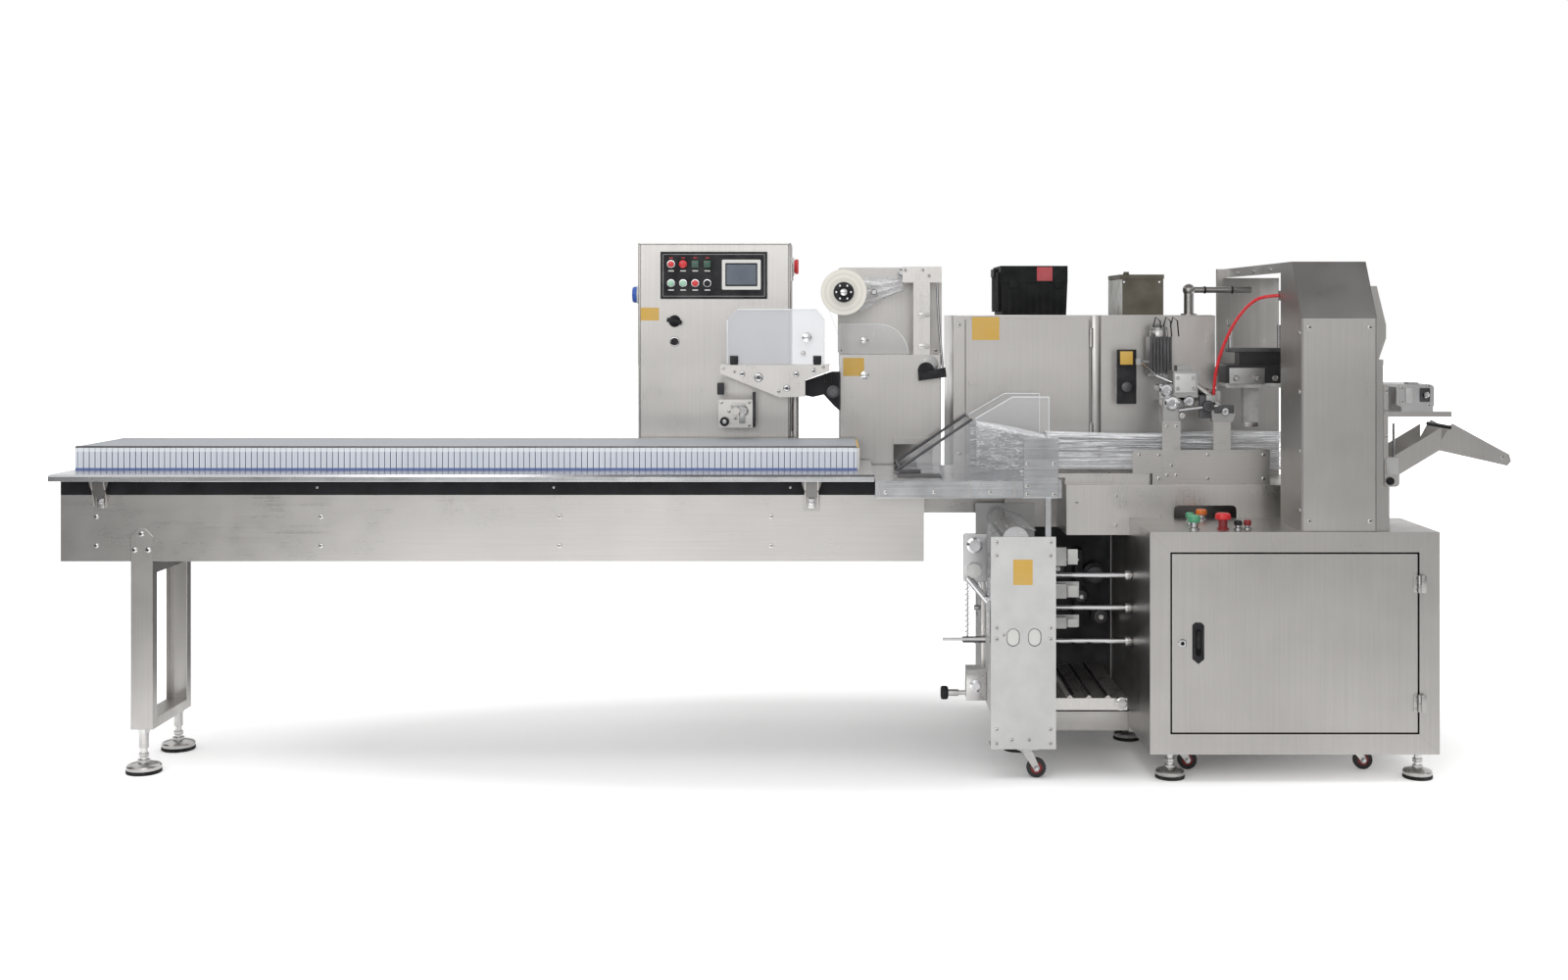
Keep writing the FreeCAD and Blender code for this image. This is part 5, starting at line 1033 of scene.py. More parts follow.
        points = [(rail_low.x + dx * MM, rail_low.y, rail_high.z - dz * MM)
            for dx, dz in ((8, 12), (64, 12), (84, 30))]
        points += [(low("stand_plate").x + dx * MM, high("stand_plate").y - 0.035,
            low("stand_plate").z + dz * MM) for dx, dz in ((12, 12), (322, 12), (322, 262))]
        screws("stand_screws", points, scale=0.9)

    def guard_edge(self, kit, a, b):
        """Pale edge round the clear guard and its clamp knob."""
        y, edge = a.y + 0.001, "acrylic_edge"
        curve = [(a.x + 0.120 + 0.100 * math.sin(k * math.pi / 16), y,
            a.z + 0.002 + 0.096 * math.cos(k * math.pi / 16)) for k in range(9)]
        kit.tube([(a.x + 0.001, y, a.z + 0.002), (a.x + 0.001, y, b.z - 0.002), *curve], 0.0012, edge, 8)
        knob = (a.x + 0.081, y, a.z + 0.046)
        kit.lathe(((12, 0), (12, 4), (6, 6), (6, 12), (3, 13)), knob, "plated", 24)

    def web(self):
        """Film drawn from the reel to the roller, and the tail that runs down to the guide unit."""
        reel_low, reel_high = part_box("film_reel")
        hub = (reel_low + reel_high) / 2
        y0, y1 = reel_high.y - 0.118, reel_high.y - 0.004
        roller = (low("stand_roller") + high("stand_roller")) / 2
        rows, strands = [], 10
        for k in range(12):
            t = k / 11
            x = hub.x + 0.050 + t * (roller.x - hub.x - 0.062)
            top = (hub.z + 0.056) * (1 - t) + (roller.z + 0.004) * t - 0.010 * math.sin(math.pi * t)
            foot = (hub.z - 0.062) * (1 - t) ** 1.2 + (roller.z - 0.050) * (1 - (1 - t) ** 1.2)
            rows.append([(x, y0 + 0.030 + 0.012 * math.sin(2.2 * s + 3 * t),
                foot + (top - foot) * s / strands) for s in range(strands + 1)])
        film_sheet("reel_web", rows, "web", ripple=0.0012, seed=4)
        path = [
            (hub.x - 0.045, hub.z - 0.0575), (hub.x - 0.025, hub.z - 0.110), (hub.x - 0.010, hub.z - 0.155),
            (hub.x + 0.004, hub.z - 0.192),
        ]
        rows = [[(x, y0 + (y1 - y0) * k / 5, z) for k in range(6)] for x, z in path]
        film_sheet("dancer_web", rows, "web", ripple=0.001, seed=9)


class OBJECT_OT_wrapper_forming(bpy.types.Operator):
    """Dress the forming section and wrinkle the film"""

    bl_idname = "object.wrapper_forming"
    bl_label = "Forming section and film"

    def execute(self, context):
        a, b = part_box("former_box")
        kit = Kit()
        edge = "acrylic_edge"
        slope = [(a.x, a.z), (a.x + 0.240, a.z + 0.163), (a.x + 0.353, b.z), (b.x, b.z)]
        for y in (a.y, b.y - 0.004):
            for (xa, za), (xb, zb) in zip(slope[1:], slope[2:]):
                kit.tube([(xa, y + 0.002, za - 0.001), (xb, y + 0.002, zb - 0.001)], 0.0014, edge, 8)
            kit.tube([(b.x - 0.001, y + 0.002, a.z + 0.002), (b.x - 0.001, y + 0.002, b.z - 0.002)],
                0.0014, edge, 8)
            kit.box((a.x + 0.010, y - 0.010, a.z), (a.x + 0.075, y + 0.014, a.z + 0.010), "cast_dark",
                0.002)
            kit.box((b.x - 0.09, y - 0.012, a.z), (b.x - 0.03, y + 0.016, a.z + 0.008), "plated", 0.002)
        kit.tube([(a.x + 0.012, a.y + 0.002, a.z + 0.014), (a.x + 0.012, b.y - 0.002, a.z + 0.014)], 0.006,
            "cast_dark")
        kit.tube([(a.x + 0.238, a.y + 0.002, a.z + 0.155), (a.x + 0.238, b.y - 0.002, a.z + 0.155)], 0.005,
            "chrome")
        kit.piece("former_trim")
        table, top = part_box("forming_table")
        kit = Kit()
        z = table.z + 0.161
        for dx in (12, 268, 400):
            kit.box((table.x + dx * MM, table.y + 0.0035, z + 0.002),
                (table.x + (dx + 3) * MM, table.y + 0.0045, z + 0.047), "steel_dark", 0.0003)
        kit.box((table.x + 0.07, table.y + 0.10, b.z - 0.2292),
            (table.x + 0.20, table.y + 0.22, b.z - 0.2277), "cast_dark", 0.001)
        kit.piece("forming_table_parts")
        points = [(top.x - dx * MM, table.y, z + dz * MM) for dx, dz in ((100, 12), (24, 12), (100, 36),
            (24, 100), (100, 100))]
        points += [(table.x + dx * MM, table.y + 0.004, z + dz * MM)
            for dx, dz in ((30, 18), (170, 18), (330, 18))]
        screws("forming_screws", points, scale=0.8)
        self.film()
        return {"FINISHED"}

    def film(self):
        """The film tube: pinched and creased between the former and the jaws."""
        a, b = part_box("film_tube")
        rng = random.Random(settings().seed)
        waves = [(rng.uniform(1, 9), rng.randint(4, 15), rng.uniform(0, 6.3), rng.uniform(0.4, 1.0))
            for _ in range(9)]
        bm = bmesh.new()
        steps, around = 110, 96
        half_y, half_z = (b.y - a.y) / 2, (b.z - a.z) / 2
        middle_y, middle_z = (a.y + b.y) / 2, (a.z + b.z) / 2
        ripple = settings().film_ripple
        rings = []
        for i in range(steps + 1):
            along = i / steps
            ring = []
            swell = 0.5 + 0.5 * math.cos(2 * math.pi * along * 1.6 + 0.4)
            height = 0.90 + 0.06 * swell
            for j in range(around):
                angle = 2 * math.pi * j / around
                cy, cz = math.cos(angle), math.sin(angle)
                y = math.copysign(abs(cy) ** 0.55, cy) * (half_y - ripple * 1.1)
                z = math.copysign(abs(cz) ** 0.55, cz) * (half_z - ripple * 1.1)
                z = -half_z + ripple * 1.2 + (z + half_z - ripple * 1.2) * height
                push = sum(w * math.sin(f * along + g * angle + p) for f, g, p, w in waves) / 6
                scale = ripple * (0.25 + 0.75 * (z + half_z) / (2 * half_z))
                ring.append(bm.verts.new((a.x + along * (b.x - a.x), middle_y + y + cy * push * scale,
                                          middle_z + z + cz * push * scale)))
            rings.append(ring)
        for lower, upper in zip(rings, rings[1:]):
            for k in range(around):
                n = (k + 1) % around
                bm.faces.new((lower[k], lower[n], upper[n], upper[k]))
        bm.normal_update()
        if sum(f.normal.dot(f.calc_center_median() - Vector((f.calc_center_median().x, middle_y, middle_z)))
               for f in bm.faces) < 0:
            bmesh.ops.reverse_faces(bm, faces=bm.faces[:])
        bmesh.ops.solidify(bm, geom=bm.faces[:], thickness=0.0006)
        bm.normal_update()
        mesh = bpy.data.meshes.new("creased_film")
        bm.to_mesh(mesh)
        bm.free()
        mesh.materials.append(MATERIALS["film"])
        mesh.polygons.foreach_set("use_smooth", [True] * len(mesh.polygons))
        film = bpy.data.objects.new("creased_film", mesh)
        bpy.context.scene.collection.objects.link(film)
        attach(film, BASE)
        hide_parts("film_tube")
        self.folding_film()

    def folding_film(self):
        """Film drawn over the sloping bars, closing towards the tube."""
        a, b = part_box("former_box")
        tube_low, tube_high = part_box("film_tube")
        rows = []
        for k in range(9):
            t = k / 8
            x = a.x + 0.245 + t * (tube_low.x - a.x - 0.247)
            front = a.y + 0.010 + t * (tube_low.y - a.y)
            back = b.y - 0.012 + t * (tube_high.y - b.y)
            rise = (a.z + 0.150) * (1 - t) + (tube_high.z - 0.024) * t
            foot = a.z + 0.004
            row = [(x, front, foot + (rise - foot) * s) for s in (0.0, 0.33, 0.66, 0.93)]
            row += [(x, front + (back - front) * s, rise + 0.004 * math.sin(6 * s + 5 * t))
                for s in (0.1, 0.35, 0.65, 0.9)]
            row += [(x, back, foot + (rise - foot) * s) for s in (0.93, 0.66, 0.33, 0.0)]
            rows.append(row)
        film_sheet("folding_film", rows, "film", ripple=0.0008, seed=6)


class OBJECT_OT_wrapper_lower_unit(bpy.types.Operator):
    """Dress the lower film unit: screws, slide blocks, knobs, springs and the web"""

    bl_idname = "object.wrapper_lower_unit"
    bl_label = "Lower film unit"

    def execute(self, context):
        a = low("lower_unit_frame")
        plate_x = a.x + 0.133
        edge_screws = [(dx, dz) for dx in (16, 171) for dz in (20, 60, 320, 352, 560, 598)]
        points = places(Vector((plate_x, a.y, a.z)), edge_screws + [(60, 30), (110, 30), (36, 332)])
        screws("lower_plate_screws", points, scale=0.8)
        kit = Kit()
        for dx in (64, 126):
            at = Vector((plate_x + dx * MM, a.y + 0.0045, a.z + 0.325))
            kit.plate(oval(0.034, 0.048), at, 0.0015, "white", 0.0005)
        rods, rods_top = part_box("guide_rods")
        middle_y = (rods.y + rods_top.y) / 2
        for z in (rods.z + 0.008, (rods.z + rods_top.z) / 2 + 0.001, rods_top.z - 0.008):
            kit.lathe(((15, 0), (16, 2), (16, 18), (15, 20)), (rods_top.x - 0.022, middle_y, z), "plated",
                28, axis=RIGHT)
            kit.lathe(((14.5, 0), (15.5, 2), (15.5, 24), (14.5, 26)), (plate_x + 0.190, middle_y, z),
                "cast_dark", 28, axis=RIGHT)
        for z, height in ((0.500, 0.055), (0.402, 0.044), (0.312, 0.034)):
            base = Vector((plate_x + 0.192, middle_y - 0.060, a.z + z))
            kit.box(base, base + Vector((0.055, 0.018, height)), "block_grey", 0.003)
            kit.box(base + Vector((0.058, 0.002, 0.004)), base + Vector((0.088, 0.014, height - 0.006)),
                "white", 0.002)
        knob = Vector((a.x, a.y + 0.171, a.z + 0.130))
        kit.lathe(((17, 0), (20, 4), (20, 16), (17, 21), (9, 22)), knob, "black_plastic", 28, axis=RIGHT)
        kit.lathe(((10, 0), (10, 30)), knob + Vector((0.022, 0, 0)), "plated", 20, axis=RIGHT)
        kit.box((a.x + 0.072, knob.y - 0.046, a.z + 0.116), (a.x + 0.132, knob.y - 0.040, a.z + 0.202),
            "plated", 0.002)
        kit.lathe(((18, 0), (18, 6), (11, 8), (11, 12)), (a.x + 0.100, knob.y - 0.046, a.z + 0.160),
            "chrome")
        tray_low, tray_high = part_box("film_tray")
        kit.lathe(((17, 0), (17, 4), (12, 7), (12, 10), (5, 11)),
            (tray_high.x - 0.018, tray_low.y, tray_low.z + 0.022), "plated", 26)
        for k in range(3):
            x = tray_low.x + (52 + k * 48) * MM
            kit.box((x, tray_low.y + 0.03, tray_high.z - 0.0006),
                (x + 0.007, tray_high.y - 0.03, tray_high.z + 0.0006), "dark_joint_and_painted_shade", 0.0)
        kit.piece("lower_unit_parts")
        self.upper_bearings()
        self.bay()
        self.web()
        return {"FINISHED"}

    def bay(self):
        """Painted shade at the back of the film bay, as a dark sheet on its back wall, and the drives that
        stand before it.
        """
        a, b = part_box("bay_frame")
        wall = low("cabinet_door").y + 0.690
        kit = Kit()
        # Painted shade: a dark sheet over the bay's back wall stands in for the shade there.
        kit.box((a.x + 0.002, wall - 0.002, a.z + 0.006), (b.x - 0.002, wall - 0.0003, b.z - 0.002),
            "painted_shade_dark", 0.0)
        for x, z, r in ((0.300, 0.500, 36), (0.318, 0.365, 30), (0.255, 0.430, 26), (0.180, 0.520, 30)):
            kit.lathe(((r, 0), (r, 30), (r * 0.7, 36), (r * 0.7, 50), (r * 0.3, 52)),
                (a.x + x, wall - 0.002, z), "cast_dark", 30)
            kit.lathe(((r * 0.25, 50), (r * 0.25, 62)), (a.x + x, wall - 0.002, z), "plated", 16)
        # Painted shade: a dark bar behind the drives.
        kit.box((a.x + 0.235, wall - 0.045, 0.330), (a.x + 0.262, wall - 0.002, 0.580), "painted_shade_dark", 0.003)
        kit.piece("bay_drives")

    def upper_bearings(self):
        """Flanged bearing, slotted upright and tension spring left of the plate, under the table."""
        a = low("lower_unit_frame")
        kit = Kit()
        x, y = a.x + 0.110, a.y + 0.190
        kit.box((x - 0.042, y, a.z + 0.455), (x + 0.030, y + 0.012, a.z + 0.600), "aluminium", 0.006)
        kit.lathe(((24, 0), (24, 6), (17, 9), (17, 13), (8, 13)), (x - 0.008, y, a.z + 0.565), "chrome", 30)
        kit.lathe(((22, 0), (22, 10), (19, 12)), (x - 0.010, y, a.z + 0.490), "white", 30)
        kit.tube([(x - 0.030, y - 0.004, a.z + 0.470), (x + 0.045, y - 0.02, a.z + 0.380)], 0.010, "chrome")
        coil = []
        for k in range(140):
            t = k / 139
            coil.append((x - 0.030 + 0.007 * math.cos(60 * t), y + 0.007 * math.sin(60 * t),
                a.z + 0.300 + 0.150 * t))
        kit.tube(coil, 0.0012, "plated", 6)
        kit.tube([(x - 0.030, y, a.z + 0.285), (x - 0.030, y, a.z + 0.462)], 0.003, "chrome")
        kit.box((x - 0.045, y - 0.012, a.z + 0.276), (x + 0.032, y + 0.014, a.z + 0.292), "cast_dark",
            0.003)
        kit.box((x + 0.012, y - 0.002, a.z + 0.110), (x + 0.024, y + 0.008, a.z + 0.456), "steel_light",
            0.001)
        kit.piece("lower_bearings")

    def web(self):
        """Film web up from the tray, over both rollers."""
        top, top_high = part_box("lower_roller_top")
        mid = (low("lower_roller_mid") + high("lower_roller_mid")) / 2
        hub = (top + top_high) / 2
        radius = (top_high.z - top.z) / 2
        y0, y1 = top.y + 0.04, top_high.y - 0.07
        path = [(mid.x - 0.0158, mid.z - 0.20), (mid.x - 0.0160, mid.z), (mid.x - 0.008, mid.z + 0.02)]
        path += [(hub.x - (radius + 0.0008) * math.cos(t), hub.z + (radius + 0.0008) * math.sin(t))
                 for t in (0.0, 0.5, 1.0, 1.5, 2.0)]
        path.append((hub.x + radius * 1.7, hub.z + radius * 0.55))
        rows = [[(x, y0 + (y1 - y0) * k / 6, z) for k in range(7)] for x, z in path]
        film_sheet("lower_web", rows, "web", ripple=0.0006, seed=12)


class OBJECT_OT_wrapper_cabinet(bpy.types.Operator):
    """Dress the cabinet: mitres, painted shade in the door gap, handle, lock, hinges and the buttons on top"""

    bl_idname = "object.wrapper_cabinet"
    bl_label = "Cabinet"

    def execute(self, context):
        a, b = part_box("cabinet_frame")
        door_low, door_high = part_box("cabinet_door")
        kit = Kit()
        stile = 0.058
        for sx, cx in ((1, a.x), (-1, b.x)):
            for sz, cz in ((1, a.z), (-1, b.z)):
                kit.tube([(cx + sx * 0.002, -0.0001 + door_low.y, cz + sz * 0.002),
                    (cx + sx * stile, -0.0001 + door_low.y, cz + sz * stile)], 0.0005, "steel_dark", 6)
        # Painted shade: near-black blocks fill the gap round the door, standing in for the shade inside the
        # cabinet.
        ring = ((a.x + stile, door_low.x - 0.0002, a.z + stile, b.z - stile),
                (door_high.x + 0.0002, b.x - stile, a.z + stile, b.z - stile))
        for x0, x1, z0, z1 in ring:
            kit.box((x0, door_low.y + 0.012, z0), (x1, door_low.y + 0.024, z1), "dark_joint_and_painted_shade", 0.0)
        kit.box((a.x + stile, door_low.y + 0.012, door_high.z + 0.0002),
            (b.x - stile, door_low.y + 0.024, b.z - stile), "dark_joint_and_painted_shade", 0.0)
        kit.box((a.x + stile, door_low.y + 0.012, a.z + stile),
            (b.x - stile, door_low.y + 0.024, door_low.z - 0.0002), "dark_joint_and_painted_shade", 0.0)
        kit.piece("cabinet_seams")
        self.fittings(door_low, door_high)
        self.buttons(b.z)
        self.sides()
        return {"FINISHED"}

    def fittings(self, a, b):
        kit = Kit()
        x = a.x + 0.0745
        z = (a.z + b.z) / 2
        outline = [(-0.0165, -0.045), (0, -0.059), (0.0165, -0.045), (0.0165, 0.051), (0.0085, 0.059),
            (-0.0085, 0.059), (-0.0165, 0.051)]
        kit.plate(outline, (x, a.y, z), 0.0055, "black_plastic", 0.002)
        # Painted shade: a near-black oval in the handle's recess.
        kit.plate(oval(0.017, 0.078), (x, a.y - 0.0056, z + 0.003), 0.0003, "dark_joint_and_painted_shade", 0.0)
        kit.plate(oval(0.011, 0.050), (x, a.y - 0.0059, z + 0.010), 0.0004, "rubber", 0.0002)
        kit.lathe(((12, 0), (12, 2.5), (10.5, 4), (7, 4.2), (7, 6), (3, 6)), (a.x + 0.029, a.y, z),
            "chrome")
        # Painted shade: a near-black disk for the keyhole.
        kit.lathe(((5.5, 5.5), (5.5, 6.2)), (a.x + 0.029, a.y, z), "dark_joint_and_painted_shade", 20)
        axis_x, axis_y = b.x + 0.0025, a.y - 0.008
        for level in (a.z + 0.085, b.z - 0.085):
            kit.box((b.x - 0.013, a.y - 0.003, level - 0.025), (b.x, a.y, level + 0.025), "plated", 0.001)
            kit.lathe(((3.8, 0), (4, 1), (4, 24), (3, 24.7)), (axis_x, axis_y, level + 0.0003), "plated",
                20, axis=UP)
            kit.box((b.x - 0.004, axis_y - 0.001, level + 0.0003),
                (axis_x, axis_y + 0.001, level + 0.0245), "plated", 0.0004)
            kit.box((b.x - 0.004, axis_y - 0.001, level + 0.0003), (b.x, a.y, level + 0.0245), "plated",
                0.0004)
        kit.piece("door_hardware", "door", replaces=("door_fittings",))
        leaves = Kit()
        face = low("cabinet_frame").y
        for level in (a.z + 0.085, b.z - 0.085):
            leaves.box((b.x + 0.0065, face - 0.0022, level - 0.025),
                (b.x + 0.020, face + 0.0002, level + 0.025), "plated", 0.0008)
            leaves.lathe(((3.8, 0), (4, 1), (4, 23), (3, 24.5)), (axis_x, axis_y, level - 0.0247),
                "plated", 20, axis=UP)
            leaves.box((axis_x, axis_y - 0.0036, level - 0.0247),
                (b.x + 0.008, axis_y - 0.0016, level - 0.0005), "plated", 0.0004)
        leaves.piece("frame_hinge_leaves")
        points = [(b.x - 0.007, a.y - 0.003, level + dz) for level in (a.z + 0.085, b.z - 0.085)
            for dz in (-0.016, 0.016)]
        screws("hinge_screws", points, scale=0.42, body="door")

    def buttons(self, top):
        """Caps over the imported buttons, in the colours of their jobs."""
        origin = low("cabinet_frame")
        kit = Kit()
        row = (
            (139, 65, 12, 20, 18, 21, "green"), (160, 224, 9, 14, 13, 16, "green"),
            (208, 290, 12, 16, 17, 17, "amber"),
            (223, 65, 13, 28, 23, 19, "red"), (266, 62, 9, 12, 12, 14, "black_plastic"),
            (296, 75, 8, 10, 11, 16, "dark_red"),
        )
        for x, y, stem_r, stem_h, head_r, head_h, look in row:
            at = Vector((origin.x + x * MM, low("cabinet_door").y + y * MM, top))
            kit.lathe(((stem_r + 4, 0), (stem_r + 4, 4), (stem_r + 2, 5), (stem_r, 6), (stem_r, stem_h)),
                at, "dark_red" if look == "red" else "chrome", 32, axis=UP)
            r, h = head_r, head_h
            kit.lathe(((r * 0.86, 0), (r, h * 0.15), (r, h * 0.55), (r * 0.93, h * 0.85), (r * 0.7, h),
                (r * 0.3, h)), at + Vector((0, 0, stem_h * MM)), look, 36, axis=UP)
        kit.piece("cabinet_top_buttons", replaces=("top_buttons",))

    def sides(self):
        """Seams and fastening screws on the base, the sides and the back."""
        base_low, base_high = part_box("main_base")
        kit = Kit()
        kit.box((base_low.x + 0.06, base_high.y - 0.0008, base_low.z + 0.08),
            (base_high.x - 0.06, base_high.y + 0.0006, base_low.z + 0.083), "dark_joint_and_painted_shade", 0.0)
        kit.box((base_low.x + 0.06, base_high.y - 0.0008, base_high.z - 0.083),
            (base_high.x - 0.06, base_high.y + 0.0006, base_high.z - 0.08), "dark_joint_and_painted_shade", 0.0)
        for x in (base_low.x + 0.06, base_high.x - 0.063, (base_low.x + base_high.x) / 2):
            kit.box((x, base_high.y - 0.0008, base_low.z + 0.08),
                (x + 0.003, base_high.y + 0.0006, base_high.z - 0.08), "dark_joint_and_painted_shade", 0.0)
        # Painted shade: near-black slots for the vents on the side of the base.
        for k in range(12):
            z = base_low.z + 0.16 + k * 0.016
            kit.box((base_high.x - 0.0004, base_low.y + 0.22, z),
                (base_high.x + 0.0012, base_low.y + 0.44, z + 0.006), "dark_joint_and_painted_shade", 0.0)
        kit.piece("base_seams")
        points, ways = [], []
        for x in (base_low.x + 0.08, base_high.x - 0.08, (base_low.x + base_high.x) / 2 - 0.03,
                  (base_low.x + base_high.x) / 2 + 0.03):
            for z in (base_low.z + 0.10, base_high.z - 0.10):
                points.append((x, base_high.y, z))
                ways.append(BACK)
        screws("base_screws", points, ways)


class OBJECT_OT_wrapper_housing(bpy.types.Operator):
    """Dress the rear housing and the boxes on top of it"""

    bl_idname = "object.wrapper_housing"
    bl_label = "Rear housing"

    def execute(self, context):
        a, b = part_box("rear_housing")
        front = a.y + 0.010
        kit = Kit()
        kit.lathe(((14, 0), (14, 3), (11, 6), (6, 9.5)), (a.x + 0.060, front, b.z - 0.207), "cast_dark")
        kit.box((a.x + 0.0375, front - 0.0002, b.z - 0.475), (a.x + 0.0388, front + 0.002, b.z - 0.013),
            "dark_joint_and_painted_shade", 0.0)
        kit.box((a.x + 0.43, front - 0.0002, b.z - 0.475), (a.x + 0.4315, front + 0.002, b.z - 0.013),
            "dark_joint_and_painted_shade", 0.0)
        for z in (b.z - 0.10, b.z - 0.40):
            kit.lathe(((7, 0), (7, 60)), (a.x + 0.436, front - 0.002, z), "plated", 18, axis=UP)
        kit.box((a.x + 0.008, front + 0.002, b.z - 0.0015), (b.x - 0.52, front + 0.02, b.z + 0.0015),
            "steel_light", 0.0005)
        for x in (a.x + 0.20, a.x + 0.60):
            kit.box((x, b.y - 0.0008, b.z - 0.45), (x + 0.003, b.y + 0.0006, b.z - 0.05), "dark_joint_and_painted_shade", 0.0)
        kit.box((a.x + 0.20, b.y - 0.0008, b.z - 0.05), (a.x + 0.603, b.y + 0.0006, b.z - 0.047),
            "dark_joint_and_painted_shade", 0.0)
        kit.box((a.x + 0.20, b.y - 0.0008, b.z - 0.453), (a.x + 0.603, b.y + 0.0006, b.z - 0.45),
            "dark_joint_and_painted_shade", 0.0)
        kit.piece("housing_trim")
        points, ways = [], []
        for x in (a.x + 0.22, a.x + 0.40, a.x + 0.585):
            for z in (b.z - 0.07, b.z - 0.43):
                points.append((x, b.y, z))
                ways.append(BACK)
        points += [(a.x + 0.018, front + 0.004, b.z - 0.03), (a.x + 0.018, front + 0.004, b.z - 0.44)]
        ways += [FRONT] * 2
        screws("housing_screws", points, ways)
        self.case()
        self.junction()
        return {"FINISHED"}

    def case(self):
        """Lid edge, latches, ribs and the bare red sticker on the tool case."""
        a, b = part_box("tool_case")
        front = a.y
        kit = Kit()
        seam = a.z + (b.z - a.z) * 0.68
        kit.box((a.x + 0.013, front - 0.0015, seam - 0.003), (b.x - 0.001, front + 0.004, seam + 0.003),
            "case_plastic", 0.001)
        kit.box((b.x - 0.100, front - 0.0012, b.z - 0.052), (b.x - 0.050, front + 0.0005, b.z - 0.004),
            "sticker_red", 0.0003)
        for k in range(9):
            x = a.x + (30 + k * 22) * MM
            kit.box((x, front - 0.0005, a.z + 0.008), (x + 0.004, front + 0.006, seam - 0.006),
                "case_plastic", 0.0012)
        for k in range(8):
            y = a.y + (20 + k * 28) * MM
            kit.box((a.x + 0.006, y, a.z + 0.02), (a.x + 0.014, y + 0.010, b.z - 0.02), "case_plastic",
                0.002)
        for x in (a.x + 0.055, b.x - 0.030):
            kit.box((x - 0.014, front - 0.004, seam - 0.020), (x + 0.014, front + 0.003, seam + 0.010),
                "case_plastic", 0.003)
        kit.piece("tool_case_parts")

    def junction(self):
        a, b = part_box("junction_box")
        kit = Kit()
        kit.box((a.x - 0.0002, a.y + 0.004, a.z + 0.002), (a.x + 0.0022, b.y - 0.003, b.z - 0.026),
            "galvanised", 0.0005)
        kit.box((a.x + 0.002, a.y + 0.0012, a.z + 0.002), (a.x + 0.008, a.y + 0.004, b.z - 0.026),
            "galvanised", 0.0005)
        kit.lathe(((11, 0), (11, 8), (8, 10), (8, 14)), (a.x + 0.030, a.y + 0.060, b.z - 0.015),
            "black_plastic", 6, axis=UP)
        for x in (a.x + 0.014, b.x - 0.014):
            kit.lathe(((4, 0), (4, 1.5), (2, 2.5)), (x, a.y + 0.002, b.z - 0.034), "chrome", 14)
        line = low("conduit")
        top = high("conduit")
        middle = (line.y + top.y) / 2
        for x in (line.x + 0.075, line.x + 0.165):
            kit.lathe(((10.6, 0), (12.2, 1), (12.2, 6), (10.6, 7)), (x, middle, top.z - 0.020),
                "black_plastic", 24, axis=RIGHT)
        kit.piece("junction_parts")


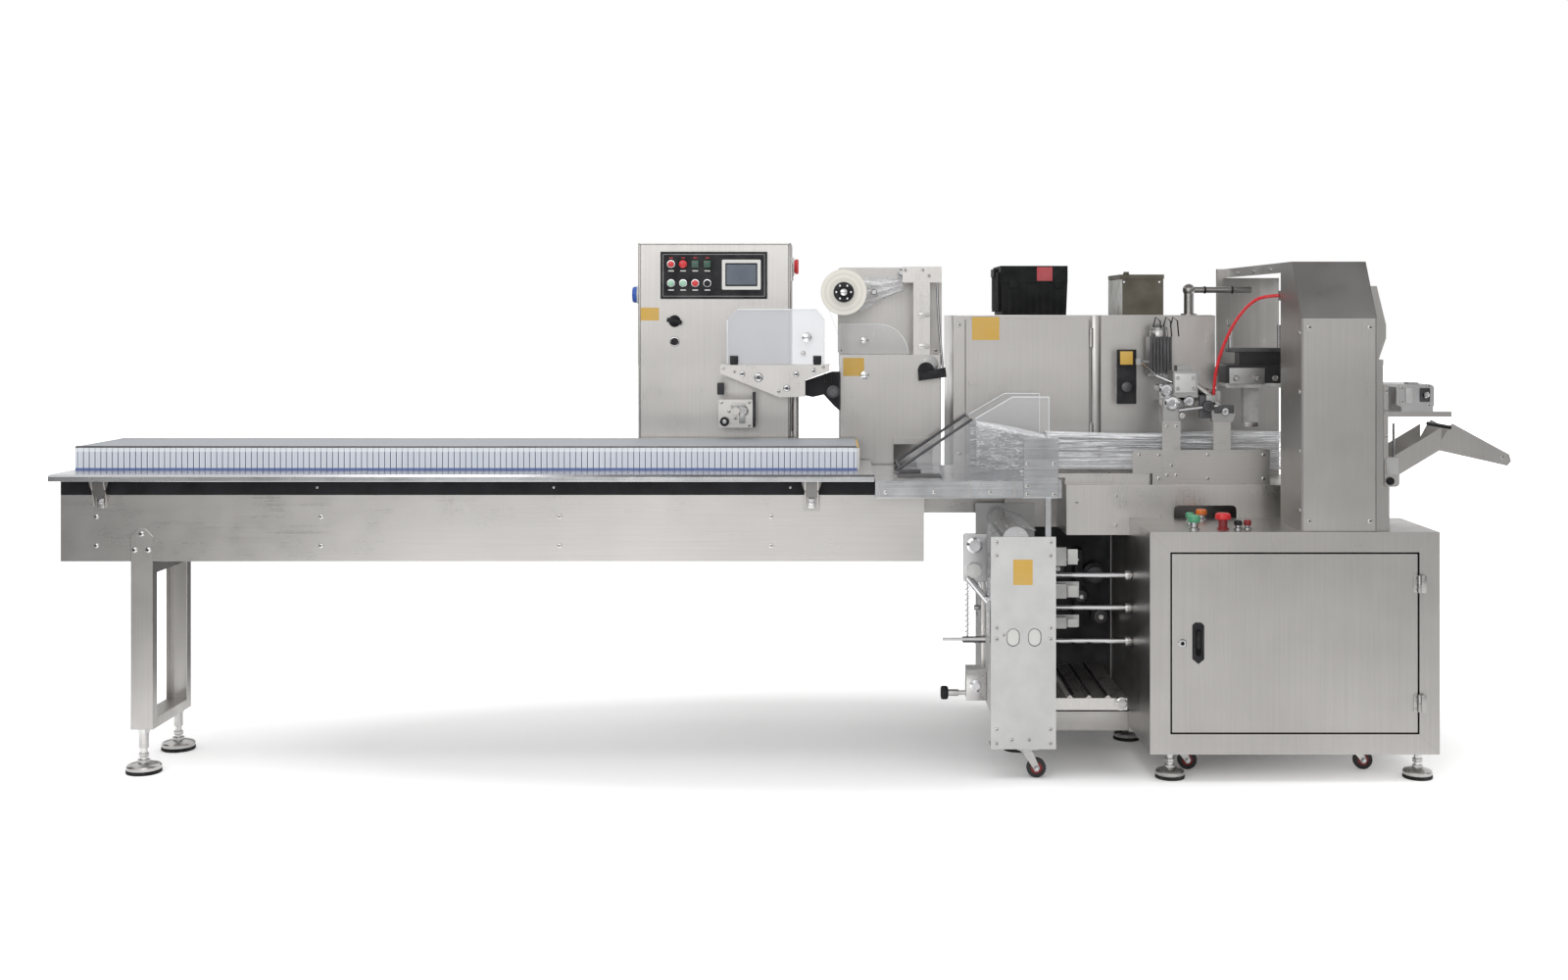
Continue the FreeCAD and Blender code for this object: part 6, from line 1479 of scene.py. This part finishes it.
class OBJECT_OT_wrapper_seals(bpy.types.Operator):
    """Build up the centre seal's mechanism and dress the end seal and the outfeed"""

    bl_idname = "object.wrapper_seals"
    bl_label = "Seals and outfeed"

    def execute(self, context):
        self.head()
        self.jaws()
        self.end_cover()
        self.outfeed()
        self.hose()
        return {"FINISHED"}

    def head(self):
        """Links, springs, knobs, bolts and cable clamps round the seal block."""
        a = low("seal_head")
        o = Vector((a.x, low("seal_cover").y - 0.008, 0))

        def at(x, y, z):
            return Vector((o.x + (x - HEAD_X_MM) * MM, o.y + y * MM, z * MM))

        kit = Kit()
        for k in range(7):
            x = 3254 + k * 10.6
            kit.box(at(x, 457, 1156), at(x + 5, 463, 1270), "cast_dark", 0.001)
        kit.box(at(3250, 474, 1146), at(3334, 534, 1152), "block_grey", 0.001)
        kit.lathe(((29, 0), (29, 10), (26, 26), (18, 36), (6, 40)), at(3289, 500, 1268), "plated", 30,
            axis=UP)
        kit.box(at(3160, 514, 1056), at(3222, 521, 1228), "black_plastic", 0.003)
        kit.box(at(3170, 511, 1180), at(3210, 515, 1222), "yellow", 0.001)
        kit.lathe(((16, 0), (16, 10), (11, 13)), at(3190, 515, 1110), "cast_dark", 26)
        for x, z, r, look in ((3282, 1108, 20, "chrome"), (3300, 1068, 23, "rod"),
                (3352, 1074, 16, "chrome"), (3410, 1058, 18, "cast_dark"), (3462, 1042, 13, "chrome"),
                (3330, 1030, 10, "plated")):
            kit.lathe(((r, 0), (r, 14), (r * 0.8, 18), (r * 0.5, 18.5), (r * 0.45, 13)), at(x, 352, z),
                look, 30)
        kit.tube([at(3300, 352, 1068), at(3300, 440, 1068)], 0.021, "rod", 24)
        kit.tube([at(3282, 356, 1110), at(3282, 470, 1110)], 0.012, "chrome", 20)
        kit.tube([at(3322, 345, 1046), at(3440, 345, 1060)], 0.006, "chrome")
        kit.tube([at(3340, 350, 1150), at(3412, 356, 1096), at(3460, 352, 1046)], 0.008, "plated")
        kit.tube([at(3232, 500, 1190), at(3262, 380, 1150), at(3304, 360, 1130)], 0.005, "chrome")
        kit.box(at(3308, 336, 1100), at(3372, 341, 1158), "panel_light", 0.003)
        kit.box(at(3262, 346, 1078), at(3306, 352, 1126), "block_grey", 0.003)
        kit.box(at(3386, 352, 1020), at(3426, 372, 1090), "cast_dark", 0.004)
        kit.box(at(3430, 344, 1036), at(3490, 352, 1062), "cast_dark", 0.003)
        kit.box(at(3404, 340, 1070), at(3438, 360, 1092), "block_grey", 0.003)
        for k in range(11):
            kit.lathe(((10.5, 0), (12.5, 1.5), (10.5, 3)), at(3372 + k * 4.4, 392, 1100), "cast_dark", 18,
                axis=RIGHT)
        for x, z in ((3316, 1145), (3364, 1145), (3316, 1112), (3364, 1112), (3270, 1086), (3298, 1118)):
            kit.lathe(((6, 0), (6, 4), (4.5, 5.5), (2, 5.5)), at(x, 338 if x > 3305 else 346, z), "plated",
                6)
        for k, x in enumerate((3268, 3300, 3322)):
            kit.tube([at(x, 480, 1300), at(x + 6, 470, 1330), at(x + 20, 470, 1318),
                at(x + 26, 480, 1270)], 0.0022, "black_plastic", 8)
        kit.piece("seal_head_parts")
        plates = low("seal_plates")
        points = places(plates + Vector((0, 0.004, 0)),
                        ((20, 92), (80, 92), (230, 92), (400, 92), (80, 20), (230, 20), (400, 20)))
        points += places(plates, ((104, 30), (132, 30), (118, 60), (104, 180), (132, 180)))
        deck_low = low("sealing_deck")
        points += [Vector((high("sealing_deck").x - dx * MM, low("cabinet_shell").y + 0.325,
            deck_low.z + dz * MM)) for dx, dz in ((700, 30), (700, 120), (560, 30), (820, 100), (30, 30),
            (30, 120))]
        screws("seal_screws", points, scale=0.8)

    def jaws(self):
        a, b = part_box("jaw_head")
        kit = Kit()
        kit.box((a.x + 0.012, a.y + 0.012, b.z - 0.010), (b.x - 0.002, a.y + 0.060, b.z + 0.004),
            "cast_dark", 0.003)
        kit.box((a.x + 0.010, a.y - 0.006, a.z + 0.132), (a.x + 0.120, a.y + 0.001, a.z + 0.182),
            "block_grey", 0.003)
        for dx in (30, 92, 150):
            kit.lathe(((9, 0), (9, 6), (6, 9)), (a.x + dx * MM, a.y - 0.004, a.z + 0.150), "plated", 24)
        kit.tube([(a.x + 0.020, a.y + 0.03, b.z - 0.004), (a.x + 0.020, a.y + 0.03, b.z + 0.055)], 0.006,
            "chrome")
        kit.tube([(b.x - 0.020, a.y + 0.03, b.z - 0.004), (b.x - 0.020, a.y + 0.03, b.z + 0.075)], 0.006,
            "chrome")
        kit.box((a.x + 0.066, a.y + 0.026, a.z - 0.002), (a.x + 0.106, a.y + 0.074, a.z + 0.012), "plated",
            0.003)
        kit.piece("jaw_parts")

    def end_cover(self):
        """Screws and seams of the end seal's covers and roof."""
        a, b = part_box("seal_cover")
        points, ways = [], []
        for dz in (60, 230, 400, 570):
            points.append((a.x - 0.003, a.y + 0.020, a.z + dz * MM))
            ways.append(LEFT)
        for dz in (30, 585):
            for x in (a.x + 0.018, b.x - 0.018):
                points.append((x, a.y, a.z + dz * MM))
                ways.append(FRONT)
        roof = high("seal_roof")
        for dy in (120, 330, 540):
            points.append((low("seal_roof").x + 0.025, b.y + dy * MM, roof.z - 0.016))
            ways.append(LEFT)
        screws("end_seal_screws", points, ways)
        kit = Kit()
        kit.box((a.x - 0.0005, a.y - 0.0002, a.z + 0.0), (a.x + 0.0006, a.y + 0.003, b.z - 0.166),
            "dark_joint_and_painted_shade", 0.0)
        kit.box((b.x - 0.0006, a.y - 0.0002, a.z + 0.0), (b.x + 0.0005, a.y + 0.003, b.z - 0.166),
            "dark_joint_and_painted_shade", 0.0)
        kit.box((a.x - 0.002, a.y + 0.001, a.z - 0.0005), (b.x + 0.002, a.y + 0.010, a.z + 0.003),
            "steel_dark", 0.0005)
        for z in (1.10, 1.30):
            kit.tube([(a.x - 0.020, b.y + 0.60, z), (a.x - 0.020, b.y + 0.62, z + 0.02)], 0.004, "plated")
        kit.piece("end_seal_seams")

    def outfeed(self):
        a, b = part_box("outfeed_head")
        frame_low, frame_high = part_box("outfeed_frame")
        kit = Kit()
        kit.box((a.x + 0.028, a.y - 0.004, a.z + 0.026), (a.x + 0.050, a.y + 0.002, a.z + 0.072),
            "panel_light", 0.002)
        kit.box((b.x - 0.045, a.y - 0.004, a.z + 0.030), (b.x - 0.014, a.y + 0.002, a.z + 0.072),
            "cast_dark", 0.002)
        kit.lathe(((10, 0), (10, 8), (7, 11)), (b.x - 0.029, a.y - 0.003, a.z + 0.052), "chrome", 26)
        kit.lathe(((12, 0), (12, 10), (9, 13)), (frame_low.x + 0.018, frame_low.y + 0.003,
            frame_low.z + 0.165), "black_plastic", 26)
        kit.box((frame_low.x + 0.006, frame_low.y - 0.002, frame_low.z + 0.185),
            (frame_low.x + 0.044, frame_low.y + 0.004, frame_low.z + 0.235), "panel_light", 0.003)
        kit.tube([(frame_low.x + 0.030, frame_low.y + 0.004, frame_high.z - 0.12),
            (frame_low.x + 0.030, frame_low.y + 0.004, frame_high.z - 0.26)], 0.004, "chrome")
        chute_low, chute_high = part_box("chute")
        kit.tube([(chute_low.x + 0.040, chute_low.y - 0.002, chute_high.z - 0.012),
            (chute_low.x + 0.040, chute_high.y + 0.002, chute_high.z - 0.012)], 0.006, "black_plastic")
        kit.lathe(((6, 0), (6, 4), (3, 5)), (chute_high.x - 0.030, chute_low.y, chute_low.z + 0.026),
            "plated", 20)
        kit.piece("outfeed_parts")
        points = places(frame_low + Vector((0, 0.004, 0)), ((7, 40), (7, 110), (7, 300), (7, 380),
            (7, 440)))
        points += places(a, ((16, 30), (16, 72), (98, 20), (98, 78)))
        screws("outfeed_screws", points, scale=0.8)
        guard = low("seal_sides")
        points = [(high("seal_cover").x + 0.003 + 0.019, guard.y + 0.03, guard.z + dz * MM)
            for dz in (60, 230, 400)]
        screws("guard_screws", points, [(1, 0, 0)] * 3, scale=0.8)

    def hose(self):
        """The red air hose, on the route of its packed tube."""
        route = (
            (3431.0, 365.0, 1065.0), (3433.0, 365.0, 1130.0), (3445.0, 358.0, 1200.0),
            (3468.0, 345.0, 1270.0),
            (3500.0, 325.0, 1335.0), (3538.0, 299.0, 1381.0), (3571.0, 270.0, 1394.0),
            (3605.0, 255.0, 1395.0),
        )
        origin = Vector((low("seal_sides").x - 3.605, low("seal_cover").y - 0.008, 0.0))
        curve = bpy.data.curves.new("air_hose_line", "CURVE")
        curve.dimensions = "3D"
        curve.bevel_depth = 0.005
        curve.bevel_resolution = 5
        curve.use_fill_caps = True
        curve.resolution_u = 16
        spline = curve.splines.new("NURBS")
        spline.points.add(len(route) - 1)
        for point, place in zip(spline.points, route):
            point.co = (*(origin + Vector(place) * MM), 1.0)
        spline.order_u = 3
        spline.use_endpoint_u = True
        curve.materials.append(MATERIALS["hose"])
        hose = bpy.data.objects.new("red_air_hose", curve)
        bpy.context.scene.collection.objects.link(hose)
        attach(hose, BASE)
        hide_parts("air_hose")


class OBJECT_OT_wrapper_casters(bpy.types.Operator):
    """Dress the casters and feet"""

    bl_idname = "object.wrapper_casters"
    bl_label = "Casters and feet"

    def execute(self, context):
        self.feet()
        for name in ("unit", "left", "right"):
            wheel_low, wheel_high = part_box(f"caster_wheel_{name}")
            hub = (wheel_low + wheel_high) / 2
            kit = Kit()
            for side in (-1, 1):
                y = hub.y + side * 0.0072
                kit.lathe(((16.5, 0), (16.5, 1.2), (13, 2), (9.5, 2)), (hub.x, y, hub.z), "dark_red", 30,
                    axis=(0, side, 0))
            kit.piece(f"caster_hub_{name}", f"wheel_{name}")
            fork_low, fork_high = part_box(f"caster_fork_{name}")
            kit = Kit()
            for side, y in ((-1, fork_low.y), (1, fork_high.y)):
                kit.lathe(((6.5, -2.5), (6.5, 0), (5.5, 0.8)), (hub.x, y, hub.z), "chrome", 6,
                    axis=(0, side, 0))
            kit.piece(f"caster_axle_{name}", f"fork_{name}")
        return {"FINISHED"}

    def feet(self):
        """Rubber rims, turned caps and lock nuts on the levelling feet."""
        bed_low, bed_high, legs = low("infeed_bed"), high("infeed_bed"), low("infeed_leg_frame")
        leg_x = (legs.x + high("infeed_leg_frame").x) / 2
        left, right = low("cabinet_frame").x, high("cabinet_frame").x
        door, depth = low("cabinet_door").y, high("main_base").y
        bay = low("bay_frame").x
        stands = [(leg_x, bed_low.y + 0.015, legs.z, 1.0), (leg_x, bed_high.y - 0.015, legs.z, 1.0)]
        stands += [(left + 0.068, door + 0.060, 0.081, 0.84), (right - 0.044, door + 0.060, 0.081, 0.84)]
        stands += [(left + 0.022, door + 0.520, 0.062, 0.84), (right - 0.060, door + 0.520, 0.062, 0.84),
                   (right - 0.060, depth - 0.060, 0.062, 0.84), (bay + 0.060, depth - 0.060, 0.062, 0.84)]
        rubber = ((46, 0.6), (50.5, 2), (50.5, 9.5), (48, 10.5))
        cap = ((48.5, 10), (49.5, 11.5), (49.5, 19.5), (46, 23.5), (30, 28.5), (17.5, 31), (17.5, 38),
            (10.5, 38.5))
        kit = Kit()
        for x, y, top, size in stands:
            kit.lathe([(r * size, z) for r, z in rubber], (x, y, 0), "rubber", 40, axis=UP)
            kit.lathe([(r * size, z) for r, z in cap], (x, y, 0), "plated", 40, axis=UP)
            kit.lathe(((13.5, 46), (15, 47.5), (15, 56), (13.5, 57.5)), (x, y, 0), "plated", 6, axis=UP)
            if top > 0.1:
                kit.lathe(((10.2, 72), (13.5, 73), (13.5, top / MM - 0.5)), (x, y, 0), "plated", 30,
                    axis=UP)
        kit.piece("foot_caps")


class OBJECT_OT_wrapper_stage(bpy.types.Operator):
    """Plain pale floor, soft studio light and the camera"""

    bl_idname = "object.wrapper_stage"
    bl_label = "Stage"

    def execute(self, context):
        mesh = bpy.data.meshes.new("floor")
        mesh.from_pydata([(-40, -40, 0), (40, -40, 0), (40, 40, 0), (-40, 40, 0)], [], [(0, 1, 2, 3)])
        floor = bpy.data.objects.new("floor", mesh)
        mesh.materials.append(self.floor_paint())
        bpy.context.scene.collection.objects.link(floor)
        self.world()
        self.lamps()
        self.camera()
        bpy.context.scene.view_settings.view_transform = "Standard"
        return {"FINISHED"}

    def floor_paint(self):
        """Pale paint that shows plain white away from the machine, to the lens, in metal and through glass."""
        look = Look("floor_paint", Roughness=0.85)
        look.bsdf.inputs["Specular IOR Level"].default_value = 0.2
        look.set("Base Color", look.mix(look.noise(0.6), (0.94, 0.94, 0.94), (0.96, 0.96, 0.96)))
        across = look.math("DIVIDE", look.axis(0), 2.5)
        along = look.math("DIVIDE", look.axis(1), 0.95)
        away = look.math("SQRT", look.math("ADD", look.math("MULTIPLY", across, across),
            look.math("MULTIPLY", along, along)))
        white = look.span(away, 0.55, 1.6, 0.06, 1.0)
        look.bsdf.inputs["Emission Color"].default_value = (1, 1, 1, 1)
        look.set("Emission Strength", look.math("MULTIPLY", white, self.seen(look.tree)))
        return look.done()

    def seen(self, tree):
        """1 for rays from the lens, from glossy surfaces and through clear ones."""
        rays = tree.nodes.new("ShaderNodeLightPath").outputs
        joined = rays["Is Camera Ray"]
        for name in ("Is Glossy Ray", "Is Transmission Ray"):
            larger = tree.nodes.new("ShaderNodeMath")
            larger.operation = "MAXIMUM"
            tree.links.new(joined, larger.inputs[0])
            tree.links.new(rays[name], larger.inputs[1])
            joined = larger.outputs[0]
        return joined

    def world(self):
        world = bpy.data.worlds.new("studio")
        bpy.context.scene.world = world
        world.use_nodes = True
        tree = world.node_tree
        tree.nodes.clear()
        strength = add_node(tree, "ShaderNodeMapRange", Value=self.seen(tree))
        strength.inputs["To Min"].default_value = 0.80
        strength.inputs["To Max"].default_value = 1.0
        sky = add_node(tree, "ShaderNodeBackground", Color=(1, 1, 1, 1), Strength=strength.outputs[0])
        out = tree.nodes.new("ShaderNodeOutputWorld")
        tree.links.new(sky.outputs[0], out.inputs["Surface"])

    def lamps(self):
        def lamp(name, size, power, place, aim):
            data = bpy.data.lights.new(name, "AREA")
            data.shape = "RECTANGLE"
            data.size, data.size_y = size
            data.energy = power
            made = bpy.data.objects.new(name, data)
            made.location = place
            made.rotation_euler = (Vector(aim) - Vector(place)).to_track_quat("-Z", "Y").to_euler()
            bpy.context.scene.collection.objects.link(made)

        lamp("overhead", (5.0, 3.0), 75.0, (0.3, -0.6, 4.2), (0.3, 0.0, 0.0))
        lamp("front", (4.0, 2.2), 50.0, (-1.6, -4.8, 2.9), (-0.4, 0.0, 0.7))
        self.card("left_card", (-3.9, -1.2, 1.2), (0.0, 4.6, 2.8), 0.035)
        self.card("low_card", (0.0, -6.4, 0.25), (8.4, 0.0, 1.3), 0.32)
        self.card("right_card", (4.2, -1.6, 1.2), (0.0, 3.6, 2.6), 0.20)
        self.card("front_left_card", (-6.6, -6.4, 1.3), (4.4, 0.0, 2.8), 0.10)
        self.card("front_right_card", (6.6, -6.4, 1.3), (4.4, 0.0, 2.8), 0.12)
        self.card("back_card", (-0.6, 2.4, 0.48), (6.0, 0.0, 0.95), 0.16)
        self.card("tall_card", (0.80, 2.42, 1.0), (0.95, 0.0, 1.9), 0.08)
        self.card("back_floor_card", (0.2, 1.55, 0.004), (4.0, 1.7, 0.0), 0.20)
        self.card("left_floor_card", (-4.65, -3.6, 0.004), (4.7, 5.6, 0.0), 0.42)
        self.card("right_floor_card", (3.2, -3.5, 0.004), (5.5, 5.6, 0.0), 0.86)
        self.card("top_card", (1.2, -0.2, 3.0), (4.6, 3.2, 0.0), 0.16)

    def card(self, name, middle, size, tone):
        """A grey card that only shows in reflections."""
        x, y, z = (s / 2 for s in size)
        if x == 0:
            corners = [(0, -y, -z), (0, y, -z), (0, y, z), (0, -y, z)]
        elif z == 0:
            corners = [(-x, -y, 0), (x, -y, 0), (x, y, 0), (-x, y, 0)]
        else:
            corners = [(-x, 0, -z), (x, 0, -z), (x, 0, z), (-x, 0, z)]
        mesh = bpy.data.meshes.new(name)
        mesh.from_pydata(corners, [], [(0, 1, 2, 3)])
        look = Look(name + "_paint", Roughness=0.9)
        look.set("Base Color", look.mix(look.noise(1.0), (tone, tone, tone),
            (tone * 1.1, tone * 1.1, tone * 1.1)))
        mesh.materials.append(look.done())
        made = bpy.data.objects.new(name, mesh)
        made.location = middle
        bpy.context.scene.collection.objects.link(made)
        made.visible_camera = False
        made.visible_diffuse = False
        made.visible_shadow = False
        made.visible_transmission = False

    def camera(self):
        data = bpy.data.cameras.new("camera")
        data.sensor_width = 36.0
        data.lens = 40.18
        data.shift_x = -0.0281
        data.shift_y = -0.1125
        camera = bpy.data.objects.new("camera", data)
        left, front = low("infeed_table").x, low("cabinet_door").y
        camera.location = (left + 2.25, front - 5.0, 1.341)
        camera.rotation_euler = (math.radians(90), 0, 0)
        bpy.context.scene.collection.objects.link(camera)
        bpy.context.scene.camera = camera


class VIEW3D_PT_flow_wrapper(bpy.types.Panel):
    """The machine's shared sizes and its operators"""

    bl_label = "Flow wrapper"
    bl_idname = "VIEW3D_PT_flow_wrapper"
    bl_space_type = "VIEW_3D"
    bl_region_type = "UI"
    bl_category = "Flow wrapper"

    def draw(self, context):
        for name in WrapperSettings.__annotations__:
            self.layout.prop(context.scene.flow_wrapper, name)
        for operator in OPERATORS:
            self.layout.operator(operator.bl_idname)


OPERATORS = (
    OBJECT_OT_wrapper_materials, OBJECT_OT_wrapper_infeed, OBJECT_OT_wrapper_controls,
    OBJECT_OT_wrapper_guides,
    OBJECT_OT_wrapper_forming, OBJECT_OT_wrapper_lower_unit, OBJECT_OT_wrapper_cabinet,
    OBJECT_OT_wrapper_housing,
    OBJECT_OT_wrapper_seals, OBJECT_OT_wrapper_casters, OBJECT_OT_wrapper_stage,
)
CLASSES = (WrapperSettings, *OPERATORS, VIEW3D_PT_flow_wrapper)


def register():
    for cls in CLASSES:
        bpy.utils.register_class(cls)
    bpy.types.Scene.flow_wrapper = bpy.props.PointerProperty(type=WrapperSettings)


def unregister():
    del bpy.types.Scene.flow_wrapper
    for cls in reversed(CLASSES):
        bpy.utils.unregister_class(cls)


def main():
    register()
    for operator in OPERATORS:
        group, name = operator.bl_idname.split(".")
        getattr(getattr(bpy.ops, group), name)()


if __name__ == "__main__":
    main()
